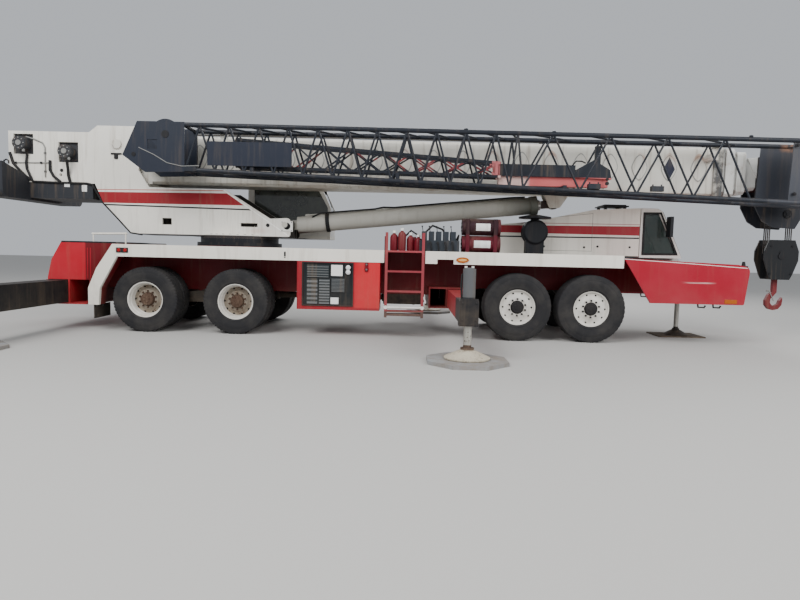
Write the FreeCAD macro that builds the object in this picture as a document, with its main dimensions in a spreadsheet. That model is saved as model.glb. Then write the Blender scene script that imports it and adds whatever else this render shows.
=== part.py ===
import FreeCAD, Part
import math
import os
import Sketcher

# A four-axle mobile crane on its own carrier, in millimetres. +X is forward, +Y is the left side and
# +Z is up. The origin is on the ground, at the middle of the whole crane's length and width.

os.makedirs("parts", exist_ok=True)
doc = FreeCAD.newDocument("mobile_crane")
sheet = doc.addObject("Spreadsheet::Sheet", "sizes")

# Driving sizes: alias, millimetres or degrees
SIZES = [
    # carrier as a whole
    ("half_width", 1295), ("seat_gap", 0.3), ("slide_gap", 8), ("pin_gap", 0.5),
    # axles: bogie centres, spreads within a bogie and tyres
    ("drive_bogie_x", -3600), ("drive_spread", 1510), ("steer_bogie_x", 2450), ("steer_spread", 1220),
    ("drive_tyre_radius", 542.5), ("drive_tyre_width", 285), ("dual_spacing", 335),
    ("steer_tyre_radius", 562), ("steer_tyre_width", 400), ("tyre_inset", 10),
    ("bead_radius", 286), ("tyre_shoulder", 45), ("rim_wall", 12), ("hand_hole_radius", 18), ("hand_hole_count", 10),
    ("drive_rim_dish", 150), ("steer_rim_dish", 40), ("hub_radius", 150),
    ("axle_tube_radius", 75), ("spindle_radius", 58), ("differential_radius", 190),
    ("walking_beam_y", 540), ("walking_beam_width", 90), ("walking_beam_height", 150),
    ("shaft_radius", 42), ("spring_y", 400), ("spring_width", 80), ("spring_length", 900),
    ("steer_beam_depth", 110), ("kingpin_y", 940), ("kingpin_radius", 24), ("boss_radius", 48),
    ("boss_height", 120), ("knuckle_ear", 40), ("knuckle_gap", 5),
    # main frame
    ("rail_y", 380), ("rail_width", 160), ("rail_bottom_z", 680), ("rail_front_bottom_z", 820),
    ("rail_step_x", 850), ("rail_rear_x", -5350), ("rail_front_x", 5450), ("rail_top_z", 1429.7),
    ("cross_member_height", 180), ("cross_member_width", 160),
    # slewing ring
    ("slew_x", -3115), ("ring_radius", 700), ("ring_base_radius", 760), ("ring_base_top_z", 1530),
    ("ring_top_z", 1600), ("ring_wall", 120),
    # deck with its side bands
    ("deck_top_z", 1455), ("deck_plate", 25), ("band_bottom_z", 1250), ("band_thickness", 60),
    ("deck_rear_x", -4880), ("deck_front_x", 3545), ("post_width", 230), ("post_kink_z", 1049),
    ("post_kink_x", -5150), ("post_foot_x", -5290), ("post_foot_z", 440), ("post_thick_x", 175),
    ("band_notch_x", 490), ("band_notch_length", 270), ("band_notch_height", 75),
    ("ladder_recess", 120),
    # rear housing
    ("rear_face_x", -6100), ("rear_knee_x", -6030), ("rear_knee_z", 1175), ("rear_crest_x", -5850),
    ("rear_crest_z", 1490), ("rear_box_half_width", 1060), ("rear_box_front_x", -5360),
    # outriggers
    ("spread", 6710), ("jack_inset", 105), ("beam_overhang", 15), ("beam_wall", 16),
    ("mid_right_beam_x", 810), ("mid_left_beam_x", 530), ("mid_beam_width", 250), ("mid_beam_z", 530),
    ("mid_beam_height", 290), ("rear_right_beam_x", -5920), ("rear_left_beam_x", -5560),
    ("rear_beam_width", 320), ("rear_beam_z", 450), ("rear_beam_height", 380), ("housing_wall", 25),
    ("housing_half_length", 1070), ("jack_radius", 84), ("jack_top_z", 1235), ("jack_foot_z", 490),
    ("jack_rod_radius", 54), ("jack_bore_radius", 60), ("gland_seal", 60), ("jack_cap", 20), ("jack_lift", 220),
    ("float_radius", 305), ("float_edge", 26), ("float_height", 150), ("float_hub_radius", 92),
    ("pad_thickness", 50), ("pad_across", 1050),
    ("front_jack_x", 5030), ("front_jack_rod_radius", 42), ("front_jack_radius", 75),
    ("front_float_radius", 205), ("front_float_height", 120), ("front_pad_thickness", 20),
    ("front_pad_length", 840), ("front_pad_width", 600), ("front_jack_foot_z", 600),
    # front body and bumper
    ("front_body_rear_x", 3548), ("front_body_knee_x", 4005), ("front_body_nose_x", 5610),
    ("front_body_chin_x", 5540), ("front_body_top_z", 1412), ("front_body_nose_z", 1306),
    ("front_body_bottom_z", 690), ("front_body_wall", 30), ("front_body_corner", 90),
    # carrier cab
    ("cab_rear_x", 4335), ("cab_right_y", 150), ("cab_left_y", 1288), ("cab_well_y", 480), ("cab_floor_z", 830),
    ("cab_toe_x", 5440), ("cab_sill_z", 1480), ("cab_sill_x", 5110), ("cab_brow_x", 4730),
    ("cab_roof_z", 2350), ("cab_brow_z", 2300), ("cab_wall", 45), ("cab_pane", 8),
    ("cab_door_front_x", 5060), ("cab_door_rear_x", 4420), ("cab_door_bottom_z", 900),
    ("cab_door_gap", 6), ("cab_pillar", 55), ("seat_height", 1020),
    # engine hood and deck equipment
    ("hood_rear_x", 1620), ("hood_left_y", 1240), ("hood_rear_z", 1985), ("hood_knee_x", 2350),
    ("hood_knee_z", 2060), ("hood_crest_x", 3450), ("hood_crest_z", 2300), ("hood_top_z", 2350),
    ("hood_wall", 30), ("engine_x", 2300), ("engine_length", 1500), ("engine_y", 380),
    ("engine_width", 700), ("engine_height", 530),
    ("cleaner_x", 2290), ("cleaner_y", -190), ("cleaner_z", 1845), ("cleaner_radius", 220),
    ("cleaner_length", 260), ("cleaner_cap_radius", 290), ("cleaner_cap_z", 2090),
    ("cleaner_cap_height", 65), ("cleaner_post", 320),
    ("reservoir_x", 900), ("reservoir_length", 640), ("reservoir_radius", 138),
    ("reservoir_y", -1010), ("valve_bank_x", 190), ("valve_bank_length", 660),
    ("valve_bank_width", 420), ("valve_bank_height", 330),
    # side boxes, ladders, tank
    ("toolbox_rear_x", -1810), ("toolbox_length", 1360), ("toolbox_bottom_z", 450),
    ("toolbox_depth", 520), ("toolbox_wall", 20), ("toolbox_door", 30), ("toolbox_hinge_radius", 9),
    ("tank_rear_x", -1800), ("tank_length", 1150), ("tank_radius", 300), ("tank_y", 960),
    ("tank_z", 880), ("ladder_rear_x", -370), ("ladder_width", 650), ("left_ladder_rear_x", -480),
    ("ladder_foot_z", 345), ("ladder_top_z", 1750), ("ladder_rail", 45), ("tread_thickness", 30),
    ("ladder_pitch", 330), ("flap_x", -5200), ("flap_thickness", 10),
    ("flap_bottom_z", 210), ("flap_inner_y", 750),
    ("lamp_depth", 40), ("hinge_radius", 14), ("hinge_height", 90), ("wear_pad", 110),
    # upper works
    ("plate_y", 500), ("plate_thickness", 50), ("tail_x", -7080), ("tail_top_z", 3400),
    ("tail_bottom_z", 2510), ("plate_corner_x", -5558), ("plate_slope_x", -5421),
    ("plate_slope_z", 2191), ("plate_heel_x", -4900), ("plate_bottom_z", 1640),
    ("nose_x", -2094), ("nose_top_z", 1985), ("nose_rear_x", -2450), ("shoulder_x", -3240),
    ("shoulder_z", 2450), ("foot_front_x", -4600), ("foot_front_z", 2470), ("foot_knee_x", -4780),
    ("foot_knee_z", 2760), ("foot_crest_z", 3520), ("foot_rear_x", -5500), ("foot_ramp_x", -5650),
    ("upper_floor", 60), ("turntable_plate_radius", 700),
    ("side_deck_x", -4200), ("side_deck_length", 2690), ("side_deck_y", 1290),
    ("winch_hole_size", 350), ("main_winch_x", -6815), ("main_winch_z", 3175),
    ("aux_winch_x", -6020), ("aux_winch_z", 3047), ("drum_radius", 150), ("flange_radius", 235),
    ("drum_half_length", 330), ("flange_thickness", 18), ("drum_gap", 0.5),
    ("motor_radius", 115), ("motor_reach", 640), ("motor_hub_radius", 90),
    ("counterweight_x", -7100), ("counterweight_length", 380), ("counterweight_half_width", 1220),
    ("counterweight_bottom_z", 2200), ("counterweight_top_z", 2780), ("counterweight_fall", 180),
    ("counterweight_corner", 120), ("tray_bottom_z", 2240),
    # operator's cab
    ("op_cab_rear_x", -3110), ("op_cab_front_x", -1510), ("op_cab_right_y", 530),
    ("op_cab_left_y", 1250), ("op_cab_floor_z", 1700), ("op_cab_roof_z", 3180),
    ("op_cab_brow_x", -1910), ("op_cab_brow_z", 3120), ("op_cab_waist_z", 2250),
    ("op_cab_wall", 40), ("op_door_front_x", -1870), ("op_door_rear_x", -2510),
    ("op_door_thickness", 30), ("op_door_gap", 6), ("op_pillar", 15), ("op_sill", 300),
    # boom
    ("boom_pivot_x", -5157), ("boom_pivot_z", 3208), ("boom_pin_radius", 58),
    ("boom_half_width", 360), ("boom_bottom_z", 2540), ("boom_height", 860), ("boom_wall", 14),
    ("boom_chamfer", 70), ("boom_tube_x", -4600), ("boom_collar_x", 5360), ("collar_length", 150),
    ("collar_proud", 40), ("section_step", 48), ("section_reach", 225), ("section_inset_x", 330),
    ("emboss_front_x", 5100), ("emboss_pitch", 520), ("emboss_count", 17), ("emboss_width", 270),
    ("emboss_height", 446), ("emboss_rise", 50), ("emboss_depth", 10), ("jib_bracket_rear_x", -3300),
    ("jib_bracket_front_x", 5200), ("jib_bracket_width", 120),
    ("head_rear_x", 6020), ("head_waist_x", 6200), ("head_waist_z", 2890), ("head_chin_z", 2400),
    ("head_front_x", 7060), ("head_plate_y", 245), ("head_plate", 32),
    ("head_bottom_z", 2010), ("head_sheave_x", 6790), ("head_sheave_z", 2270),
    ("sheave_radius", 210), ("sheave_width", 46), ("groove_depth", 24), ("sheave_pitch", 56),
    ("sheave_pin_radius", 45),
    ("top_sheave_x", 6850), ("top_sheave_z", 3130),
    # lift cylinder
    ("cylinder_x", -2190), ("cylinder_z", 1865), ("rod_eye_x", 2650), ("rod_eye_z", 2375),
    ("barrel_radius", 155), ("barrel_bore_radius", 128), ("gland_radius", 172), ("gland_length", 130),
    ("rod_showing", 305), ("rod_neck", 250), ("rod_radius", 95), ("eye_radius", 105), ("eye_width", 150),
    ("clevis_gap", 8), ("clevis_plate", 45), ("lift_pin_radius", 50),
    # hook block
    ("block_top_z", 1810), ("block_bottom_z", 1090), ("block_half_length", 310),
    ("block_half_width", 165), ("block_cheek", 28), ("hook_bottom_z", 520), ("hook_reach", 155),
    ("hook_neck", 38), ("hook_half_width", 36), ("rope_radius", 11),
    # stowed fly jib
    ("jib_tip_x", -4640), ("jib_plate_x", -3695), ("jib_root_x", 5850), ("jib_heel_x", 6950),
    ("jib_near_y", -1200), ("jib_far_y", -640), ("jib_tip_top_z", 3430), ("jib_tip_bottom_z", 2730),
    ("jib_root_top_z", 3385), ("jib_root_bottom_z", 2400), ("chord_radius", 38),
    ("lacing_radius", 17), ("short_bay", 485), ("long_bay", 930), ("bay_change_x", 1860),
    ("jib_nose_x", -4719), ("jib_nose_z", 2917), ("jib_nose_top_x", -4470), ("jib_chin_x", -4345),
    ("jib_chin_z", 2642), ("nose_hole_x", -4300), ("nose_hole_z", 3018), ("nose_hole", 155),
    ("guard_x", -4008), ("guard_z", 3263), ("guard_radius", 247), ("guard_width", 60),
    ("root_near_x", 6180), ("root_far_x", 5970),
    ("banner_x", -3325), ("banner_z", 2775), ("banner_length", 1390), ("banner_height", 390),
    ("banner_plate", 10),
    # stowed extension inside the jib, with its base box and the slide that it lies on
    ("ext_rear_x", -2900), ("ext_front_x", 1480), ("ext_rear_top_z", 3235), ("ext_front_top_z", 2940),
    ("ext_rear_low_z", 2790), ("ext_front_low_z", 2722), ("ext_inset", 140), ("ext_bays", 9),
    ("ext_chord", 44), ("ext_lace", 26), ("ext_box_front_x", 2750), ("ext_box_z", 2735),
    ("ext_box_height", 197), ("ext_box_inset", 155), ("ext_housing_front_x", 3354),
    ("ext_housing_peak_z", 3027), ("slide_rear_x", 1490), ("slide_front_x", 3310), ("slide_low_z", 2585),
    ("slide_inset", 205), ("cradle_width", 60),
]
sheet_values = {}
for row_number, (alias, size) in enumerate(SIZES, start=1):
    sheet.set("A%d" % row_number, alias)
    sheet.set("B%d" % row_number, str(size))
    sheet.setAlias("B%d" % row_number, alias)
    sheet_values[alias] = float(size)
doc.recompute()


class Size:
    """A number from the sheet that keeps its formula, so a feature can be bound to it."""

    def __init__(self, number, formula, tied=True):
        self.number = float(number)
        self.formula = formula
        self.tied = tied

    def joined(self, other, sign, number, flipped=False):
        other = as_size(other)
        left, right = (other, self) if flipped else (self, other)
        formula = "(%s %s %s)" % (left.formula, sign, right.formula)
        return Size(number(left.number, right.number), formula, self.tied or other.tied)

    def __add__(self, other):
        return self.joined(other, "+", lambda a, b: a + b)

    def __radd__(self, other):
        return self.joined(other, "+", lambda a, b: a + b, True)

    def __sub__(self, other):
        return self.joined(other, "-", lambda a, b: a - b)

    def __rsub__(self, other):
        return self.joined(other, "-", lambda a, b: a - b, True)

    def __mul__(self, other):
        return self.joined(other, "*", lambda a, b: a * b)

    def __rmul__(self, other):
        return self.joined(other, "*", lambda a, b: a * b, True)

    def __truediv__(self, other):
        return self.joined(other, "/", lambda a, b: a / b)

    def __neg__(self):
        return -1 * self


def as_size(item):
    if isinstance(item, Size):
        return item
    return Size(item, "(%.6f)" % item, False)


class SheetSizes:
    """Reads a size of the sheet by its alias."""

    def __getattr__(self, alias):
        return Size(sheet_values[alias], "sizes.%s" % alias)


s = SheetSizes()
boom_top_z = s.boom_bottom_z + s.boom_height


def bind(item, path, size):
    """Tie one property of a feature to its formula in the sheet."""
    size = as_size(size)
    item.setExpression(path, size.formula)


def move(item, x=0, y=0, z=0):
    for axis, size in (("x", x), ("y", y), ("z", z)):
        bind(item, ".Placement.Base.%s" % axis, size)
    return item


def span(low, high, side=1):
    """A stretch across the crane, turned over for the right side."""
    return (low, high) if side > 0 else (-as_size(high), -as_size(low))


TURNS = {"X": FreeCAD.Rotation(FreeCAD.Vector(0, 1, 0), 90),
         "Y": FreeCAD.Rotation(FreeCAD.Vector(1, 0, 0), -90),
         "Z": FreeCAD.Rotation()}


def box(name, x, y, z):
    solid = doc.addObject("Part::Box", name)
    for side, (low, high) in (("Length", x), ("Width", y), ("Height", z)):
        bind(solid, side, as_size(high) - low)
    return move(solid, x[0], y[0], z[0])


def cylinder(name, axis, start, radius, length):
    solid = doc.addObject("Part::Cylinder", name)
    solid.Placement.Rotation = TURNS[axis]
    bind(solid, "Radius", radius)
    bind(solid, "Height", length)
    return move(solid, *start)


def cone(name, axis, start, radius_low, radius_high, length):
    solid = doc.addObject("Part::Cone", name)
    solid.Placement.Rotation = TURNS[axis]
    bind(solid, "Radius1", radius_low)
    bind(solid, "Radius2", radius_high)
    bind(solid, "Height", length)
    return move(solid, *start)


def fuse(name, pieces):
    joint = doc.addObject("Part::MultiFuse", name)
    joint.Shapes = pieces
    joint.Refine = True
    return joint


def cut(name, base, tools):
    tool = tools[0] if len(tools) == 1 else doc.addObject("Part::Compound", name + "_tools")
    if len(tools) > 1:
        tool.Links = tools
    result = doc.addObject("Part::Cut", name)
    result.Base = base
    result.Tool = tool
    result.Refine = True
    return result


def group(name, pieces):
    bundle = doc.addObject("Part::Compound", name)
    bundle.Links = pieces
    return bundle


PLANES = {"XZ": "XZ_Plane", "YZ": "YZ_Plane", "XY": "XY_Plane"}


def sketch_on(body, plane, points):
    """A closed outline whose corners are each measured from the plane's origin."""
    outline = body.newObject("Sketcher::SketchObject", body.Name + "_outline")
    support = [item for item in body.Origin.OriginFeatures if item.Role == PLANES[plane]]
    outline.AttachmentSupport = [(support[0], "")]
    outline.MapMode = "FlatFace"
    corners = [(as_size(u), as_size(v)) for u, v in points]
    places = [FreeCAD.Vector(u.number, v.number, 0) for u, v in corners]
    for number, place in enumerate(places):
        after = (number + 1) % len(places)
        outline.addGeometry(Part.LineSegment(place, places[after]))
    for number in range(len(places)):
        outline.addConstraint(Sketcher.Constraint("Coincident", number, 2, (number + 1) % len(places), 1))
    for number, corner in enumerate(corners):
        for kind, size in zip(("DistanceX", "DistanceY"), corner):
            place = outline.addConstraint(Sketcher.Constraint(kind, -1, 1, number, 1, size.number))
            bind(outline, "Constraints[%d]" % place, size)
    return outline


def plate(name, plane, points, low, high, rounds=()):
    """A flat piece of any outline. Each entry of rounds is the corner numbers and their radius."""
    body = doc.addObject("PartDesign::Body", name)
    outline = sketch_on(body, plane, points)
    low, high = as_size(low), as_size(high)
    bind(outline, ".AttachmentOffset.Base.z", -high if plane == "XZ" else low)
    pad = body.newObject("PartDesign::Pad", name + "_pad")
    pad.Profile = outline
    bind(pad, "Length", high - low)
    tip = pad
    for order, (corners, radius) in enumerate(rounds):
        doc.recompute()
        places = [tuple(as_size(value).number for value in points[corner]) for corner in corners]
        names = edges_at(tip.Shape, plane, places)
        smooth = body.newObject("PartDesign::Fillet", "%s_round%d" % (name, order))
        smooth.Base = (tip, names)
        bind(smooth, "Radius", radius)
        tip = smooth
    body.Tip = tip
    return body


def edges_at(shape, plane, places):
    """Names of the edges that run through a plate's thickness at the given corners."""
    names = []
    for number, edge in enumerate(shape.Edges, start=1):
        first, last = [vertex.Point for vertex in (edge.Vertexes[0], edge.Vertexes[-1])]
        flat = {"XZ": lambda p: (p.x, p.z), "YZ": lambda p: (p.y, p.z), "XY": lambda p: (p.x, p.y)}[plane]
        for place in places:
            if all(math.dist(flat(point), place) < 0.01 for point in (first, last)):
                names.append("Edge%d" % number)
    return names


def turned(name, points):
    """A solid of revolution about Y. Each point is a place along Y and a radius."""
    body = doc.addObject("PartDesign::Body", name)
    outline = sketch_on(body, "YZ", points)
    spin = body.newObject("PartDesign::Revolution", name + "_spin")
    spin.Profile = outline
    spin.ReferenceAxis = (outline, ["H_Axis"])
    spin.Angle = 360
    body.Tip = spin
    return body


def turned_up(name, points):
    """A solid of revolution about Z. Each point is a radius and a height."""
    body = doc.addObject("PartDesign::Body", name)
    outline = sketch_on(body, "XZ", points)
    spin = body.newObject("PartDesign::Revolution", name + "_spin")
    spin.Profile = outline
    spin.ReferenceAxis = (outline, ["V_Axis"])
    spin.Angle = 360
    body.Tip = spin
    return body


nodes = {}


def node(label, item):
    """Register a finished sub-part under its plain name."""
    item.Label = label
    nodes[label] = item
    return item


# Outriggers: name, middle of the beam along X, side, beam bottom, height and width
BEAMS = [
    ("mid_right", s.mid_right_beam_x, -1, s.mid_beam_z, s.mid_beam_height, s.mid_beam_width),
    ("mid_left", s.mid_left_beam_x, 1, s.mid_beam_z, s.mid_beam_height, s.mid_beam_width),
    ("rear_right", s.rear_right_beam_x, -1, s.rear_beam_z, s.rear_beam_height, s.rear_beam_width),
    ("rear_left", s.rear_left_beam_x, 1, s.rear_beam_z, s.rear_beam_height, s.rear_beam_width),
]
jack_y = s.spread / 2
stowed_jack_y = s.half_width - s.jack_inset
beam_root_y = jack_y - (stowed_jack_y + s.half_width - s.beam_overhang)


def build_chassis():
    """Two deep rails with cross members, the slewing ring's base and the outrigger housings."""
    inner, outer = s.rail_y - s.rail_width / 2, s.rail_y + s.rail_width / 2
    outline = [(s.rail_rear_x, s.rail_bottom_z), (s.rail_step_x, s.rail_bottom_z),
               (s.rail_step_x + 450, s.rail_front_bottom_z), (s.rail_front_x, s.rail_front_bottom_z),
               (s.rail_front_x, s.rail_top_z - 240), (s.deck_front_x, s.rail_top_z),
               (s.rail_rear_x, s.rail_top_z)]
    pieces = []
    for side, word in ((1, "left"), (-1, "right")):
        low, high = span(inner, outer, side)
        pieces.append(plate("rail_" + word, "XZ", outline, low, high))
    members = [-5200, -3900, -2400, -1300, -200, 1500, 2400, 3300, 4350]
    for number, place in enumerate(members):
        top = s.rail_top_z if place < 3500 else s.rail_top_z - 240
        pieces.append(box("cross_member_%d" % number, (place, place + s.cross_member_width),
                          (-inner - 5, inner + 5), (top - s.cross_member_height, top)))
    pieces.append(cylinder("ring_base", "Z", (s.slew_x, 0, s.rail_top_z - s.cross_member_height),
                           s.ring_base_radius, s.ring_base_top_z - s.rail_top_z + s.cross_member_height))
    pieces.append(cylinder("ring", "Z", (s.slew_x, 0, s.ring_base_top_z), s.ring_radius,
                           s.ring_top_z - s.ring_base_top_z))
    end = s.housing_half_length
    wall = s.housing_wall + s.slide_gap
    pieces.append(box("mid_housing",
                      (s.mid_left_beam_x - s.mid_beam_width / 2 - wall,
                       s.mid_right_beam_x + s.mid_beam_width / 2 + wall),
                      (-end, end), (s.mid_beam_z - wall, s.mid_beam_z + s.mid_beam_height + wall)))
    knee = s.rear_beam_z + s.rear_beam_height + wall
    faces = [(s.rear_face_x, s.rear_beam_z - wall), (s.rear_box_front_x, s.rear_beam_z - wall),
             (s.rear_box_front_x, knee), (s.post_kink_x - 30, s.post_kink_z),
             (s.deck_rear_x - 30, s.rear_crest_z - 30), (s.deck_rear_x - 60, s.rear_crest_z),
             (s.rear_crest_x, s.rear_crest_z), (s.rear_knee_x, s.rear_knee_z), (s.rear_face_x, knee)]
    pieces.append(plate("rear_housing", "XZ", faces, -s.rear_box_half_width, s.rear_box_half_width))
    for side, word in ((1, "left"), (-1, "right")):
        low, high = span(inner, outer, side)
        pieces.append(box("bogie_bracket_" + word, (s.drive_bogie_x - 130, s.drive_bogie_x + 130), (low, high),
                          (s.drive_tyre_radius, s.rail_bottom_z + 5)))
    skin = s.housing_wall
    room = [(s.rear_box_front_x - 20, knee + skin), (s.post_kink_x - 40 - skin, s.post_kink_z),
            (s.deck_rear_x - 60 - skin, s.rear_crest_z - skin), (s.rear_crest_x + skin, s.rear_crest_z - skin),
            (s.rear_knee_x + skin, s.rear_knee_z), (s.rear_face_x + skin, knee + skin)]
    tunnels = [plate("rear_room", "XZ", room, -s.rear_box_half_width + skin, s.rear_box_half_width - skin)]
    for name, middle, side, low, height, width in BEAMS:
        half = width / 2 + s.slide_gap
        tunnels.append(box("tunnel_" + name, (middle - half, middle + half), (-s.half_width, s.half_width),
                           (low - s.slide_gap, low + height + s.slide_gap)))
    tunnels.append(cylinder("ring_bore", "Z", (s.slew_x, 0, s.rail_top_z - s.cross_member_height - 10),
                            s.ring_radius - s.ring_wall, s.ring_top_z))
    for number, x in enumerate((4480, 5180)):
        pieces.append(box("cab_bracket_%d" % number, (x, x + 120), (inner, 1000),
                          (s.cab_floor_z - s.seat_gap - 60, s.cab_floor_z - s.seat_gap)))
    frame = cut("chassis_tunnelled", fuse("chassis_body", pieces), tunnels)
    pads = []
    for name, middle, side, low, height, width in BEAMS:
        reach = span(end - s.wear_pad, end - 5, side)
        if name.startswith("rear"):
            reach = span(s.rear_box_half_width - s.wear_pad, s.rear_box_half_width - 5, side)
        pads.append(box("wear_pad_" + name, (middle - width / 2 + 20, middle + width / 2 - 20), reach,
                        (low - s.slide_gap - 3, low - s.seat_gap)))
    return fuse("chassis", [frame] + pads)


def build_deck():
    """The white deck plate with its deep side bands and the sloping rear fender posts."""
    plate_low = s.deck_top_z - s.deck_plate
    pieces = [box("deck_plate", (s.deck_rear_x, s.deck_front_x), (-s.half_width, s.half_width),
                  (plate_low, s.deck_top_z))]
    post = [(s.deck_rear_x, s.deck_top_z), (s.post_kink_x, s.post_kink_z),
            (s.post_foot_x, s.post_foot_z + 280), (s.post_foot_x, s.post_foot_z),
            (s.post_foot_x + s.post_thick_x, s.post_foot_z),
            (s.post_foot_x + s.post_thick_x + 20, s.post_foot_z + 280),
            (s.deck_rear_x + 75, s.band_bottom_z), (s.deck_rear_x + 250, s.band_bottom_z),
            (s.deck_rear_x + 250, s.deck_top_z)]
    for side, word in ((1, "left"), (-1, "right")):
        low, high = span(s.half_width - s.band_thickness, s.half_width, side)
        pieces.append(box("band_" + word, (s.deck_rear_x + 100, s.deck_front_x), (low, high),
                          (s.band_bottom_z, plate_low + 5)))
        low, high = span(s.half_width - s.post_width, s.half_width, side)
        pieces.append(plate("fender_post_" + word, "XZ", post, low, high))
    for number, place in enumerate((s.deck_rear_x + 100, s.deck_front_x - s.band_thickness)):
        pieces.append(box("end_band_%d" % number, (place, place + s.band_thickness),
                          (s.rail_y + s.rail_width, s.half_width), (s.band_bottom_z, plate_low + 5)))
        pieces.append(box("end_band_right_%d" % number, (place, place + s.band_thickness),
                          (-s.half_width, -s.rail_y - s.rail_width), (s.band_bottom_z, plate_low + 5)))
    hollows = [cylinder("ring_opening", "Z", (s.slew_x, 0, plate_low - 10), s.ring_base_radius + 15, 100)]
    for side, word, rear in ((-1, "right", s.ladder_rear_x), (1, "left", s.left_ladder_rear_x)):
        low, high = span(s.half_width - s.ladder_recess, s.half_width + 10, side)
        hollows.append(box("ladder_recess_" + word, (rear - 15, rear + s.ladder_width + 15),
                           (low, high), (s.band_bottom_z - 10, s.deck_top_z + 10)))
        low, high = span(s.half_width - s.band_thickness - 10, s.half_width + 10, side)
        hollows.append(box("band_notch_" + word, (s.band_notch_x, s.band_notch_x + s.band_notch_length),
                           (low, high), (s.band_bottom_z - 10, s.band_bottom_z + s.band_notch_height)))
    return cut("deck_cut", fuse("deck_body", pieces), hollows)


def build_front_body():
    """The red body round the bumper, open below and behind, with a well for the cab."""
    outline = [(s.front_body_rear_x, s.front_body_top_z), (s.front_body_knee_x, s.front_body_bottom_z),
               (s.front_body_chin_x, s.front_body_bottom_z), (s.front_body_nose_x, s.front_body_nose_z),
               (s.front_body_nose_x - 200, s.front_body_nose_z + 45)]
    shell = plate("front_shell", "XZ", outline, -s.half_width, s.half_width,
                  [((3,), s.front_body_corner), ((2,), s.front_body_corner / 3)])
    wall = s.front_body_wall
    room = [(s.front_body_rear_x - 100, s.front_body_top_z - wall), (s.front_body_rear_x - 100, 500),
            (s.front_body_chin_x - 60 - wall, 500), (s.front_body_nose_x - 60 - wall, s.front_body_nose_z - wall),
            (s.front_body_nose_x - 200 - wall, s.front_body_nose_z + 40 - wall)]
    hollow = plate("front_room", "XZ", room, -s.half_width + wall, s.half_width - wall)
    well = box("cab_well", (s.cab_rear_x - 15, s.cab_toe_x + 15), (s.cab_well_y - 15, s.half_width + 10),
               (s.cab_floor_z - 15, s.front_body_top_z + 200))
    barrel = cylinder("front_jack_barrel", "Z", (s.front_jack_x, 0, s.front_jack_foot_z),
                      s.front_jack_radius, s.rail_top_z - 240 - s.front_jack_foot_z)
    seal_top = s.front_jack_foot_z + s.gland_seal
    bore = cylinder("front_jack_bore", "Z", (s.front_jack_x, 0, seal_top),
                    s.front_jack_rod_radius + 6, s.rail_top_z - 240 - 20 - seal_top)
    seal = cylinder("front_jack_seal", "Z", (s.front_jack_x, 0, s.front_jack_foot_z - 10),
                    s.front_jack_rod_radius + s.pin_gap, s.gland_seal + 15)
    member_low = s.rail_front_bottom_z + 60
    member = box("bumper_member", (s.rail_front_x + s.seat_gap - 15, s.front_body_chin_x - 40),
                 (-1000, s.cab_well_y - 40), (member_low, member_low + 200))
    tie = box("front_jack_tie", (s.front_jack_x, s.rail_front_x + 10), (-110, 110),
              (member_low + 20, member_low + 180))
    open_shell = cut("front_open_shell", shell, [hollow, well])
    rail_room = [box("rail_room_" + word, (s.deck_front_x - 50, s.rail_front_x + s.seat_gap),
                     span(s.rail_y - s.rail_width / 2 - s.seat_gap, s.rail_y + s.rail_width / 2 + s.seat_gap,
                          side), (s.rail_front_bottom_z - 1, s.front_body_top_z + 50))
                 for side, word in ((1, "left"), (-1, "right"))]
    body = fuse("front_body_fused", [open_shell, barrel, tie, member])
    return cut("front_body_cut", body, [bore, seal] + rail_room)


def cab_outline(inset):
    """Side outline of the carrier cab, drawn in by the given wall."""
    return [(s.cab_rear_x + inset, s.cab_floor_z + inset), (s.cab_toe_x - inset, s.cab_floor_z + inset),
            (s.cab_toe_x - inset, s.front_body_nose_z - 40 - inset), (s.cab_sill_x - inset, s.cab_sill_z - inset),
            (s.cab_brow_x - inset, s.cab_brow_z - inset), (s.cab_brow_x - 90 - inset, s.cab_roof_z - inset),
            (s.cab_rear_x + inset, s.cab_roof_z - inset)]


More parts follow.
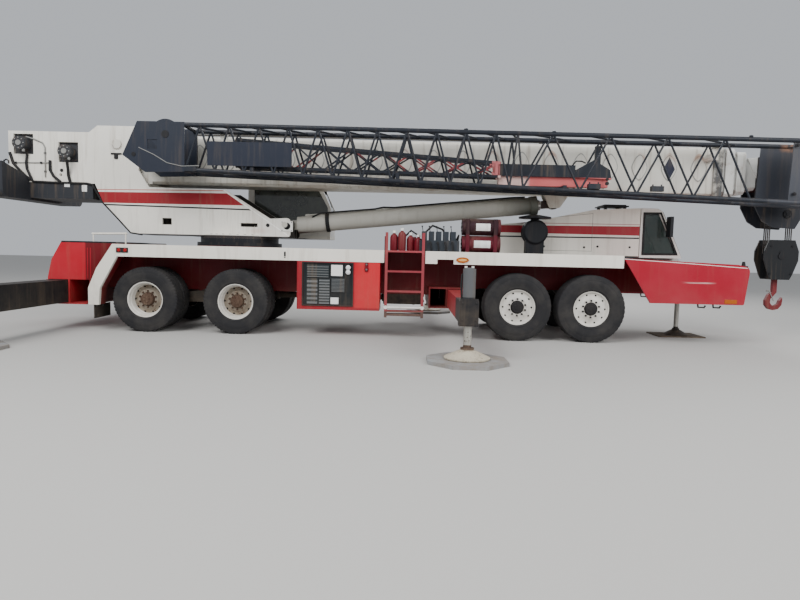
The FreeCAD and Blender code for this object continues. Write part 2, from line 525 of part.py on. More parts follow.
def build_carrier_cab():
    """One-person cab: a hollow shell with window openings, the door's opening and two mirrors."""
    wall = s.cab_wall
    shelf = s.front_body_top_z + s.seat_gap + 20
    shell = fuse("cab_shells", [plate("cab_shell", "XZ", cab_outline(0), s.cab_well_y, s.cab_left_y),
                                plate("cab_step_shell", "XZ", shelf_outline(0, shelf), s.cab_right_y,
                                      s.cab_well_y + 5)])
    rooms = fuse("cab_rooms", [plate("cab_room", "XZ", cab_outline(wall), s.cab_well_y + wall,
                                     s.cab_left_y - wall),
                               plate("cab_step_room", "XZ", shelf_outline(wall, shelf), s.cab_right_y + wall,
                                     s.cab_well_y + wall + 5)])
    right_window = plate("cab_right_window", "XZ", side_window_outline(0), s.cab_right_y - 10,
                         s.cab_right_y + wall + 10)
    screen = box("cab_screen_window", (s.cab_brow_x - 60, s.cab_toe_x + 10),
                 (s.cab_right_y + wall + 25, s.cab_left_y - wall - 25), (s.cab_sill_z + 40, s.cab_brow_z - 40))
    rear = box("cab_rear_window", (s.cab_rear_x - 10, s.cab_rear_x + wall + 10),
               (s.cab_right_y + 200, s.cab_left_y - 200), (s.hood_top_z - 150, s.cab_roof_z - 90))
    door = plate("cab_door_opening", "XZ", door_outline(s.cab_door_gap), s.cab_left_y - wall - 10,
                 s.cab_left_y + 10)
    hollow = cut("cab_hollow", shell, [rooms, right_window, screen, door, rear])
    hinges = []
    for number, z in enumerate((s.cab_door_bottom_z + 120, s.cab_sill_z - 160)):
        hinges.append(box("cab_hinge_%d" % number, (s.cab_door_front_x + 8, s.cab_door_front_x + 60),
                          (s.cab_left_y - 10, s.cab_left_y + s.hinge_radius + 4),
                          (z + s.hinge_height + s.seat_gap, z + s.hinge_height + 30)))
        hinges.append(cylinder("cab_hinge_cap_%d" % number, "Z",
                               (s.cab_door_front_x + s.cab_door_gap / 2, s.cab_left_y + s.hinge_radius,
                                z + s.hinge_height + s.seat_gap), s.hinge_radius, 30 - s.seat_gap))
    inset = s.seat_gap
    panes = [plate("cab_right_pane", "XZ", side_window_outline(inset), s.cab_right_y + wall / 2 - 4,
                   s.cab_right_y + wall / 2 + 4)]
    slope = (s.cab_brow_x - s.cab_sill_x) / (s.cab_brow_z - s.cab_sill_z)
    low, high = s.cab_sill_z + 40 + inset, s.cab_brow_z - 40 - inset
    low_x, high_x = s.cab_sill_x + slope * (low - s.cab_sill_z), s.cab_sill_x + slope * (high - s.cab_sill_z)
    panes.append(plate("cab_screen_pane", "XZ", [(low_x - 14, low), (high_x - 14, high), (high_x - 22, high),
                                                 (low_x - 22, low)],
                       s.cab_right_y + wall + 25 + inset, s.cab_left_y - wall - 25 - inset))
    panes.append(box("cab_rear_pane", (s.cab_rear_x + wall / 2 - 4, s.cab_rear_x + wall / 2 + 4),
                     (s.cab_right_y + 200 + inset, s.cab_left_y - 200 - inset),
                     (s.hood_top_z - 150 + inset, s.cab_roof_z - 90 - inset)))
    return hollow, build_mirror("right", s.cab_right_y, -1) + hinges, group("cab_panes", panes)


def shelf_outline(inset, floor):
    """Side outline of the part of the cab that stands over the frame rail."""
    return [(s.cab_rear_x + inset, floor + inset), (s.cab_sill_x + 15 - inset, floor + inset),
            (s.cab_sill_x - inset, s.cab_sill_z), (s.cab_brow_x - inset, s.cab_brow_z - inset),
            (s.cab_brow_x - 90 - inset, s.cab_roof_z - inset), (s.cab_rear_x + inset, s.cab_roof_z - inset)]


def side_window_outline(inset):
    return [(s.cab_rear_x + s.cab_pillar + inset, s.cab_sill_z + 30 + inset),
            (s.cab_sill_x - 80 - inset, s.cab_sill_z + 30 + inset),
            (s.cab_brow_x - 65 - inset, s.cab_brow_z - 45 - inset),
            (s.cab_rear_x + s.cab_pillar + inset, s.cab_brow_z - 45 - inset)]


def door_outline(grow):
    """Outline of the carrier cab's door, larger all round by the given gap."""
    return [(s.cab_door_rear_x - grow, s.cab_door_bottom_z - grow),
            (s.cab_door_front_x + grow, s.cab_door_bottom_z - grow),
            (s.cab_door_front_x + grow, s.cab_sill_z + grow),
            (s.cab_brow_x - 75 + grow, s.cab_brow_z - 30 + grow),
            (s.cab_door_rear_x - grow, s.cab_brow_z - 30 + grow)]


def build_mirror(word, y, side):
    """A tall mirror head on its arm, outside the given wall of the carrier cab."""
    arm_low, arm_high = span(y * side - 20, y * side + 150, side)
    head_low, head_high = span(y * side + 90, y * side + 270, side)
    x, z = s.cab_brow_x - 10, s.cab_brow_z - 195
    if side < 0:
        x = s.cab_brow_x + 60
    return [box("mirror_arm_" + word, (x, x + 25), (arm_low, arm_high), (z - 25, z)),
            box("mirror_head_" + word, (x - 15, x + 40), (head_low, head_high), (z - 285, z + 85))]


def build_carrier_door():
    leaf = plate("cab_door_leaf", "XZ", door_outline(0), s.cab_left_y - s.cab_wall, s.cab_left_y)
    window = [(s.cab_door_rear_x + 60, s.cab_sill_z + 40), (s.cab_door_front_x - 55, s.cab_sill_z + 40),
              (s.cab_brow_x - 115, s.cab_brow_z - 90), (s.cab_door_rear_x + 60, s.cab_brow_z - 90)]
    opening = plate("cab_door_window", "XZ", window, s.cab_left_y - s.cab_wall - 5, s.cab_left_y + 5)
    middle = s.cab_left_y - s.cab_wall / 2
    pane = plate("cab_door_pane", "XZ", window, middle - s.cab_pane / 2, middle + s.cab_pane / 2)
    sleeves = []
    for number, z in enumerate((s.cab_door_bottom_z + 120, s.cab_sill_z - 160)):
        sleeves.append(cylinder("cab_sleeve_%d" % number, "Z",
                                (s.cab_door_front_x + s.cab_door_gap / 2, s.cab_left_y + s.hinge_radius, z),
                                s.hinge_radius, s.hinge_height))
        sleeves.append(box("cab_sleeve_arm_%d" % number, (s.cab_door_front_x - 40, s.cab_door_front_x),
                           (s.cab_left_y - 5, s.cab_left_y + s.hinge_radius), (z, z + s.hinge_height)))
    return cut("cab_door_frame", leaf, [opening]), [pane] + sleeves + build_mirror("left", s.cab_left_y, 1)


def build_seat(name, x, y, z, forward=1):
    """A driver's seat on its pedestal, with a wheel or console in front of it."""
    cushion = box(name + "_cushion", (x, x + 470), (y - 240, y + 240), (z + 330, z + 450))
    back = plate(name + "_back", "XZ", [(x - 10, z + 400), (x + 110, z + 440), (x + 20, z + s.seat_height),
                                        (x - 90, z + s.seat_height - 10)], y - 230, y + 230)
    pedestal = box(name + "_pedestal", (x + 90, x + 380), (y - 150, y + 150), (z, z + 335))
    return fuse(name + "_seat", [cushion, back, pedestal])


def wheel_profile(radius, width):
    """Half section of a tyre: bead, sidewall bulge, shoulder and flat crown."""
    half = width / 2
    crown = half - s.tyre_shoulder
    return [(-half * 0.78, s.bead_radius), (-half, radius * 0.72), (-half * 0.97, radius - 75),
            (-crown, radius), (crown, radius), (half * 0.97, radius - 75), (half, radius * 0.72),
            (half * 0.78, s.bead_radius)]


def build_wheel(name, x, side, radius, width, dish, dual):
    """One wheel: tyre and rim, or two of each on one hub. The disc faces outwards."""
    middle = s.half_width - s.tyre_inset - width / 2
    centres = [middle, middle - s.dual_spacing] if dual else [middle]
    pieces = []
    seat = s.bead_radius - s.seat_gap
    half = width / 2
    wall = s.rim_wall
    for number, centre in enumerate(centres):
        tyre = turned("%s_tyre%d" % (name, number), wheel_profile(radius, width))
        pieces.append(move(tyre, x, centre * side, radius))
        tyre.Placement.Rotation = FreeCAD.Rotation()
    inner = -half * 0.78 - (s.dual_spacing if dual else 0)
    disc = half * 0.8 - dish
    hub_back = inner
    if not dual:
        hub_back = s.kingpin_y + s.boss_radius + 12 + s.knuckle_gap * 2 + 30 - middle
    bore = s.spindle_radius + s.pin_gap
    rim = [(inner, seat), (half * 0.8, seat), (half * 0.8, seat - wall), (disc + wall, seat - 2 * wall),
           (disc + wall, s.hub_radius), (disc + 60, s.hub_radius - 15), (disc + 60, bore), (hub_back, bore),
           (hub_back, bore + 30), (disc - 60, bore + 40), (disc - 20, s.hub_radius + 10), (disc, seat - 3 * wall),
           (inner, seat - 2 * wall)]
    ring = (s.hub_radius + seat - 2 * wall) / 2
    holes = []
    for number in range(int(s.hand_hole_count.number)):
        angle = math.tau * (number + 0.5) / s.hand_hole_count.number
        holes.append(cylinder("%s_hand_hole%d" % (name, number), "Y",
                              (ring * math.sin(angle), disc - 40, ring * math.cos(angle)),
                              s.hand_hole_radius, wall + 60))
    wheel = cut(name + "_rim_cut", turned(name + "_rim", rim), holes)
    if side < 0:
        wheel.Placement.Rotation = FreeCAD.Rotation(FreeCAD.Vector(0, 0, 1), 180)
    pieces.append(move(wheel, x, middle * side, radius))
    return group(name, pieces)


def build_drive_axles():
    """Two driven axles with their differential housings, on walking beams with shafts between."""
    pieces = []
    radius = s.drive_tyre_radius
    beams = []
    places = [s.drive_bogie_x - s.drive_spread / 2, s.drive_bogie_x + s.drive_spread / 2]
    inner = s.half_width - s.tyre_inset - s.drive_tyre_width - s.dual_spacing - 10
    for number, x in enumerate(places):
        pieces.append(cylinder("axle_tube_%d" % number, "Y", (x, -inner, radius), s.axle_tube_radius,
                               inner * 2))
        reach = s.half_width - s.tyre_inset - s.drive_tyre_width
        pieces.append(cylinder("axle_spindle_%d" % number, "Y", (x, -reach, radius), s.spindle_radius,
                               reach * 2))
        pieces.append(cone("axle_bowl_%d" % number, "X", (x, 0, radius), s.differential_radius,
                           s.differential_radius * 0.55, 260))
        pieces.append(cylinder("axle_case_%d" % number, "X", (x - 110, 0, radius), s.differential_radius,
                               112))
    for side, word in ((1, "left"), (-1, "right")):
        low, high = span(s.walking_beam_y - s.walking_beam_width / 2,
                         s.walking_beam_y + s.walking_beam_width / 2, side)
        half = s.walking_beam_height / 2
        outline = [(places[0] - 90, radius - half), (places[1] + 90, radius - half),
                   (places[1] + 90, radius + half * 0.6), (s.drive_bogie_x + 130, radius + half * 1.6),
                   (s.drive_bogie_x - 130, radius + half * 1.6), (places[0] - 90, radius + half * 0.6)]
        pieces.append(plate("walking_beam_" + word, "XZ", outline, low, high))
        low, high = span(s.rail_y + s.rail_width / 2 + s.seat_gap, s.walking_beam_y, side)
        pieces.append(cylinder("beam_trunnion_" + word, "Y", (s.drive_bogie_x, low, radius + half * 1.1),
                               65, high - low))
    pieces.append(cylinder("short_shaft", "X", (places[0], 0, radius), s.shaft_radius, s.drive_spread))
    return fuse("drive_axles_fused", pieces)


def build_steer_axles():
    """Two forged steering beams with kingpin bosses, each carried on leaf springs under the rails."""
    radius = s.steer_tyre_radius
    places = [s.steer_bogie_x - s.steer_spread / 2, s.steer_bogie_x + s.steer_spread / 2]
    pieces, bores = [], []
    for number, x in enumerate(places):
        half = s.steer_beam_depth / 2
        pieces.append(box("steer_beam_%d" % number, (x - half, x + half), (-s.kingpin_y, s.kingpin_y),
                          (radius - half, radius + half)))
        for side, word in ((1, "left"), (-1, "right")):
            pieces.append(cylinder("kingpin_boss_%s_%d" % (word, number), "Z",
                                   (x, s.kingpin_y * side, radius - s.boss_height / 2), s.boss_radius + 12,
                                   s.boss_height))
            bores.append(cylinder("kingpin_bore_%s_%d" % (word, number), "Z",
                                  (x, s.kingpin_y * side, radius - s.boss_height / 2 - 5),
                                  s.kingpin_radius + s.pin_gap, s.boss_height + 10))
            low, high = span(s.spring_y - s.spring_width / 2, s.spring_y + s.spring_width / 2, side)
            ends = s.spring_length / 2
            leaf = [(x - ends, s.rail_front_bottom_z - s.seat_gap), (x - ends + 60, s.rail_front_bottom_z - 60),
                    (x - 110, radius + half - 5), (x + 110, radius + half - 5),
                    (x + ends - 60, s.rail_front_bottom_z - 60), (x + ends, s.rail_front_bottom_z - s.seat_gap),
                    (x + ends - 90, s.rail_front_bottom_z - s.seat_gap), (x + 110, radius + half + 65),
                    (x - 110, radius + half + 65), (x - ends + 90, s.rail_front_bottom_z - s.seat_gap)]
            pieces.append(plate("leaf_spring_%s_%d" % (word, number), "XZ", leaf, low, high))
    return cut("steer_axles_cut", fuse("steer_axles_fused", pieces), bores)


def build_knuckle(name, x, side):
    """Steering knuckle: two ears and the kingpin round the axle's boss, with the wheel's spindle."""
    radius = s.steer_tyre_radius
    pieces = []
    reach = s.boss_height / 2 + s.knuckle_gap
    back = s.kingpin_y + s.boss_radius + 12 + s.knuckle_gap
    for word, low in (("upper", radius + reach), ("lower", radius - reach - s.knuckle_ear)):
        pieces.append(cylinder("%s_%s_ear" % (name, word), "Z", (x, s.kingpin_y * side, low), s.boss_radius,
                               s.knuckle_ear))
        pieces.append(box("%s_%s_arm" % (name, word), (x - s.boss_radius, x + s.boss_radius),
                          span(s.kingpin_y, back + 10, side), (low, low + s.knuckle_ear)))
    pieces.append(cylinder(name + "_kingpin", "Z", (x, s.kingpin_y * side, radius - reach - 5),
                           s.kingpin_radius, reach * 2 + 10))
    pieces.append(box(name + "_web", (x - s.boss_radius, x + s.boss_radius), span(back, back + 30, side),
                      (radius - reach - s.knuckle_ear, radius + reach + s.knuckle_ear)))
    low, high = span(back, s.half_width - s.tyre_inset - s.steer_tyre_width / 2 + 80, side)
    pieces.append(cylinder(name + "_spindle", "Y", (x, low, radius), s.spindle_radius, high - low))
    return fuse(name + "_fused", pieces)


def build_beam(name, middle, side, low, height, width):
    """Outrigger beam: a box tube that slides in the housing and carries the jack at its end."""
    half = width / 2
    root, end = beam_root_y, jack_y + s.jack_inset
    tube = box(name + "_tube", (middle - half, middle + half), span(root, end, side), (low, low + height))
    hollow = box(name + "_hollow", (middle - half + s.beam_wall, middle + half - s.beam_wall),
                 span(root - 10, jack_y - s.jack_radius - 40, side),
                 (low + s.beam_wall, low + height - s.beam_wall))
    barrel = cylinder(name + "_barrel", "Z", (middle, jack_y * side, s.jack_foot_z), s.jack_radius,
                      s.jack_top_z - s.jack_foot_z)
    foot = box(name + "_foot", (middle - half, middle + half), span(jack_y - s.jack_inset, end, side),
               (s.jack_foot_z, low + height / 2))
    if name.startswith("rear"):
        foot = box(name + "_foot", (middle - half, middle + half), span(jack_y - s.jack_inset, end, side),
                   (low, low + height / 2))
    seal_top = s.jack_foot_z + s.gland_seal
    bore = cylinder(name + "_bore", "Z", (middle, jack_y * side, seal_top), s.jack_bore_radius,
                    s.jack_top_z - s.jack_cap - seal_top)
    seal = cylinder(name + "_seal", "Z", (middle, jack_y * side, s.rear_beam_z - 20),
                    s.jack_rod_radius + s.pin_gap, seal_top - s.rear_beam_z + 25)
    pad = box(name + "_pad", (middle - half + 20, middle + half - 20), span(root + 5, root + s.wear_pad, side),
              (low + height - 3, low + height + s.slide_gap - s.seat_gap))
    body = cut(name + "_beam_tube", tube, [hollow])
    return cut(name + "_beam", fuse(name + "_beam_body", [body, barrel, foot, pad]), [bore, seal])


def float_profile(base, radius, height, hub, edge):
    return [(0, base), (radius * 0.96, base), (radius, base + edge * 0.4), (radius, base + edge),
            (hub * 1.25, base + height * 0.75), (hub, base + height * 0.8), (hub, base + height),
            (0, base + height)]


def build_jack(name, middle, side):
    """Jack rod standing in its round float."""
    base = s.pad_thickness + s.seat_gap
    foot = turned_up(name + "_float", float_profile(base, s.float_radius, s.float_height,
                                                    s.float_hub_radius, s.float_edge))
    move(foot, middle, jack_y * side, 0)
    top = s.jack_top_z - s.jack_cap - s.jack_lift - 20
    rod = cylinder(name + "_rod", "Z", (middle, jack_y * side, base + s.float_height - 10),
                   s.jack_rod_radius, top - base - s.float_height + 10)
    return fuse(name + "_jack", [foot, rod])


def build_front_jack():
    base = s.front_pad_thickness + s.seat_gap
    foot = turned_up("front_float", float_profile(base, s.front_float_radius, s.front_float_height,
                                                  s.front_jack_rod_radius + 20, 15))
    move(foot, s.front_jack_x, 0, 0)
    top = s.rail_top_z - 240 - 20 - s.jack_lift - 20
    rod = cylinder("front_rod", "Z", (s.front_jack_x, 0, base + s.front_float_height - 10),
                   s.front_jack_rod_radius, top - base - s.front_float_height + 10)
    return fuse("front_jack_fused", [foot, rod])


def build_pads():
    """Octagonal ground pads under the floats and the plate under the front jack."""
    pads = []
    for name, middle, side, low, height, width in BEAMS:
        pad = doc.addObject("Part::Prism", "pad_" + name)
        pad.Polygon = 8
        bind(pad, "Circumradius", s.pad_across / (2 * math.cos(math.pi / 8)))
        bind(pad, "Height", s.pad_thickness)
        pad.Placement.Rotation = FreeCAD.Rotation(FreeCAD.Vector(0, 0, 1), 22.5)
        pads.append(move(pad, middle, jack_y * side, 0))
    half_x, half_y = s.front_pad_length / 2, s.front_pad_width / 2
    pads.append(box("front_pad", (s.front_jack_x - half_x, s.front_jack_x + half_x), (-half_y, half_y),
                    (0, s.front_pad_thickness)))
    return group("pads", pads)


def build_hood():
    """Engine hood: a folded shell that rises towards the cab, open below."""
    def outline(inset, floor):
        return [(s.hood_rear_x + inset, floor), (s.cab_rear_x - 15 - inset, floor),
                (s.cab_rear_x - 15 - inset, s.hood_top_z - inset),
                (s.hood_crest_x, s.hood_crest_z - inset), (s.hood_knee_x, s.hood_knee_z - inset),
                (s.hood_rear_x + inset, s.hood_rear_z - inset)]
    floor = s.deck_top_z + s.seat_gap
    shell = plate("hood_shell", "XZ", outline(0, floor), s.cab_right_y, s.hood_left_y)
    room = plate("hood_room", "XZ", outline(s.hood_wall, floor - 10), s.cab_right_y + s.hood_wall,
                 s.hood_left_y - s.hood_wall)
    return cut("hood_cut", shell, [room])


def build_cleaner():
    """Air cleaner: a drum lying across the crane on its post, with a rain cap on its neck."""
    x, y, z = s.cleaner_x, s.cleaner_y, s.cleaner_z
    half = s.cleaner_length / 2
    drum = turned("cleaner_drum", [(-half, 0), (-half, s.cleaner_radius * 0.86), (-half * 0.8, s.cleaner_radius),
                                   (half * 0.8, s.cleaner_radius), (half, s.cleaner_radius * 0.86), (half, 0)])
    move(drum, x, y, z)
    post = box("cleaner_post_box", (x - s.cleaner_post / 2, x + s.cleaner_post / 2), (y - half * 0.7, y + half * 0.7),
               (s.deck_top_z + s.seat_gap, z - s.cleaner_radius * 0.6))
    neck = cylinder("cleaner_neck", "Z", (x, y, z), 75, s.cleaner_cap_z - z + 5)
    cap = turned_up("cleaner_cap", [(0, 0), (s.cleaner_cap_radius, 0), (s.cleaner_cap_radius, 30),
                                    (s.cleaner_cap_radius * 0.4, s.cleaner_cap_height),
                                    (0, s.cleaner_cap_height)])
    move(cap, x, y, s.cleaner_cap_z)
    return fuse("cleaner", [drum, post, neck, cap])


def build_deck_equipment():
    """Two stacked reservoirs and the valve bank beside the right-hand ladder."""
    floor = s.deck_top_z + s.seat_gap
    pieces = []
    for number in range(2):
        height = floor + s.reservoir_radius * (1 + 2 * number) + 6 * number
        pieces.append(cylinder("reservoir_%d" % number, "X", (s.reservoir_x, s.reservoir_y, height),
                               s.reservoir_radius, s.reservoir_length))
    for number, along in enumerate((60, 520)):
        pieces.append(box("reservoir_strap_%d" % number, (s.reservoir_x + along, s.reservoir_x + along + 60),
                          (s.reservoir_y - 150, s.reservoir_y + 150), (floor, floor + s.reservoir_radius * 4)))
    stack = fuse("reservoir_stack", pieces)
    low_y = -s.half_width + 80
    bank = box("valve_bank_base", (s.valve_bank_x, s.valve_bank_x + s.valve_bank_length),
               (low_y, low_y + s.valve_bank_width), (floor, floor + s.valve_bank_height * 0.55))
    sections = [bank]
    for number in range(5):
        x = s.valve_bank_x + 40 + number * 120
        sections.append(box("valve_section_%d" % number, (x, x + 85), (low_y + 60, low_y + 330),
                            (floor + s.valve_bank_height * 0.5, floor + s.valve_bank_height)))
    return group("deck_kit", [stack, fuse("valve_bank", sections)])


def build_flaps():
    """Rubber flaps that hang from the rear fender posts behind the driven wheels."""
    flaps = []
    for side, word in ((1, "left"), (-1, "right")):
        low, high = span(s.flap_inner_y, s.half_width - 5, side)
        flaps.append(box("flap_" + word, (s.flap_x, s.flap_x + s.flap_thickness), (low, high),
                         (s.flap_bottom_z, s.post_foot_z - s.seat_gap)))
    return group("flap_pair", flaps)


def build_lamps():
    """Head lamps in the slanted nose and tail lamps on the rear housing."""
    lamps = []
    slope = (s.front_body_nose_x - s.front_body_chin_x) / (s.front_body_nose_z - s.front_body_bottom_z)
    low, high = s.front_body_bottom_z + 250, s.front_body_bottom_z + 400
    low_x = s.front_body_chin_x + slope * (low - s.front_body_bottom_z) + s.seat_gap
    high_x = s.front_body_chin_x + slope * (high - s.front_body_bottom_z) + s.seat_gap
    outline = [(low_x, low), (low_x + s.lamp_depth, low), (high_x + s.lamp_depth, high), (high_x, high)]
    for side, word in ((1, "left"), (-1, "right")):
        for number, y in enumerate((760, 980)):
            near, far = span(y, y + 180, side)
            lamps.append(plate("head_lamp_%s_%d" % (word, number), "XZ", outline, near, far))
        near, far = span(s.rear_box_half_width - 190, s.rear_box_half_width - 20, side)
        lamps.append(box("tail_lamp_" + word, (s.rear_face_x - s.seat_gap - s.lamp_depth, s.rear_face_x - s.seat_gap),
                         (near, far), (s.rear_beam_z + s.rear_beam_height - 120, s.rear_beam_z + s.rear_beam_height)))
    return group("lamp_set", lamps)


def build_toolbox():
    """Hollow tool box hung under the deck, and its door."""
    x = (s.toolbox_rear_x, s.toolbox_rear_x + s.toolbox_length)
    y = (-s.half_width + 5 + s.toolbox_door + s.seat_gap, -s.half_width + 5 + s.toolbox_depth)
    z = (s.toolbox_bottom_z, s.band_bottom_z - s.seat_gap)
    wall = s.toolbox_wall
    outer = box("toolbox_outer", x, y, z)
    room = box("toolbox_room", (x[0] + wall, x[1] - wall), (y[0] - 10, y[1] - wall), (z[0] + wall, z[1] - wall))
    face = -s.half_width + 5
    leaf = box("toolbox_door_leaf", (x[0] + 2, x[1]), (face, face + s.toolbox_door), (z[0], z[1] - 2))
    third = (z[1] - z[0]) / 3
    sleeve = cylinder("toolbox_sleeve", "Z", (x[0], face, z[0] + third + s.seat_gap), s.toolbox_hinge_radius,
                      third - s.seat_gap * 2)
    straps = []
    for number, low in enumerate((z[0], z[0] + third * 2)):
        straps.append(cylinder("toolbox_knuckle_%d" % number, "Z", (x[0], face, low), s.toolbox_hinge_radius,
                               third - 2))
        straps.append(box("toolbox_strap_%d" % number, (x[0] - s.toolbox_hinge_radius, x[0]),
                          (face, face + s.toolbox_door + 60), (low, low + third - 2)))
    room_cut = cut("toolbox_cut", outer, [room])
    swing = cut("toolbox_leaf_cut", leaf, [cylinder("toolbox_clear_%d" % number, "Z", (x[0], face, low - 1),
                                                    s.toolbox_hinge_radius + 1, third + 1)
                                           for number, low in enumerate((z[0], z[0] + third * 2))])
    return fuse("toolbox_fused", [room_cut] + straps), fuse("toolbox_door_fused", [swing, sleeve])


def build_tank():
    """Fuel tank on the left side: a round drum on two brackets."""
    drum = cylinder("tank_drum", "X", (s.tank_rear_x, s.tank_y, s.tank_z), s.tank_radius, s.tank_length)
    pieces = [drum]
    for number, along in enumerate((180, 860)):
        pieces.append(box("tank_bracket_%d" % number, (s.tank_rear_x + along, s.tank_rear_x + along + 80),
                          (s.rail_y + s.rail_width / 2 + s.seat_gap, s.tank_y),
                          (s.tank_z - s.tank_radius - 20, s.tank_z + s.tank_radius * 0.6)))
    return fuse("tank_fused", pieces)


def build_ladder(word, rear, side):
    """Ladder with square rails that stand above the deck as hand posts, and flat treads."""
    rail = s.ladder_rail
    low, high = span(s.half_width - 5 - rail, s.half_width - 5, side)
    pieces = []
    for number, x in enumerate((rear, rear + s.ladder_width - rail)):
        pieces.append(box("%s_ladder_rail_%d" % (word, number), (x, x + rail), (low, high),
                          (s.ladder_foot_z, s.ladder_top_z)))
    for number in range(4):
        z = s.deck_top_z - s.tread_thickness - number * s.ladder_pitch
        tread_low, tread_high = span(s.half_width - s.ladder_recess + s.seat_gap, s.half_width - 5, side)
        pieces.append(box("%s_tread_%d" % (word, number), (rear + rail / 2, rear + s.ladder_width - rail / 2),
                          (tread_low, tread_high), (z, z + s.tread_thickness)))
    return fuse(word + "_ladder", pieces)


def upper_plate_outline():
    return [(s.tail_x, s.tail_bottom_z), (s.plate_corner_x, s.tail_bottom_z), (s.plate_slope_x, s.plate_slope_z),
            (s.plate_heel_x, s.plate_bottom_z), (s.nose_x, s.plate_bottom_z), (s.nose_x, s.nose_top_z),
            (s.nose_rear_x, s.nose_top_z - 20), (s.shoulder_x, s.shoulder_z), (s.foot_front_x, s.foot_front_z),
            (s.foot_knee_x, s.foot_knee_z), (s.foot_knee_x, s.foot_crest_z), (s.foot_rear_x, s.foot_crest_z),
            (s.foot_ramp_x, s.tail_top_z), (s.tail_x, s.tail_top_z)]


def build_upper_frame():
    """Two tall side plates on the turntable floor, tied across, with the winch motors in them."""
    inner = s.plate_y - s.plate_thickness
    pieces = []
    for side, word in ((1, "left"), (-1, "right")):
        low, high = span(inner, s.plate_y, side)
        pieces.append(plate("side_plate_" + word, "XZ", upper_plate_outline(), low, high,
                            [((4, 5), as_size(60))]))
    pieces.append(box("upper_floor_plate", (s.plate_heel_x, s.nose_x - 60), (-inner - 10, inner + 10),
                      (s.plate_bottom_z, s.plate_bottom_z + s.upper_floor)))
    pieces.append(cylinder("turntable_plate", "Z", (s.slew_x, 0, s.ring_top_z + s.seat_gap),
                           s.turntable_plate_radius, s.plate_bottom_z - s.ring_top_z - s.seat_gap + 30))
    pieces.append(box("tail_floor", (s.tail_x, s.plate_corner_x), (-inner - 10, inner + 10),
                      (s.tail_bottom_z, s.tail_bottom_z + s.upper_floor)))
    pieces.append(box("back_plate", (s.plate_corner_x - 50, s.plate_corner_x), (-inner - 10, inner + 10),
                      (s.tail_bottom_z, s.tail_bottom_z + 420)))
    for number, (x, z) in enumerate(((s.tail_x + 60, s.tail_top_z - 600), (-4980, 2300))):
        pieces.append(cylinder("cross_tube_%d" % number, "Y", (x, -inner - 10, z), 55, inner * 2 + 20))
    pieces.append(box("side_deck", (s.side_deck_x, s.side_deck_x + s.side_deck_length),
                      (s.plate_y - 10, s.side_deck_y), (s.plate_bottom_z, s.op_cab_floor_z - s.seat_gap)))
    for side, word in ((1, "left"), (-1, "right")):
        low, high = span(s.eye_width / 2 + s.clevis_gap, s.eye_width / 2 + s.clevis_gap + s.clevis_plate, side)
        lug_top = s.cylinder_z + 100
        lug = [(s.cylinder_x - 420, s.plate_bottom_z), (s.nose_x, s.plate_bottom_z), (s.nose_x, lug_top),
               (s.cylinder_x - 90, lug_top), (s.cylinder_x - 420, s.plate_bottom_z + 120)]
        pieces.append(plate("cylinder_lug_" + word, "XZ", lug, low, high, [((2, 3), as_size(60))]))
    holes = []
    for number, (x, z) in enumerate(((s.main_winch_x, s.main_winch_z), (s.aux_winch_x, s.aux_winch_z))):
        half = s.winch_hole_size / 2
        holes.append(box("winch_hole_%d" % number, (x - half, x + half), (-s.plate_y - 10, -inner + 10),
                         (z - half, z + half)))
    # cut-outs of the side plates: rear end, length, bottom above the plate's lower edge, height
    for word, x, length, low, height in (("window", s.slew_x - 1255, 170, 180, 115),
                                         ("slot", s.slew_x + 140, 303, 172, 66)):
        holes.append(box("plate_" + word, (x, x + length), (-s.plate_y - 10, s.plate_y + 10),
                         (s.plate_bottom_z + low, s.plate_bottom_z + low + height)))
    holes.append(cylinder("tail_hole", "Y", (s.aux_winch_x - 144, -s.plate_y - 10, s.tail_bottom_z + 141), 26,
                          s.plate_thickness + 20))
    holes.append(cylinder("boom_pin_hole", "Y", (s.boom_pivot_x, -s.plate_y - 10, s.boom_pivot_z),
                          s.boom_pin_radius + s.pin_gap, s.plate_y * 2 + 20))
    holes.append(cylinder("cylinder_pin_hole", "Y", (s.cylinder_x, -s.plate_y - 10, s.cylinder_z),
                          s.lift_pin_radius + s.pin_gap, s.plate_y * 2 + 20))
    frame = cut("upper_frame_cut", fuse("upper_frame_fused", pieces), holes)
    motors = []
    for word, x, z in (("main", s.main_winch_x, s.main_winch_z), ("aux", s.aux_winch_x, s.aux_winch_z)):
        half = s.winch_hole_size / 2
        cover = box(word + "_motor_plate", (x - half - 20, x + half + 20), (-inner + s.seat_gap, -inner + 12),
                    (z - half - 20, z + half + 20))
        motor = cylinder(word + "_motor", "Y", (x, -s.motor_reach, z), s.motor_radius,
                         s.motor_reach - inner + 10)
        stub = cylinder(word + "_stub", "Y", (x, -inner, z), s.motor_hub_radius,
                        inner - s.drum_half_length + 30)
        motors.append(fuse(word + "_motor_set", [cover, motor, stub]))
        end = cylinder(word + "_bearing", "Y", (x, s.drum_half_length - 30, z), s.motor_hub_radius,
                       inner - s.drum_half_length + 30 - s.seat_gap)
        motors.append(end)
    return frame, group("motor_sets", motors)


def build_winch(word, x, z):
    """Winch drum with its two flanges, hollow at the ends for the motor's hub and the bearing."""
    half = s.drum_half_length
    drum = turned(word + "_drum", [(-half, s.motor_hub_radius + s.drum_gap), (-half, s.flange_radius),
                                   (-half + s.flange_thickness, s.flange_radius),
                                   (-half + s.flange_thickness, s.drum_radius),
                                   (half - s.flange_thickness, s.drum_radius),
                                   (half - s.flange_thickness, s.flange_radius), (half, s.flange_radius),
                                   (half, s.motor_hub_radius + s.drum_gap)])
    return move(drum, x, 0, z)


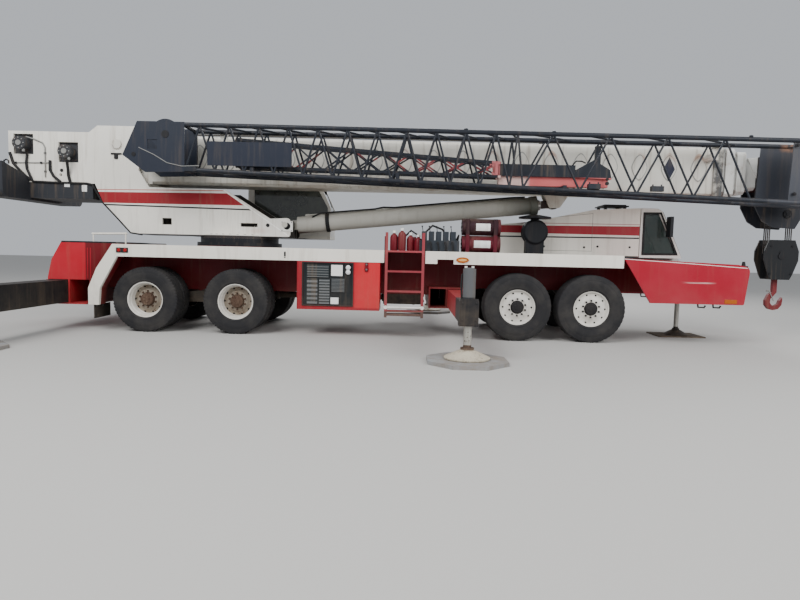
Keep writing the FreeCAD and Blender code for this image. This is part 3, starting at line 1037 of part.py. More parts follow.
def build_counterweight():
    """Cast counterweight: a slab under the tail with a cheek up each side."""
    wide, slot = s.counterweight_half_width, s.plate_y + 10
    low, top, step = s.counterweight_bottom_z, s.counterweight_top_z, s.tail_bottom_z - s.seat_gap
    outline = [(-wide, low), (wide, low), (wide, top), (slot, top - s.counterweight_fall),
               (slot, step), (-slot, step), (-slot, top - s.counterweight_fall), (-wide, top)]
    front = s.counterweight_x + s.counterweight_length
    block = plate("counterweight_block", "YZ", outline, s.counterweight_x, front,
                  [((0, 1), s.counterweight_corner)])
    tray = box("counterweight_tray", (front - 20, s.plate_corner_x - 40), (-s.plate_y, s.plate_y),
               (s.tray_bottom_z, step))
    return fuse("counterweight_fused", [block, tray])


def op_cab_outline(inset):
    return [(s.op_cab_rear_x + inset, s.op_cab_floor_z + inset),
            (s.op_cab_front_x - inset, s.op_cab_floor_z + inset),
            (s.op_cab_front_x - inset, s.op_cab_waist_z), (s.op_cab_brow_x - inset, s.op_cab_brow_z - inset),
            (s.op_cab_brow_x - 100 - inset, s.op_cab_roof_z - inset),
            (s.op_cab_rear_x + inset, s.op_cab_roof_z - inset)]


def build_op_cab():
    """Operator's cab: a hollow shell with large openings for glass and the sliding door."""
    wall = s.op_cab_wall
    shell = plate("op_shell", "XZ", op_cab_outline(0), s.op_cab_right_y, s.op_cab_left_y)
    room = plate("op_room", "XZ", op_cab_outline(wall), s.op_cab_right_y + wall, s.op_cab_left_y - wall)
    right_window = plate("op_right_window", "XZ", op_right_outline(0), s.op_cab_right_y - 10,
                         s.op_cab_right_y + wall + 10)
    front = box("op_front_window", (s.op_cab_brow_x - 60, s.op_cab_front_x + 10),
                (s.op_cab_right_y + wall + 20, s.op_cab_left_y - wall - 20),
                (s.op_cab_floor_z + 300, s.op_cab_brow_z - 60))
    rear = box("op_rear_window", (s.op_cab_rear_x - 10, s.op_cab_rear_x + wall + 10),
               (s.op_cab_right_y + 130, s.op_cab_left_y - 130), (s.op_cab_floor_z + 700, s.op_cab_roof_z - 160))
    opening = box("op_door_opening", (s.op_door_rear_x + 40, s.op_door_front_x - 40),
                  (s.op_cab_left_y - wall - 10, s.op_cab_left_y + 10),
                  (s.op_cab_floor_z + 60, s.op_cab_roof_z - 140))
    hollow = cut("op_cab_cut", shell, [room, right_window, front, rear, opening])
    rails = []
    for word, z in (("top", s.op_cab_roof_z - 90 + s.seat_gap), ("bottom", s.op_cab_floor_z + 20 - s.seat_gap - 20)):
        rails.append(box("op_rail_" + word, (s.op_cab_rear_x + 10, s.op_door_front_x + 30),
                         (s.op_cab_left_y - 10, s.op_cab_left_y + s.op_door_gap + s.op_door_thickness),
                         (z, z + 20)))
    inset = s.seat_gap
    slope = (s.op_cab_brow_x - s.op_cab_front_x) / (s.op_cab_brow_z - s.op_cab_waist_z)
    high = s.op_cab_brow_z - 60 - inset
    high_x = s.op_cab_front_x + slope * (high - s.op_cab_waist_z)
    low = s.op_cab_floor_z + 300 + inset
    panes = [plate("op_screen_pane", "XZ", [(s.op_cab_front_x - 12, low), (s.op_cab_front_x - 12, s.op_cab_waist_z),
                                            (high_x - 12, high), (high_x - 22, high),
                                            (s.op_cab_front_x - 22, s.op_cab_waist_z), (s.op_cab_front_x - 22, low)],
                   s.op_cab_right_y + wall + 20 + inset, s.op_cab_left_y - wall - 20 - inset)]
    panes.append(plate("op_right_pane", "XZ", op_right_outline(inset), s.op_cab_right_y + 14, s.op_cab_right_y + 22))
    panes.append(box("op_rear_pane", (s.op_cab_rear_x + 14, s.op_cab_rear_x + 22),
                     (s.op_cab_right_y + 130 + inset, s.op_cab_left_y - 130 - inset),
                     (s.op_cab_floor_z + 700 + inset, s.op_cab_roof_z - 160 - inset)))
    return fuse("op_cab_railed", [hollow] + rails), group("op_panes", panes)


def op_right_outline(inset):
    """Outline of the window on the boom's side of the operator's cab."""
    front = s.op_cab_front_x - s.op_cab_wall - s.op_pillar - inset
    return [(s.op_cab_rear_x + 120 + inset, s.op_cab_floor_z + s.op_sill + inset),
            (front, s.op_cab_floor_z + s.op_sill + inset),
            (front, s.op_cab_waist_z), (s.op_cab_brow_x - 90 - inset, s.op_cab_brow_z - 80 - inset),
            (s.op_cab_rear_x + 120 + inset, s.op_cab_brow_z - 80 - inset)]


def build_op_door():
    low = s.op_cab_left_y + s.op_door_gap
    x = (s.op_door_rear_x, s.op_door_front_x)
    z = (s.op_cab_floor_z + 20, s.op_cab_roof_z - 90)
    leaf = box("op_door_leaf", x, (low, low + s.op_door_thickness), z)
    window = box("op_door_window", (x[0] + 60, x[1] - 60), (low - 5, low + s.op_door_thickness + 5),
                 (z[0] + 520, z[1] - 60))
    middle = low + s.op_door_thickness / 2
    pane = box("op_door_pane", (x[0] + 60, x[1] - 60), (middle - 3, middle + 3), (z[0] + 520, z[1] - 60))
    return fuse("op_door_fused", [cut("op_door_frame", leaf, [window]), pane])


def section_outline(number, grow=0):
    """Cross section of one boom section, each inside the last by the section step."""
    inset = s.section_step * number - grow
    half = s.boom_half_width - inset
    low, high = s.boom_bottom_z + inset, boom_top_z - inset
    corner = s.boom_chamfer * 0.7
    return [(-half + corner, low), (half - corner, low), (half, low + corner), (half, high - corner),
            (half - corner, high), (-half + corner, high), (-half, high - corner), (-half, low + corner)]


def wear_pads(number, rear, front):
    """Pads that carry the next section at this one's mouth and this one at its rear end."""
    pads = []
    step = s.section_step * number
    if number < 3:
        inner = s.boom_half_width - step - s.section_step
        pads.append(box("section_%d_mouth_pad" % number, (front - s.wear_pad, front - 10),
                        (-inner + 110, inner - 110),
                        (s.boom_bottom_z + step + s.boom_wall - 3,
                         s.boom_bottom_z + step + s.section_step - s.seat_gap)))
    if number:
        half = s.boom_half_width - step
        pads.append(box("section_%d_tail_pad" % number, (rear + 20, rear + 20 + s.wear_pad),
                        (-half + 110, half - 110),
                        (boom_top_z - step - 3,
                         boom_top_z - step + s.section_step - s.boom_wall - s.seat_gap)))
    return pads


def build_section(number, rear, front):
    """One telescoping section: a chamfered box tube with a collar at its front end."""
    name = "section_%d" % number
    tube = plate(name + "_tube", "YZ", section_outline(number), rear, front)
    collar = plate(name + "_collar", "YZ", section_outline(number, s.collar_proud),
                   front - s.collar_length, front)
    room = plate(name + "_room", "YZ", section_outline(number, -1 * s.boom_wall), rear - 10, front + 10)
    return tube, collar, room


def build_boom_base():
    """Base section with the foot, the foot pin, the rod's clevis and embossed side plates."""
    tube, collar, room = build_section(0, s.boom_tube_x, s.boom_collar_x + s.collar_length)
    half = s.boom_half_width
    foot = [(s.boom_tube_x + 5, s.boom_bottom_z), (s.boom_tube_x + 5, boom_top_z),
            (s.boom_pivot_x - 60, boom_top_z), (s.boom_pivot_x - 190, s.boom_pivot_z + 90),
            (s.boom_pivot_x - 190, s.boom_pivot_z - 90), (s.boom_pivot_x + 60, s.boom_pivot_z - 330),
            (s.boom_tube_x - 120, s.boom_bottom_z)]
    pieces = []
    for side, word in ((1, "left"), (-1, "right")):
        low, high = span(half - 60, half, side)
        pieces.append(plate("boom_foot_" + word, "XZ", foot, low, high))
    pieces.append(cylinder("boom_foot_tube", "Y", (s.boom_pivot_x, -half, s.boom_pivot_z), 105, half * 2))
    pieces.append(cylinder("boom_pin", "Y", (s.boom_pivot_x, -s.plate_y - 25, s.boom_pivot_z),
                           s.boom_pin_radius, s.plate_y * 2 + 50))
    for side, word in ((1, "left"), (-1, "right")):
        low, high = span(s.plate_y + 8, s.plate_y + 28, side)
        pieces.append(cylinder("boom_pin_head_" + word, "Y", (s.boom_pivot_x, low, s.boom_pivot_z),
                               s.boom_pin_radius + 22, high - low))
        low, high = span(s.eye_width / 2 + s.clevis_gap, s.eye_width / 2 + s.clevis_gap + s.clevis_plate, side)
        ear = [(s.rod_eye_x - 210, s.boom_bottom_z + 5), (s.rod_eye_x - 95, s.rod_eye_z - 80),
               (s.rod_eye_x + 95, s.rod_eye_z - 80), (s.rod_eye_x + 260, s.boom_bottom_z + 5)]
        pieces.append(plate("clevis_" + word, "XZ", ear, low, high, [((1, 2), as_size(60))]))
        low, high = span(half - 2, half + s.emboss_depth, side)
        for number in range(int(s.emboss_count.number)):
            x = s.emboss_front_x - number * s.emboss_pitch
            middle = (s.boom_bottom_z + boom_top_z) / 2 + s.emboss_rise
            lozenge = [(x + s.emboss_width * across / 2, middle + s.emboss_height * up / 2) for across, up in
                       ((-1, -0.14), (-0.24, -1), (0.24, -1), (1, -0.14), (1, 0.14), (0.24, 1), (-0.24, 1),
                        (-1, 0.14))]
            pieces.append(plate("boss_%s_%d" % (word, number), "XZ", lozenge, low, high))
    slope = (s.jib_root_top_z - s.jib_tip_top_z) / (s.jib_root_x - s.jib_tip_x)
    for number, x in enumerate((s.jib_bracket_rear_x, s.jib_bracket_front_x)):
        front = x + s.jib_bracket_width
        chord_z = s.jib_tip_top_z + slope * ((x + front) / 2 - s.jib_tip_x)
        reach = s.jib_far_y + s.chord_radius + s.seat_gap
        pieces.append(box("jib_arm_%d" % number, (x, front), (reach, -half + 5),
                          (boom_top_z - 260, boom_top_z - 150)))
        post = [(reach, boom_top_z - 205), (reach + 50, boom_top_z - 205), (reach + 50, chord_z + 40),
                (reach, chord_z + 40)]
        pieces.append(plate("jib_post_%d" % number, "YZ", post, x, front))
    pieces += wear_pads(0, s.boom_tube_x, s.boom_collar_x + s.collar_length)
    return fuse("boom_base_fused", [cut("boom_base_tube", fuse("boom_base_body", [tube, collar]), [room])] + pieces)


def build_boom_section(number):
    rear = s.boom_tube_x + s.section_inset_x * number
    front = s.boom_collar_x + s.collar_length + s.section_reach * number
    tube, collar, room = build_section(number, rear, front)
    section = cut("section_%d_cut" % number, fuse("section_%d_body" % number, [tube, collar]), [room])
    return fuse("section_%d" % number, [section] + wear_pads(number, rear, front))


def build_boom_tip():
    """Tip section with the boom head: two plates that carry the lower and upper sheaves."""
    rear = s.boom_tube_x + s.section_inset_x * 3
    tube, collar, room = build_section(3, rear, s.head_waist_x + 200)
    head = [(s.head_waist_x, s.head_waist_z), (s.head_waist_x, s.head_chin_z),
            (s.head_waist_x + 145, s.head_bottom_z + 130), (s.head_sheave_x - 260, s.head_bottom_z + 20),
            (s.head_sheave_x + 150, s.head_bottom_z),
            (s.head_front_x, s.head_sheave_z - 40), (s.head_front_x, s.top_sheave_z + 130),
            (s.top_sheave_x, boom_top_z - 60), (s.head_rear_x, boom_top_z - 160)]
    pieces = []
    for side, word in ((1, "left"), (-1, "right")):
        low, high = span(s.head_plate_y - s.head_plate, s.head_plate_y, side)
        pieces.append(plate("head_plate_" + word, "XZ", head, low, high, [((5, 6), as_size(90))]))
    for word, x, z in (("lower", s.head_sheave_x, s.head_sheave_z), ("upper", s.top_sheave_x, s.top_sheave_z)):
        pieces.append(cylinder(word + "_sheave_pin", "Y", (x, -s.head_plate_y - 20, z), s.sheave_pin_radius,
                               s.head_plate_y * 2 + 40))
    for number in range(4):
        y = (number - 1.5) * s.sheave_pitch
        pieces.append(move(sheave("head_sheave_%d" % number, s.sheave_radius), s.head_sheave_x, y, s.head_sheave_z))
    for number in range(2):
        y = (number * 2 - 1) * s.sheave_pitch
        pieces.append(move(sheave("top_sheave_%d" % number, s.sheave_radius * 0.8), s.top_sheave_x, y,
                           s.top_sheave_z))
    pieces += wear_pads(3, rear, s.head_rear_x)
    return fuse("boom_tip_fused", [cut("section_3_cut", tube, [room])] + pieces)


def sheave(name, radius):
    """Grooved rope wheel about Y."""
    half = s.sheave_width / 2
    floor = s.rope_radius + s.pin_gap
    return turned(name, [(-half, 0), (-half, radius), (-1 * floor, radius - s.groove_depth),
                         (floor, radius - s.groove_depth), (half, radius), (half, 0)])


def lift_angle():
    """Slope of the lift cylinder at rest."""
    run = s.rod_eye_x.number - s.cylinder_x.number
    rise = s.rod_eye_z.number - s.cylinder_z.number
    return math.degrees(math.atan2(rise, run)), math.hypot(run, rise)


def lean(item):
    """Turn a piece that was drawn along X from the cylinder's pin to the cylinder's slope."""
    angle, length = lift_angle()
    run, rise = s.rod_eye_x - s.cylinder_x, s.rod_eye_z - s.cylinder_z
    move(item, s.cylinder_x, 0, s.cylinder_z)
    item.Placement.Rotation = FreeCAD.Rotation(FreeCAD.Vector(0, 1, 0), -angle)
    item.setExpression(".Placement.Rotation.Angle", "atan2(%s; %s)" % (rise.formula, run.formula))
    item.Placement.Rotation.Axis = FreeCAD.Vector(0, -1, 0)
    return item


def build_lift_cylinder():
    """Barrel with its base eye and pin, and the chromed rod with its eye."""
    length = lift_angle()[1]
    barrel_end, rod_start = length - s.rod_showing, 450
    barrel = cylinder("barrel_tube", "X", (155, 0, 0), s.barrel_radius, barrel_end - 155)
    gland = cylinder("barrel_gland", "X", (barrel_end - s.gland_length, 0, 0), s.gland_radius, s.gland_length)
    base_eye = cylinder("barrel_eye", "Y", (0, -s.eye_width / 2, 0), s.eye_radius, s.eye_width)
    neck = box("barrel_neck", (0, 170), (-s.eye_width / 2, s.eye_width / 2), (-80, 80))
    pin = cylinder("barrel_pin", "Y", (0, -s.plate_y - 15, 0), s.lift_pin_radius, s.plate_y * 2 + 30)
    bore = cylinder("barrel_bore", "X", (220, 0, 0), s.barrel_bore_radius, barrel_end - 220 - s.gland_length)
    seal = cylinder("barrel_seal", "X", (barrel_end - s.gland_length - 10, 0, 0), s.rod_radius + s.pin_gap,
                    s.gland_length + 20)
    pipe_length = barrel_end - 500
    pipe = cylinder("barrel_pipe", "X", (300, 0, s.barrel_radius + 14), 16, pipe_length)
    clamps = []
    for number in range(4):
        x = pipe_length * number / 3.15 + 320
        clamps.append(box("pipe_clamp_%d" % number, (x, x + 50), (-22, 22),
                          (s.barrel_radius - 8, s.barrel_radius + 34)))
    barrel_set = cut("barrel_cut", fuse("barrel_fused", [barrel, gland, base_eye, neck, pin, pipe] + clamps),
                     [bore, seal])
    rod = cylinder("rod_bar", "X", (rod_start, 0, 0), s.rod_radius, length - rod_start - s.rod_neck)
    eye = cylinder("rod_eye", "Y", (length, -s.eye_width / 2, 0), s.eye_radius - 5, s.eye_width)
    neck = box("rod_neck", (length - s.rod_neck - 20, length), (-s.eye_width / 2, s.eye_width / 2), (-70, 70))
    rod_set = fuse("rod_fused", [rod, eye, neck])
    return lean(group("lift_barrel_group", [barrel_set])), lean(group("lift_rod_group", [rod_set]))


def build_hook_block():
    """Two cheeks round the sheaves, with the hook below and the rope falls above."""
    x, half = s.head_sheave_x, s.block_half_length
    top, bottom = s.block_top_z, s.block_bottom_z
    outline = [(x - half * 0.55, bottom), (x + half * 0.55, bottom), (x + half * 0.7, bottom + 90),
               (x + half, bottom + 350), (x + half, top - 200), (x + half * 0.75, top),
               (x - half * 0.75, top), (x - half, top - 200), (x - half, bottom + 350),
               (x - half * 0.7, bottom + 90)]
    pieces = []
    for side, word in ((1, "left"), (-1, "right")):
        low, high = span(s.block_half_width - s.block_cheek, s.block_half_width, side)
        pieces.append(plate("block_cheek_" + word, "XZ", outline, low, high))
    middle = bottom + 470
    for number in range(4):
        y = (number - 1.5) * s.sheave_pitch
        pieces.append(move(sheave("block_sheave_%d" % number, s.sheave_radius), x, y, middle))
    pieces.append(cylinder("block_pin", "Y", (x, -s.block_half_width - 15, middle), s.sheave_pin_radius,
                           s.block_half_width * 2 + 30))
    pieces.append(box("block_head", (x - 130, x + 130), (-s.block_half_width, s.block_half_width),
                      (bottom, bottom + 150)))
    foot = s.hook_bottom_z
    bow = [(-s.hook_neck, bottom + 10 - foot), (-s.hook_neck, 340), (-110, 280), (-s.hook_reach, 180),
           (-150, 90), (-90, 20), (0, 0), (90, 25), (145, 100), (s.hook_reach, 180), (150, 240), (105, 180),
           (85, 120), (30, 85), (-30, 85), (-70, 140), (-65, 210), (-10, 270), (s.hook_neck, 330),
           (s.hook_neck, bottom + 10 - foot)]
    pieces.append(plate("hook", "XZ", [(x + along, foot + up) for along, up in bow], -s.hook_half_width,
                        s.hook_half_width))
    block = fuse("hook_block_fused", pieces)
    ropes = []
    reach = s.sheave_radius - s.groove_depth + s.rope_radius + s.seat_gap
    for offset in (-1, 1):
        for number in range(4):
            y = (number - 1.5) * s.sheave_pitch
            ropes.append(cylinder("fall_%d_%d" % (offset + 1, number), "Z", (x + reach * offset, y, middle),
                                  s.rope_radius, s.head_sheave_z - middle))
    return block, ropes


def tube_between(start, end, radius):
    """A round bar from one point to another."""
    along = end - start
    return Part.makeCylinder(radius, along.Length, start, along)


def build_jib():
    """Stowed fly jib: four chords that spread towards the root, laced on all four sides."""
    value = sheet_values
    near, far = value["jib_near_y"], value["jib_far_y"]
    tip, heel = value["jib_plate_x"], value["jib_heel_x"]
    chord, lace = value["chord_radius"], value["lacing_radius"]

    def height(x, name):
        part = (x - value["jib_tip_x"]) / (value["jib_root_x"] - value["jib_tip_x"])
        low, high = value["jib_tip_%s_z" % name], value["jib_root_%s_z" % name]
        return low + (high - low) * part

    def point(x, y, name):
        return FreeCAD.Vector(x, y, height(x, name))

    bars = []
    for y in (near, far):
        for name in ("top", "bottom"):
            bars.append(tube_between(point(tip - 60, y, name), point(heel, y, name), chord))
    stops = [tip]
    while stops[-1] + value["short_bay"] < value["bay_change_x"]:
        stops.append(stops[-1] + value["short_bay"])
    stops.append(value["bay_change_x"])
    while stops[-1] + value["short_bay"] < value["root_far_x"]:
        stops.append(min(stops[-1] + value["long_bay"], value["root_far_x"]))
    for start, end in zip(stops, stops[1:]):
        middle = (start + end) / 2
        for y in (near, far):
            bars.append(tube_between(point(start, y, "bottom"), point(middle, y, "top"), lace))
            bars.append(tube_between(point(middle, y, "top"), point(end, y, "bottom"), lace))
        bars.append(tube_between(point(start, near, "bottom"), point(end, far, "bottom"), lace))
        bars.append(tube_between(point(start, near, "top"), point(end, far, "top"), lace))
    nose_top = height(tip, "top") + chord
    nose = Part.makePolygon([FreeCAD.Vector(x, near - chord, z) for x, z in
                             ((tip, nose_top), (value["jib_nose_top_x"], nose_top),
                              (value["jib_nose_x"], value["jib_nose_z"]), (value["jib_chin_x"], value["jib_chin_z"]),
                              (tip, height(tip, "bottom") - chord), (tip, nose_top))])
    solid = Part.Face(nose).extrude(FreeCAD.Vector(0, 24, 0))
    other = solid.copy()
    other.translate(FreeCAD.Vector(0, far - near + 2 * chord - 24, 0))
    hole = Part.makeBox(value["nose_hole"], 100, value["nose_hole"],
                        FreeCAD.Vector(value["nose_hole_x"], near - chord - 30, value["nose_hole_z"]))
    bars += [solid.cut(hole), other]
    bars.append(Part.makeCylinder(value["guard_radius"], value["guard_width"],
                                  FreeCAD.Vector(value["guard_x"], near - chord + 10, value["guard_z"]),
                                  FreeCAD.Vector(0, 1, 0)))
    for x in (value["ext_rear_x"] + 300, -200, value["ext_box_front_x"] - 200):
        low = height(x, "bottom")
        seat = (ext_height(x + value["cradle_width"] / 2, "low") - value["ext_chord"] / 2 if x < value["ext_front_x"]
                else value["slide_low_z"]) - value["seat_gap"]
        bars.append(Part.makeBox(value["cradle_width"], far - near, seat - low, FreeCAD.Vector(
            x - value["cradle_width"] / 2, near, low)))
    for y, root in ((near, value["root_near_x"]), (far, value["root_far_x"])):
        root_top, root_low = height(root, "top"), height(root, "bottom")
        corners = ((root, root_low), (root + 40, root_top), (heel, root_top), (heel, root_low))
        face = Part.Face(Part.makePolygon([FreeCAD.Vector(x, y - 10, z) for x, z in corners + corners[:1]]))
        bars.append(face.extrude(FreeCAD.Vector(0, 20, 0)))
    for x in (tip - 20, heel - 40):
        bars.append(tube_between(point(x, near, "bottom"), point(x, far, "bottom"), chord * 0.9))
        bars.append(tube_between(point(x, near, "top"), point(x, far, "top"), chord * 0.9))
    banner = Part.makeBox(value["banner_length"], value["banner_plate"], value["banner_height"],
                          FreeCAD.Vector(value["banner_x"], near - chord * 0.6, value["banner_z"]))
    bars.append(banner)
    lattice = bars[0].multiFuse(bars[1:])
    feature = doc.addObject("Part::Feature", "jib_lattice")
    feature.Shape = lattice.Solids[0] if len(lattice.Solids) == 1 else lattice
    return feature


def ext_height(x, name):
    """Height of the stowed extension's top or low chord at a place along it."""
    value = sheet_values
    part = (x - value["ext_rear_x"]) / (value["ext_front_x"] - value["ext_rear_x"])
    low, high = value["ext_rear_%s_z" % name], value["ext_front_%s_z" % name]
    return low + (high - low) * part


def square_bar(start, end, width):
    """A square bar from one point to another."""
    along = end - start
    bar = Part.makeBox(width, width, along.Length, FreeCAD.Vector(-width / 2, -width / 2, 0))
    bar.Placement = FreeCAD.Placement(start, FreeCAD.Rotation(FreeCAD.Vector(0, 0, 1), along)).multiply(bar.Placement)
    return bar


def build_jib_extension():
    """Extension stowed inside the jib: a slim lattice with crossed bracing on a box base and a slide."""
    value = sheet_values
    sides = (value["jib_near_y"] + value["ext_inset"], value["jib_far_y"] - value["ext_inset"])
    rear, front, bays = value["ext_rear_x"], value["ext_front_x"], int(value["ext_bays"])
    stops = [rear + (front - rear) * number / bays for number in range(bays + 1)]

    def point(x, y, name):
        return FreeCAD.Vector(x, y, ext_height(x, name))

    bars = []
    for y in sides:
        for name in ("top", "low"):
            bars.append(square_bar(point(rear, y, name), point(front + 30, y, name), value["ext_chord"]))
        for start, end in zip(stops, stops[1:]):
            bars.append(square_bar(point(start + 15, y, "low"), point(end - 15, y, "top"), value["ext_lace"]))
            bars.append(square_bar(point(start + 15, y, "top"), point(end - 15, y, "low"), value["ext_lace"]))
    for x in stops[:-1]:
        for name in ("top", "low"):
            bars.append(square_bar(point(x + 20, sides[0], name), point(x + 20, sides[1], name), value["ext_lace"]))
    for x in (rear + 20, front - 40):
        for y in sides:
            bars.append(square_bar(point(x, y, "low"), point(x, y, "top"), value["ext_lace"] * 2))
    near, far = value["jib_near_y"], value["jib_far_y"]
    inset, step = value["ext_box_inset"], value["ext_box_height"]
    box_front, base = value["ext_box_front_x"], value["ext_box_z"]
    bars.append(Part.makeBox(box_front - front, far - near - inset * 2, step,
                             FreeCAD.Vector(front, near + inset, base)))
    tip, peak = value["ext_housing_front_x"], value["ext_housing_peak_z"]
    outline = ((box_front - 10, base), (box_front - 10, base + 60), (box_front + 50, base + 145),
               ((box_front + tip) / 2, peak), (tip - 30, base + 134), (tip, base - 20), (box_front - 10, base))
    face = Part.Face(Part.makePolygon([FreeCAD.Vector(x, near + inset, z) for x, z in outline]))
    bars.append(face.extrude(FreeCAD.Vector(0, far - near - inset * 2, 0)))
    bars.append(Part.makeBox(85, 80, 385, FreeCAD.Vector((box_front + tip) / 2 + 50, (near + far) / 2 - 40,
                                                         peak - 140)))
    slide = value["slide_inset"]
    bars.append(Part.makeBox(value["slide_front_x"] - value["slide_rear_x"], far - near - slide * 2,
                             base - value["slide_low_z"], FreeCAD.Vector(
                                 value["slide_rear_x"], near + slide, value["slide_low_z"])))
    whole = bars[0].multiFuse(bars[1:])
    feature = doc.addObject("Part::Feature", "extension_lattice")
    feature.Shape = whole.Solids[0] if len(whole.Solids) == 1 else whole
    return feature


# Carrier
node("chassis_frame", build_chassis())
node("deck", build_deck())
node("front_body", build_front_body())
cab, mirrors, panes = build_carrier_cab()
node("carrier_cab", fuse("carrier_cab_fused", [cab] + mirrors))
node("carrier_cab_glass", panes)
door_frame, door_pane = build_carrier_door()
node("carrier_cab_door", fuse("carrier_door_fused", [door_frame] + door_pane))
seat_x, seat_y = s.cab_rear_x + 180, (s.cab_well_y + s.cab_left_y) / 2
node("carrier_cab_interior", build_seat("driver", seat_x, seat_y, s.cab_floor_z + s.cab_wall + s.seat_gap))
node("engine_hood", build_hood())
node("engine_block", box("engine", (s.engine_x, s.engine_x + s.engine_length),
                         (s.engine_y, s.engine_y + s.engine_width),
                         (s.deck_top_z + s.seat_gap, s.deck_top_z + s.engine_height)))
node("air_cleaner", build_cleaner())
node("deck_equipment", build_deck_equipment())
toolbox, toolbox_door = build_toolbox()
node("toolbox", toolbox)
node("toolbox_door", toolbox_door)
node("fuel_tank", build_tank())
node("ladders", group("ladder_pair", [build_ladder("right", s.ladder_rear_x, -1),
                                      build_ladder("left", s.left_ladder_rear_x, 1)]))
node("ground_pads", build_pads())
node("mud_flaps", build_flaps())
node("lamps", build_lamps())
node("drive_axles", build_drive_axles())
node("steer_axles", build_steer_axles())

# Wheels: name, axle place, tyre radius, tyre width, dish of the disc, twin tyres
AXLES = [
    ("drive_1", s.drive_bogie_x - s.drive_spread / 2, s.drive_tyre_radius, s.drive_tyre_width,
     s.drive_rim_dish, True),
    ("drive_2", s.drive_bogie_x + s.drive_spread / 2, s.drive_tyre_radius, s.drive_tyre_width,
     s.drive_rim_dish, True),
    ("steer_1", s.steer_bogie_x - s.steer_spread / 2, s.steer_tyre_radius, s.steer_tyre_width,
     s.steer_rim_dish, False),
    ("steer_2", s.steer_bogie_x + s.steer_spread / 2, s.steer_tyre_radius, s.steer_tyre_width,
     s.steer_rim_dish, False),
]
for axle, x, radius, width, dish, dual in AXLES:
    for side, word in ((-1, "right"), (1, "left")):
        node("wheel_%s_%s" % (axle, word),
             build_wheel("wheel_%s_%s_set" % (axle, word), x, side, radius, width, dish, dual))
        if not dual:
            knuckle = "knuckle_%s_%s" % (axle, word)
            node(knuckle, build_knuckle(knuckle + "_forging", x, side))

# Outriggers
for name, middle, side, low, height, width in BEAMS:
    node("outrigger_beam_" + name, build_beam(name, middle, side, low, height, width))
    node("outrigger_jack_" + name, build_jack(name, middle, side))
node("front_jack", build_front_jack())

# Upper works
upper, motors = build_upper_frame()
node("upper_frame", upper)
node("winch_motors", motors)
node("main_winch_drum", build_winch("main", s.main_winch_x, s.main_winch_z))
node("aux_winch_drum", build_winch("aux", s.aux_winch_x, s.aux_winch_z))
node("counterweight", build_counterweight())
op_cab, op_panes = build_op_cab()
node("operator_cab", op_cab)
node("operator_cab_glass", op_panes)
node("operator_cab_door", build_op_door())
node("operator_cab_interior", build_seat("operator", s.op_cab_rear_x + 330,
                                         (s.op_cab_right_y + s.op_cab_left_y) / 2,
                                         s.op_cab_floor_z + s.op_cab_wall + s.seat_gap))
node("boom_base", build_boom_base())
node("boom_section_1", build_boom_section(1))
node("boom_section_2", build_boom_section(2))
node("boom_tip", build_boom_tip())
barrel, rod = build_lift_cylinder()
node("lift_cylinder_barrel", barrel)
node("lift_cylinder_rod", rod)
block, falls = build_hook_block()
node("hook_block", block)
node("hoist_ropes", group("hoist_rope_falls", falls))
node("fly_jib", build_jib())
node("jib_extension", build_jib_extension())

doc.recompute()
faults = [item.Name for item in doc.Objects if {"Invalid", "Error"} & set(item.State)]
for label, item in nodes.items():
    if item.Shape.isNull() or not item.Shape.isValid() or not item.Shape.Solids:
        faults.append(label)
if faults:
    raise RuntimeError("These pieces did not build: " + ", ".join(faults))
for label, item in nodes.items():
    item.Shape.exportStep("parts/%s.step" % label)
print("%d nodes" % len(nodes))
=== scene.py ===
"""Looks of a four-axle truck crane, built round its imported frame. Metres, +X forward, +Y left, +Z up."""
import math

import bmesh
import bpy
from mathutils import Matrix, Vector


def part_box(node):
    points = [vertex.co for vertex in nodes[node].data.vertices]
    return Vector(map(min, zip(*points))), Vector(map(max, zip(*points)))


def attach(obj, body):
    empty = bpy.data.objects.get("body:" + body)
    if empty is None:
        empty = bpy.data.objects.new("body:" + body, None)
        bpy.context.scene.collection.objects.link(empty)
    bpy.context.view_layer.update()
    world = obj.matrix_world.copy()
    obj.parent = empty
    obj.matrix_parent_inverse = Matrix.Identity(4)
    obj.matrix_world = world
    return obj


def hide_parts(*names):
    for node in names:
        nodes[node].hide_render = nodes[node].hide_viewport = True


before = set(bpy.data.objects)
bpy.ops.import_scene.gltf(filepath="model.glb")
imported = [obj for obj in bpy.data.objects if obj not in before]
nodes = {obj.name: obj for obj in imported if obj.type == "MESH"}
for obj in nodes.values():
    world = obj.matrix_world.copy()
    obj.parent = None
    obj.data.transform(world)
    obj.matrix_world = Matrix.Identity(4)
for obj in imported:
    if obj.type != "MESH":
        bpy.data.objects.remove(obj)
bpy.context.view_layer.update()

# Camera, light and floor. The camera looks at the right side from a little over eleven metres off, at
# eye height. Broad soft lamps and a pale world light it evenly over a plain floor.
EYE = Vector((-0.008, -11.176, 1.429))
YAW, PITCH, ROLL = math.radians(-0.58), math.radians(-4.56), math.radians(1.35)
camera = bpy.data.objects.new("camera", bpy.data.cameras.new("camera"))
bpy.context.scene.collection.objects.link(camera)
camera.data.sensor_width = 36.0
camera.data.lens = 27.0
camera.data.clip_end = 200.0
forward = Vector((math.sin(YAW) * math.cos(PITCH), math.cos(YAW) * math.cos(PITCH), math.sin(PITCH)))
level = Vector((math.cos(YAW), -math.sin(YAW), 0))
upright = level.cross(forward)
across = level * math.cos(ROLL) + upright * math.sin(ROLL)
up = upright * math.cos(ROLL) - level * math.sin(ROLL)
camera.matrix_world = Matrix.Translation(EYE) @ Matrix((across, up, -forward)).transposed().to_4x4()
bpy.context.scene.camera = camera

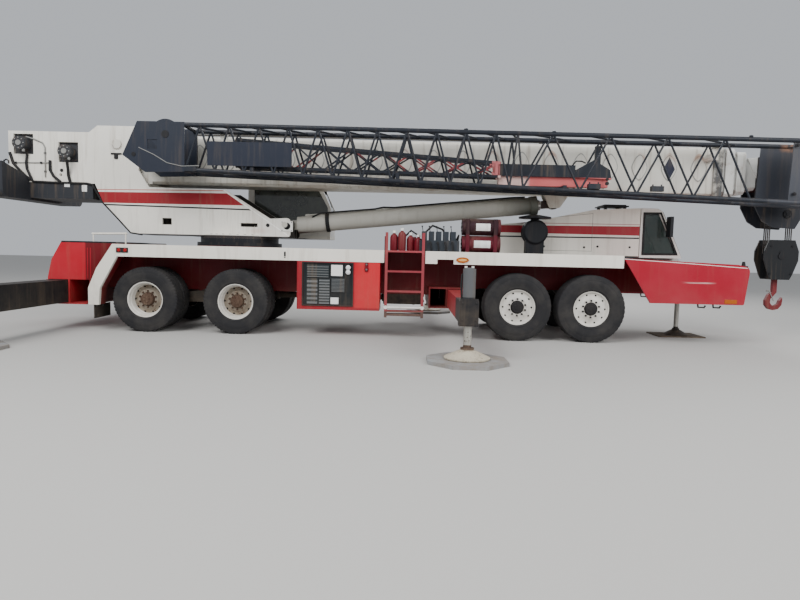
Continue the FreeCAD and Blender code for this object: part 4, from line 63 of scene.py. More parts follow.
world = bpy.data.worlds.new("pale_world")
world.use_nodes = True
world.node_tree.nodes["Background"].inputs["Color"].default_value = (0.86, 0.90, 0.96, 1)
world.node_tree.nodes["Background"].inputs["Strength"].default_value = 0.62
bpy.context.scene.world = world
LAMPS = [
    # name, watts, size, place, aim
    ("key_lamp", 2600, 9.0, (-7, -12, 12), (0, 0, 1.5)),
    ("fill_lamp", 1500, 10.0, (10, -10, 8), (1, 0, 1.5)),
    ("back_lamp", 1800, 9.0, (2, 13, 10), (0, 0, 2)),
]
for name, watts, size, place, aim in LAMPS:
    lamp = bpy.data.objects.new(name, bpy.data.lights.new(name, "AREA"))
    lamp.data.energy = watts
    lamp.data.size = size
    lamp.location = place
    lamp.rotation_euler = (Vector(aim) - Vector(place)).to_track_quat("-Z", "Y").to_euler()
    bpy.context.scene.collection.objects.link(lamp)

PAINT_SPECULAR = 0.18


def rgb(colour):
    return (*colour, 1.0)


def feed(material, socket, value):
    """Set an input of a material's shader, or link it where the value is another node's output."""
    target = material.node_tree.nodes["Principled BSDF"].inputs[socket]
    if isinstance(value, bpy.types.NodeSocket):
        material.node_tree.links.new(value, target)
    else:
        target.default_value = value


def plain_material(name, colour, roughness=0.6, metallic=0.0):
    """A new material with its Principled shader."""
    material = bpy.data.materials.new(name)
    material.use_nodes = True
    feed(material, "Base Color", rgb(colour))
    feed(material, "Roughness", roughness)
    feed(material, "Metallic", metallic)
    feed(material, "Specular IOR Level", PAINT_SPECULAR)
    return material


floor_mesh = bmesh.new()
bmesh.ops.create_grid(floor_mesh, x_segments=1, y_segments=1, size=60)
floor = bpy.data.objects.new("floor", bpy.data.meshes.new("floor"))
floor_mesh.to_mesh(floor.data)
floor_mesh.free()
bpy.context.scene.collection.objects.link(floor)
floor.data.materials.append(plain_material("pale_floor", (0.46, 0.45, 0.43), 0.85))

# Carrier frame: two deep rails, cross members, the slewing ring's base and the outrigger housings, of
# welded plate. It is bright red at the rear housing. Ahead of it a darker red is painted shade under the
# deck, and the ring's race is painted black for the shade under the upper. Road dirt lies on it,
# thicker towards the ground.
RED = (0.34, 0.003, 0.015)
HOUSING_RED = (0.40, 0.003, 0.015)
# Painted shade: a darker red for red parts in recesses and under the deck.
SHADED_RED = (0.13, 0.005, 0.009)
WHITE = (0.73, 0.695, 0.62)
BLACK = (0.012, 0.013, 0.016)
DUST = (0.215, 0.165, 0.115)
DRIP_STAIN = (0.20, 0.145, 0.095)
OLD_RUST = (0.16, 0.07, 0.04)


def add_node(beside, kind, inputs=None, **settings):
    """A shader node in the tree of the thing that it stands beside, with its settings, values and links."""
    tree = beside.id_data
    made = tree.nodes.new(kind)
    for key, value in settings.items():
        setattr(made, key, value)
    for key, value in (inputs or {}).items():
        if isinstance(value, bpy.types.NodeSocket):
            tree.links.new(value, made.inputs[key])
        else:
            made.inputs[key].default_value = value
    return made


def group_sockets(group, ins, outs):
    """Named sockets on a shader node group. Each entry is a name, a kind and a default."""
    for name, kind, value in ins:
        socket = group.interface.new_socket(name=name, in_out="INPUT", socket_type=kind)
        socket.default_value = value
    for name, kind in outs:
        group.interface.new_socket(name=name, in_out="OUTPUT", socket_type=kind)
    return group.nodes.new("NodeGroupInput").outputs, group.nodes.new("NodeGroupOutput").inputs


def maths(operation, first, second=0.0, clamp=False):
    """A Math node beside the socket that it reads."""
    beside = first if isinstance(first, bpy.types.NodeSocket) else second
    return add_node(beside, "ShaderNodeMath", {0: first, 1: second}, operation=operation,
                    use_clamp=clamp).outputs[0]


def plus(first, second, clamp=False):
    return maths("ADD", first, second, clamp)


def less(first, second, clamp=False):
    return maths("SUBTRACT", first, second, clamp)


def times(first, *others):
    """Values or masks multiplied: a point has to lie in every mask."""
    for other in others:
        first = maths("MULTIPLY", first, other)
    return first


def larger(first, second):
    return maths("MAXIMUM", first, second)


def away(value, middle=0.0):
    """Distance from a middle, to either side."""
    return maths("ABSOLUTE", less(value, middle) if middle else value)


def mixed(share, first, second):
    """Colour that goes from the first to the second as the share goes from 0 to 1."""
    return add_node(share, "ShaderNodeMix", {0: share, 6: first, 7: second}, data_type="RGBA").outputs[2]


def stepped(value, low, high):
    """Share that goes from 0 at one value to 1 at the other, whichever of them is the larger."""
    return add_node(value, "ShaderNodeMapRange", {"Value": value, "From Min": low, "From Max": high},
                    clamp=True).outputs[0]


def noise(spot, scale, detail=4.0, roughness=0.55):
    return add_node(spot, "ShaderNodeTexNoise", {"Vector": spot, "Scale": scale, "Detail": detail,
                                                 "Roughness": roughness}).outputs["Fac"]


def surface(tree):
    """Object coordinates of the surface."""
    return add_node(tree, "ShaderNodeTexCoord").outputs["Object"]


def split(vector):
    """A vector as three sockets named X, Y and Z."""
    return add_node(vector, "ShaderNodeSeparateXYZ", {0: vector}).outputs


def where(material):
    """Object coordinates on a material's surface as three sockets named X, Y and Z."""
    return split(surface(material.node_tree))


weathering = bpy.data.node_groups.new("weathering", "ShaderNodeTree")
given, results = group_sockets(
    weathering,
    [("Paint", "NodeSocketColor", rgb(WHITE)), ("Under", "NodeSocketColor", rgb(OLD_RUST)),
     ("Chips", "NodeSocketFloat", 0.3), ("Streaks", "NodeSocketFloat", 0.3),
     ("Dust", "NodeSocketFloat", 0.4), ("Gloss", "NodeSocketFloat", 0.35)],
    [("Colour", "NodeSocketColor"), ("Roughness", "NodeSocketFloat"), ("Height", "NodeSocketFloat")])
spot = surface(weathering)
drawn_out = add_node(spot, "ShaderNodeMapping", {"Vector": spot, "Scale": (7.0, 7.0, 0.55)}).outputs[0]
facing = split(add_node(weathering, "ShaderNodeNewGeometry").outputs["Normal"])
broad = noise(spot, 1.1, 5.0)
blotch = noise(spot, 5.5, 6.0, 0.65)
speck = noise(spot, 34.0, 8.0, 0.72)
drips = noise(drawn_out, 1.6, 6.0, 0.62)
chalky = add_node(weathering, "ShaderNodeHueSaturation", {"Color": given["Paint"], "Saturation": 0.92,
                                                         "Value": 1.16}).outputs[0]
faded = mixed(times(stepped(broad, 0.35, 0.75), 0.7), given["Paint"], chalky)
stained = mixed(times(stepped(drips, 0.52, 0.80), given["Streaks"]), faded, rgb(DRIP_STAIN))
low_down = stepped(split(spot)["Z"], 1.05, 0.0)
on_top = times(stepped(facing["Z"], 0.5, 0.95), 0.5)
settled = times(larger(low_down, on_top), stepped(blotch, 0.30, 0.72))
dust_share = maths("MULTIPLY", settled, given["Dust"], True)
dusty = mixed(dust_share, stained, rgb(DUST))
worn = stepped(plus(speck, times(blotch, 0.35)), less(1.02, times(given["Chips"], 0.30)),
               less(1.05, times(given["Chips"], 0.28)))
rough = plus(given["Gloss"], times(dust_share, 0.45))
rough = plus(rough, times(plus(worn, times(blotch, 0.5)), 0.22), True)
weathering.links.new(mixed(worn, dusty, given["Under"]), results["Colour"])
weathering.links.new(rough, results["Roughness"])
weathering.links.new(less(times(blotch, 0.35), worn), results["Height"])


def weathered(name, paint, chips=0.3, streaks=0.3, dust=0.4, gloss=0.35, under=OLD_RUST, coat=0.0):
    """Old paint or metal with faded patches, drip stains, settled dust and chips."""
    material = plain_material(name, paint, gloss)
    group = add_node(material.node_tree, "ShaderNodeGroup", node_tree=weathering, name="weathering")
    for key, value in (("Paint", rgb(paint)), ("Under", rgb(under)), ("Chips", chips),
                       ("Streaks", streaks), ("Dust", dust), ("Gloss", gloss)):
        group.inputs[key].default_value = value
    relief = add_node(group, "ShaderNodeBump", {"Height": group.outputs["Height"], "Strength": 0.12,
                                                "Distance": 0.004}, name="relief")
    feed(material, "Base Color", group.outputs["Colour"])
    feed(material, "Roughness", group.outputs["Roughness"])
    feed(material, "Normal", relief.outputs["Normal"])
    feed(material, "Coat Weight", coat)
    return material


def paint_over(material, *layers):
    """Paint layers over a weathered material's own paint, each a mask and its colour."""
    group = material.node_tree.nodes["weathering"]
    colour = group.inputs["Paint"].default_value[:]
    for mask, tint in layers:
        colour = mixed(mask, colour, rgb(tint))
    material.node_tree.links.new(colour, group.inputs["Paint"])


def dress(material, *node_names):
    """Give CAD nodes their finished material."""
    for node_name in node_names:
        for slot in nodes[node_name].material_slots:
            slot.material = material


carrier_red = weathered("carrier_red", HOUSING_RED, 0.30, 0.25, 0.5, 0.36, coat=0.08)
spot = where(carrier_red)
# Painted shade: darker red ahead of the rear housing, and black on the ring's race under the upper.
paint_over(carrier_red, (stepped(spot["X"], -5.46, -5.44), SHADED_RED),
           (stepped(spot["Z"], 1.462, 1.466), BLACK))
dress(carrier_red, "chassis_frame")

# Axles: two driven axles on walking beams at the back and two forged steering axles on leaf springs
# in front, with their knuckles. Cast iron under old black paint, dusty and greasy.
axle_black = weathered("axle_black", (0.030, 0.028, 0.027), 0.5, 0.3, 0.9, 0.55, (0.10, 0.055, 0.035))
dress(axle_black, "drive_axles", "steer_axles", "knuckle_steer_1_right", "knuckle_steer_1_left",
      "knuckle_steer_2_right", "knuckle_steer_2_left")

# Wheels: steel discs under rubber tyres, twin ones on the driven axles. The tyre is spun from its
# section and its shoulders are notched. The disc has ten hand holes and ten nuts round its hub.
SIDES = (("right", -1), ("left", 1))
RIM_RADIUS = 0.286
HAND_HOLES = 10
RIM_STEPS = HAND_HOLES * 4
NUT_CIRCLE = 0.138
TYRE_FACE_Y = 1.285
TWIN_SPACING = 0.335
TYRES = {
    # kind: radius, width, grooves across the crown, notches in the shoulder, notch depth
    "drive": (0.5425, 0.285, 4, 60, 0.010),
    "steer": (0.562, 0.400, 5, 44, 0.005),
}


def bump(height, strength, distance):
    return add_node(height, "ShaderNodeBump", {"Height": height, "Strength": strength,
                                               "Distance": distance}).outputs["Normal"]


tyre_rubber = plain_material("tyre_rubber", (0.02, 0.02, 0.02), 0.8)
spot = surface(tyre_rubber.node_tree)
clay = stepped(noise(spot, 3.2, 6.0, 0.6), 0.42, 0.72)
grain = noise(spot, 60.0, 6.0, 0.7)
tint = mixed(times(clay, 0.30), (0.013, 0.013, 0.015, 1), (0.095, 0.085, 0.072, 1))
feed(tyre_rubber, "Base Color", mixed(times(grain, 0.16), tint, (0.10, 0.095, 0.09, 1)))
feed(tyre_rubber, "Roughness", plus(0.62, times(grain, 0.28)))
feed(tyre_rubber, "Normal", bump(grain, 0.25, 0.003))
rim_white = weathered("rim_white", (0.62, 0.60, 0.55), 0.35, 0.35, 0.55, 0.42)
dish_grime = weathered("dish_grime", (0.26, 0.225, 0.18), 0.9, 0.9, 0.9, 0.6, (0.10, 0.05, 0.03))
hub_rust = weathered("hub_rust", (0.062, 0.034, 0.023), 1.0, 0.8, 0.5, 0.75, (0.045, 0.022, 0.016))
hub_black = weathered("hub_black", (0.012, 0.012, 0.014), 0.3, 0.1, 0.1, 0.45, (0.12, 0.08, 0.06))
# Painted shade: near-black for the inside of hand holes and bores.
hole_shade = plain_material("hole_shade", (0.008, 0.008, 0.009), 0.9)


def around(count, radius, first=0.0):
    """Offsets of evenly spaced points on a circle, the first one turned on by a share of a step."""
    turns = [math.tau * (number + first) / count for number in range(count)]
    return [(radius * math.cos(turn), radius * math.sin(turn)) for turn in turns]


def add_rod(mesh, start, end, radius, segments=12, radius_end=None, material_index=0):
    """A capped round bar from one point to another."""
    start, end = Vector(start), Vector(end)
    made = bmesh.ops.create_cone(mesh, cap_ends=True, segments=segments, radius1=radius,
                                 radius2=radius if radius_end is None else radius_end,
                                 depth=(end - start).length)["verts"]
    turn = (end - start).to_track_quat("Z", "Y").to_matrix()
    bmesh.ops.rotate(mesh, verts=made, cent=(0, 0, 0), matrix=turn)
    bmesh.ops.translate(mesh, verts=made, vec=(start + end) / 2)
    for face in {face for vert in made for face in vert.link_faces}:
        face.material_index = material_index


def spun(mesh, section, steps, material_index=0, closed=True):
    """Spin a section of (across, radius) points about the Y axis."""
    points = [mesh.verts.new((0, across, radius)) for across, radius in section]
    edges = [mesh.edges.new(pair) for pair in zip(points, points[1:])]
    if closed:
        edges.append(mesh.edges.new((points[-1], points[0])))
    before = set(mesh.faces)
    bmesh.ops.spin(mesh, geom=points + edges, cent=(0, 0, 0), axis=(0, 1, 0), angle=math.tau,
                   steps=steps, use_merge=True)
    for face in set(mesh.faces) - before:
        face.material_index = material_index


def pulled_out(mesh, faces, shift):
    """Extrude faces and move the new ones. Returns the moved vertices and faces."""
    made = bmesh.ops.extrude_face_region(mesh, geom=faces)["geom"]
    moved = [item for item in made if isinstance(item, bmesh.types.BMVert)]
    bmesh.ops.translate(mesh, verts=moved, vec=shift)
    return moved, [item for item in made if isinstance(item, bmesh.types.BMFace)]


def tyre_section(radius, width, grooves):
    """Section from one bead over the ribbed sidewalls and the grooved crown to the other bead."""
    half = width / 2
    crown = half * 0.80
    wall = [(0.78, RIM_RADIUS), (0.86, RIM_RADIUS + 0.012), (0.905, RIM_RADIUS + 0.030),
            (0.935, RIM_RADIUS + 0.034), (0.945, RIM_RADIUS + 0.046), (0.93, RIM_RADIUS + 0.050),
            (0.985, radius * 0.70), (1.0, radius * 0.76), (0.995, radius * 0.80), (0.965, radius * 0.845),
            (0.975, radius * 0.852), (0.965, radius * 0.88), (0.945, radius - 0.040), (0.90, radius - 0.012)]
    side = [(half * across, up) for across, up in wall] + [(crown, radius - 0.001)]
    tread = []
    for number in range(grooves):
        middle = crown * (1 - 2 * (number + 1) / (grooves + 1))
        tread += [(middle + 0.006, radius), (middle + 0.004, radius - 0.012), (middle - 0.004, radius - 0.012),
                  (middle - 0.006, radius)]
    return side + tread + [(-across, up) for across, up in reversed(side)]


def tyre_mesh(kind):
    """A tyre round the Y axis, with a notch at every third step of each shoulder."""
    radius, width, grooves, notches, depth = TYRES[kind]
    mesh = bmesh.new()
    spun(mesh, tyre_section(radius, width, grooves), notches * 3)
    for vert in mesh.verts:
        reach = math.hypot(vert.co.x, vert.co.z)
        across = abs(vert.co.y) / (width / 2)
        step = round(math.atan2(vert.co.x, vert.co.z) / math.tau * notches * 3) % 3
        if across > 0.72 and reach > radius - 0.045 and step == 0:
            scale = (reach - depth) / reach
            vert.co.x *= scale
            vert.co.z *= scale
            vert.co.y *= 0.985
    return mesh


def add_hand_holes(mesh, ring_radius, face_y, size, depth, material_index):
    """Press round pockets into the disc at each vertex that lies on the ring of holes."""
    for z, x in around(HAND_HOLES, ring_radius, 0.5):
        aim = Vector((x, face_y, z))
        centre = min(mesh.verts, key=lambda vert: (vert.co - aim).length)
        middle = centre.co.copy()
        region = list(centre.link_faces)
        bmesh.ops.inset_region(mesh, faces=region, thickness=size * 0.3, use_even_offset=True)
        rim = {vert for face in region for vert in face.verts if vert is not centre}
        for vert in rim:
            outward = vert.co - middle
            outward.y = 0
            vert.co = middle + outward.normalized() * size + Vector((0, 0.001, 0))
        moved = pulled_out(mesh, region, (0, -depth, 0))[0]
        bmesh.ops.delete(mesh, geom=region, context="FACES")
        for face in {face for vert in moved for face in vert.link_faces}:
            face.material_index = material_index


def rim_mesh(kind):
    """Disc, hub, nuts and brake drum of one wheel, facing +Y, round the tyre's middle."""
    half = TYRES[kind][1] / 2
    lip = half * 0.80 + 0.006
    mesh = bmesh.new()
    if kind == "drive":
        face, inner = -0.036, -half * 0.78 - TWIN_SPACING
        section = [(inner, 0.284), (inner, 0.300), (inner + 0.008, 0.303), (inner + 0.012, 0.285),
                   (lip - 0.010, 0.285), (lip - 0.008, 0.300), (lip - 0.003, 0.304), (lip + 0.001, 0.300),
                   (lip, 0.288), (lip - 0.006, 0.279), (lip - 0.022, 0.272), (lip - 0.055, 0.266),
                   (lip - 0.062, 0.256), (0.0, 0.250), (face + 0.012, 0.246), (face, 0.238)]
        dish = [(face, 0.238), (face + 0.001, 0.2225), (face + 0.002, 0.207), (face + 0.012, 0.185),
                (face + 0.034, 0.166), (face + 0.038, 0.150), (face + 0.038, 0.118)]
        hub = [(face + 0.038, 0.118), (face + 0.052, 0.108), (face + 0.090, 0.104), (face + 0.098, 0.094),
               (face + 0.100, 0.060), (face + 0.108, 0.052), (face + 0.110, 0.0)]
        back, drum_end, drum_radius = -0.10, -0.44, 0.205
    else:
        face, inner = lip - 0.040, -half * 0.78
        section = [(inner, 0.284), (inner, 0.300), (inner + 0.008, 0.303), (inner + 0.012, 0.285),
                   (lip - 0.010, 0.285), (lip - 0.008, 0.299), (lip - 0.003, 0.303), (lip + 0.001, 0.299),
                   (lip, 0.288), (lip - 0.006, 0.279), (lip - 0.026, 0.272), (face + 0.004, 0.262),
                   (face, 0.252)]
        dish = [(face, 0.252), (face, 0.2375), (face, 0.223), (face + 0.004, 0.190), (face + 0.012, 0.172),
                (face + 0.012, 0.150), (face + 0.012, 0.112)]
        hub = [(face + 0.012, 0.112), (face + 0.014, 0.100), (face + 0.034, 0.096), (face + 0.040, 0.088),
               (face + 0.041, 0.050), (face + 0.046, 0.044), (face + 0.047, 0.0)]
        back, drum_end, drum_radius = face - 0.035, 0.045, 0.185
    hole_y, hole_ring = dish[1]
    behind = [(back, 0.0), (back, 0.225), (back - 0.010, 0.262), (inner + 0.030, 0.270), (inner, 0.284)]
    for outline, material_index in ((section, 0), (dish, 1), (hub, 2), (behind, 2)):
        spun(mesh, outline, RIM_STEPS, material_index, closed=False)
    bmesh.ops.remove_doubles(mesh, verts=mesh.verts, dist=0.0002)
    bmesh.ops.recalc_face_normals(mesh, faces=mesh.faces)
    add_hand_holes(mesh, hole_ring, hole_y, 0.0175, 0.028, 3)
    spun(mesh, [(drum_end, 0.0), (drum_end, drum_radius), (back - 0.012, drum_radius), (back - 0.012, 0.0)],
         RIM_STEPS, 2, closed=False)
    nut_face = dish[-2][0]
    for z, x in around(10, NUT_CIRCLE):
        add_rod(mesh, (x, nut_face - 0.004, z), (x, nut_face + 0.022, z), 0.0165, 6, material_index=2)
        add_rod(mesh, (x, nut_face + 0.020, z), (x, nut_face + 0.034, z), 0.0095, 8, material_index=2)
    return mesh


def wheel_data(name, mesh, smooth):
    """Finish a wheel part's mesh once, so that each wheel takes a copy of it."""
    bmesh.ops.remove_doubles(mesh, verts=mesh.verts, dist=0.00005)
    bmesh.ops.recalc_face_normals(mesh, faces=mesh.faces)
    data = bpy.data.meshes.new(name)
    mesh.to_mesh(data)
    mesh.free()
    for face in data.polygons:
        face.use_smooth = True
    data.set_sharp_from_angle(angle=math.radians(smooth))
    return data


RIM_FINISH = {"drive": [rim_white, dish_grime, hub_rust, hole_shade],
              "steer": [rim_white, rim_white, hub_black, hole_shade]}
for kind in ("drive", "steer"):
    tyre_data = wheel_data(kind + "_tyre", tyre_mesh(kind), 24)
    rim_data = wheel_data(kind + "_rim", rim_mesh(kind), 32)
    radius, width = TYRES[kind][:2]
    outer = TYRE_FACE_Y - width / 2
    rows = [("tyre", tyre_data, outer, [tyre_rubber]), ("rim", rim_data, outer, RIM_FINISH[kind])]
    if kind == "drive":
        rows.insert(1, ("inner_tyre", tyre_data, outer - TWIN_SPACING, [tyre_rubber]))
    for node_name in ["wheel_%s_%d_%s" % (kind, axle, word) for axle in (1, 2) for word, side in SIDES]:
        side = dict(SIDES)[node_name.split("_")[-1]]
        low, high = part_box(node_name)
        centre = Vector(((low[0] + high[0]) / 2, 0, radius))
        turn = Matrix.Rotation(0 if side > 0 else math.pi, 4, "Z")
        for part, data, reach, materials in rows:
            mesh_data = data.copy()
            mesh_data.transform(Matrix.Translation(centre + Vector((0, reach * side, 0))) @ turn)
            piece = bpy.data.objects.new(node_name + "_" + part, mesh_data)
            for material in materials:
                mesh_data.materials.append(material)
            bpy.context.scene.collection.objects.link(piece)
            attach(piece, node_name)
            if part == "tyre":
                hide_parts(node_name)

# Rear housing: the closed red box across the frame's end. Pressed ribs stand in the shaded recess
# ahead of it, and a low white rail of tube is screwed to its top on the right.
RAIL_Y = -1.0


def new_piece(name, mesh, body, slot, material, smooth=30.0, bevel=0.0):
    """Close a bmesh into a finished piece that rides on a body."""
    bmesh.ops.remove_doubles(mesh, verts=mesh.verts, dist=0.00001)
    bmesh.ops.recalc_face_normals(mesh, faces=mesh.faces)
    piece = bpy.data.objects.new(name, bpy.data.meshes.new(name))
    mesh.to_mesh(piece.data)
    mesh.free()
    for item in material if isinstance(material, (list, tuple)) else [material]:
        piece.data.materials.append(item)
    for face in piece.data.polygons:
        face.use_smooth = smooth > 0
    if smooth > 0:
        piece.data.set_sharp_from_angle(angle=math.radians(smooth))
    bpy.context.scene.collection.objects.link(piece)
    if bevel:
        rounding = piece.modifiers.new("edges", "BEVEL")
        rounding.width = bevel
        rounding.segments = 2
        rounding.limit_method = "ANGLE"
        rounding.angle_limit = math.radians(35)
    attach(piece, body)


def add_box(mesh, low, high, material_index=0):
    """A closed box between two corners. Returns its vertices."""
    made = bmesh.ops.create_cube(mesh, size=1.0)["verts"]
    size = [abs(b - a) for a, b in zip(low, high)]
    centre = [(a + b) / 2 for a, b in zip(low, high)]
    bmesh.ops.scale(mesh, vec=size, verts=made)
    bmesh.ops.translate(mesh, vec=centre, verts=made)
    for face in {face for vert in made for face in vert.link_faces}:
        face.material_index = material_index
    return made


def add_tube(mesh, points, radius, segments=10, material_index=0):
    """A bent tube through a few points, mitred at each."""
    points = [Vector(point) for point in points]
    rings = []
    for number, point in enumerate(points):
        before = (point - points[number - 1]).normalized() if number else None
        after = (points[number + 1] - point).normalized() if number + 1 < len(points) else None
        along = ((before or after) + (after or before)).normalized()
        ring = bmesh.ops.create_circle(mesh, cap_ends=False, segments=segments, radius=radius)["verts"]
        turn = along.to_track_quat("Z", "Y").to_matrix()
        bmesh.ops.rotate(mesh, verts=ring, cent=(0, 0, 0), matrix=turn)
        bmesh.ops.translate(mesh, verts=ring, vec=point)
        rings.append(sorted({edge for vert in ring for edge in vert.link_edges}, key=lambda e: e.index))
    old = set(mesh.faces)
    for first, second in zip(rings, rings[1:]):
        bmesh.ops.bridge_loops(mesh, edges=first + second)
    for ring in (rings[0], rings[-1]):
        bmesh.ops.holes_fill(mesh, edges=ring, sides=0)
    for face in set(mesh.faces) - old:
        face.material_index = material_index


def joined(name, body, slot, material, boxes=(), rods=(), tubes=(), **finish):
    """A piece made of boxes, rods and tubes, each given by what its own function takes."""
    mesh = bmesh.new()
    for add, rows in ((add_box, boxes), (add_rod, rods), (add_tube, tubes)):
        for row in rows:
            add(mesh, *row)
    new_piece(name, mesh, body, slot, material, **finish)


red_paint = weathered("red_paint", RED, 0.30, 0.22, 0.55, 0.36, coat=0.08)
white_paint = weathered("white_paint", WHITE, 0.16, 0.20, 0.45, 0.34, coat=0.08)
joined("rear_recess_ribs", "carrier", "red_paint", red_paint, bevel=0.002, boxes=[
    ((x, side * 1.04, 0.86), (x + 0.014, side * 1.066, 1.38)) for side in (-1, 1) for x in (-5.42, -5.37)])
joined("rear_rail", "carrier", "white_paint", white_paint, tubes=[
    ([(-5.363, RAIL_Y, 1.621), (-4.766, RAIL_Y, 1.635)], 0.017, 12),
    ([(-5.34, RAIL_Y, 1.460), (-5.34, RAIL_Y, 1.628)], 0.012, 10),
    ([(-4.79, RAIL_Y, 1.460), (-4.79, RAIL_Y, 1.628)], 0.012, 10)])

# Deck: painted plate with white side bands that turn down into the rear fender posts. The top has
# a worn chequer pattern. Marker lamps and a lashing slot sit in the band.
BAND_Y = 1.295
CHEQUER = 150.0
LAMP_X, LAMP_Z = (-4.765, -4.66), 1.356
SLOT_X = -2.02
deck_paint = weathered("deck_paint", WHITE, 0.18, 0.30, 0.55, 0.36, coat=0.06)
spot = where(deck_paint)
out = away(spot["Y"])
on_deck = times(stepped(spot["Z"], 1.4535, 1.4545), stepped(out, 1.25, 1.24))
# Painted shade: darker red inboard of the side bands, under the deck plate.
paint_over(deck_paint, (stepped(out, 1.2335, 1.2325), SHADED_RED), (on_deck, (0.17, 0.155, 0.15)))
rows = maths("SINE", times(plus(spot["X"], spot["Y"]), CHEQUER))
columns = maths("SINE", times(less(spot["X"], spot["Y"]), CHEQUER))
studs = times(stepped(times(rows, columns), 0.35, 0.6), on_deck)
deck_paint.node_tree.links.new(bump(studs, 0.5, 0.003), deck_paint.node_tree.nodes["relief"].inputs["Normal"])
dress(deck_paint, "deck")


def cells(spot, scale):
    return add_node(spot, "ShaderNodeTexVoronoi", {"Vector": spot, "Scale": scale}).outputs["Distance"]


def lens(name, colour, roughness=0.22):
    """Lamp plastic, pressed in small cells under its gloss."""
    material = plain_material(name, colour, roughness)
    feed(material, "Normal", bump(cells(surface(material.node_tree), 160.0), 0.5, 0.002))
    feed(material, "Coat Weight", 0.3)
    return material


lens_red = lens("lens_red", (0.30, 0.006, 0.008))
lens_amber = lens("lens_amber", (0.36, 0.085, 0.004))
lens_pale = lens("lens_pale", (0.72, 0.40, 0.14))
lens_clear = lens("lens_clear", (0.72, 0.74, 0.74), 0.12)
rubber_black = weathered("rubber_black", (0.018, 0.018, 0.019), 0.1, 0.1, 0.5, 0.62, (0.05, 0.05, 0.05))
black_paint = weathered("black_paint", BLACK, 0.25, 0.12, 0.50, 0.42, (0.13, 0.12, 0.11))
for word, side in SIDES:
    face = BAND_Y * side
    joined("marker_lamp_" + word, "carrier", "lamp_lens", [rubber_black, lens_red], bevel=0.003,
           boxes=[((-4.812, face - 0.004 * side, 1.314), (-4.613, face + 0.012 * side, 1.398))],
           rods=[((x, face + 0.008 * side, LAMP_Z), (x, face + 0.022 * side, LAMP_Z), 0.032, 18, 0.026, 1)
                 for x in LAMP_X])
    mesh = bmesh.new()
    ring = bmesh.ops.create_circle(mesh, cap_ends=True, segments=28, radius=0.5)["verts"]
    bmesh.ops.rotate(mesh, verts=ring, cent=(0, 0, 0), matrix=Matrix.Rotation(math.pi / 2, 3, "X"))
    bmesh.ops.scale(mesh, verts=ring, vec=(0.21, 1, 0.092))
    bmesh.ops.translate(mesh, verts=ring, vec=(0.903, face - 0.003 * side, 1.323))
    lid = pulled_out(mesh, mesh.faces[:], (0, 0.020 * side, 0))[1]
    bmesh.ops.inset_region(mesh, faces=lid, thickness=0.026)
    for item in lid:
        item.material_index = 1
    new_piece("side_marker_" + word, mesh, "carrier", "lamp_lens", [lens_amber, lens_pale])
    # The lashing slot is a black plate: painted shade for its opening.
    joined("band_slot_shade_" + word, "carrier", "black_paint", black_paint,
           boxes=[((SLOT_X - 0.015, face - 0.002 * side, 1.316), (SLOT_X + 0.015, face + 0.0015 * side, 1.393))],
           rods=[((SLOT_X, face, 1.30), (SLOT_X, face + 0.006 * side, 1.30), 0.012, 12)])

# Front body: folded red sheet round the cab's foot that ends in the bumper, with a chromed edge
# strip on its shoulder, painted plain white for its bright reflection, tow hooks below and the lamps
# let into its nose.
FITTING_X, FITTING_Y = 5.55, -1.185


def between(value, low, high, soft=0.002):
    return times(stepped(value, low - soft, low + soft), stepped(value, high + soft, high - soft))


front_red = weathered("front_red", (0.31, 0.003, 0.018), 0.28, 0.18, 0.45, 0.30, coat=0.14)
spot = where(front_red)
scratch = add_node(front_red.node_tree, "ShaderNodeMapping", {"Vector": surface(front_red.node_tree),
                                                              "Scale": (1.6, 1.0, 60.0)}).outputs[0]
scuffs = times(between(spot["X"], 4.56, 5.00, 0.08), between(spot["Z"], 1.028, 1.048, 0.010),
               stepped(noise(scratch, 1.0, 3.0), 0.42, 0.60))
# Painted shade: darker red inside the front body, inboard of its sides, behind the nose and below the shoulder.
inner = times(stepped(away(spot["Y"]), 1.26, 1.255), stepped(spot["X"], 5.50, 5.49),
              stepped(spot["Z"], 1.28, 1.27))
paint_over(front_red, (inner, SHADED_RED), (scuffs, (0.66, 0.45, 0.42)))
dress(front_red, "front_body")
trim_white = weathered("trim_white", (0.74, 0.73, 0.69), 0.25, 0.2, 0.2, 0.3)
for word, side in SIDES:
    face = BAND_Y * side
    edge, hook_y = face - 0.006 * side, face * 0.94
    # The chromed strip is plain white paint: a painted reflection.
    joined("shoulder_strip_" + word, "carrier", "white_paint", trim_white,
           tubes=[([(3.552, edge, 1.403), (4.60, edge, 1.352), (5.56, edge, 1.298)], 0.008, 8)])
    joined("side_reflector_" + word, "carrier", "lamp_lens", lens_amber, bevel=0.003,
           boxes=[((5.219, face - 0.003 * side, 0.709), (5.422, face + 0.006 * side, 0.776))])
    joined("tow_hooks_" + word, "carrier", "black_paint", black_paint,
           tubes=[([(x - 0.06, hook_y, 0.70), (x - 0.05, hook_y, 0.635), (x + 0.05, hook_y, 0.632),
                    (x + 0.07, hook_y, 0.665)], 0.014, 10) for x in (4.88, 5.13)])
joined("bumper_fitting", "carrier", "black_paint", rubber_black, bevel=0.004,
       boxes=[((5.505, -1.24, 1.300), (5.600, -1.13, 1.335))],
       rods=[((FITTING_X, FITTING_Y, 1.33), (FITTING_X, FITTING_Y, 1.405), 0.034, 16, 0.022)])
lamp_glass = weathered("lamp_glass", (0.70, 0.72, 0.72), 0.02, 0.05, 0.15, 0.12, coat=0.8)
spot = where(lamp_glass)
paint_over(lamp_glass, (stepped(spot["X"], 0.1, 0.0), (0.34, 0.008, 0.010)),
           (times(stepped(spot["X"], 5.0, 5.1), stepped(spot["Z"], 0.86, 0.85)), (0.60, 0.24, 0.03)))
dress(lamp_glass, "lamps")

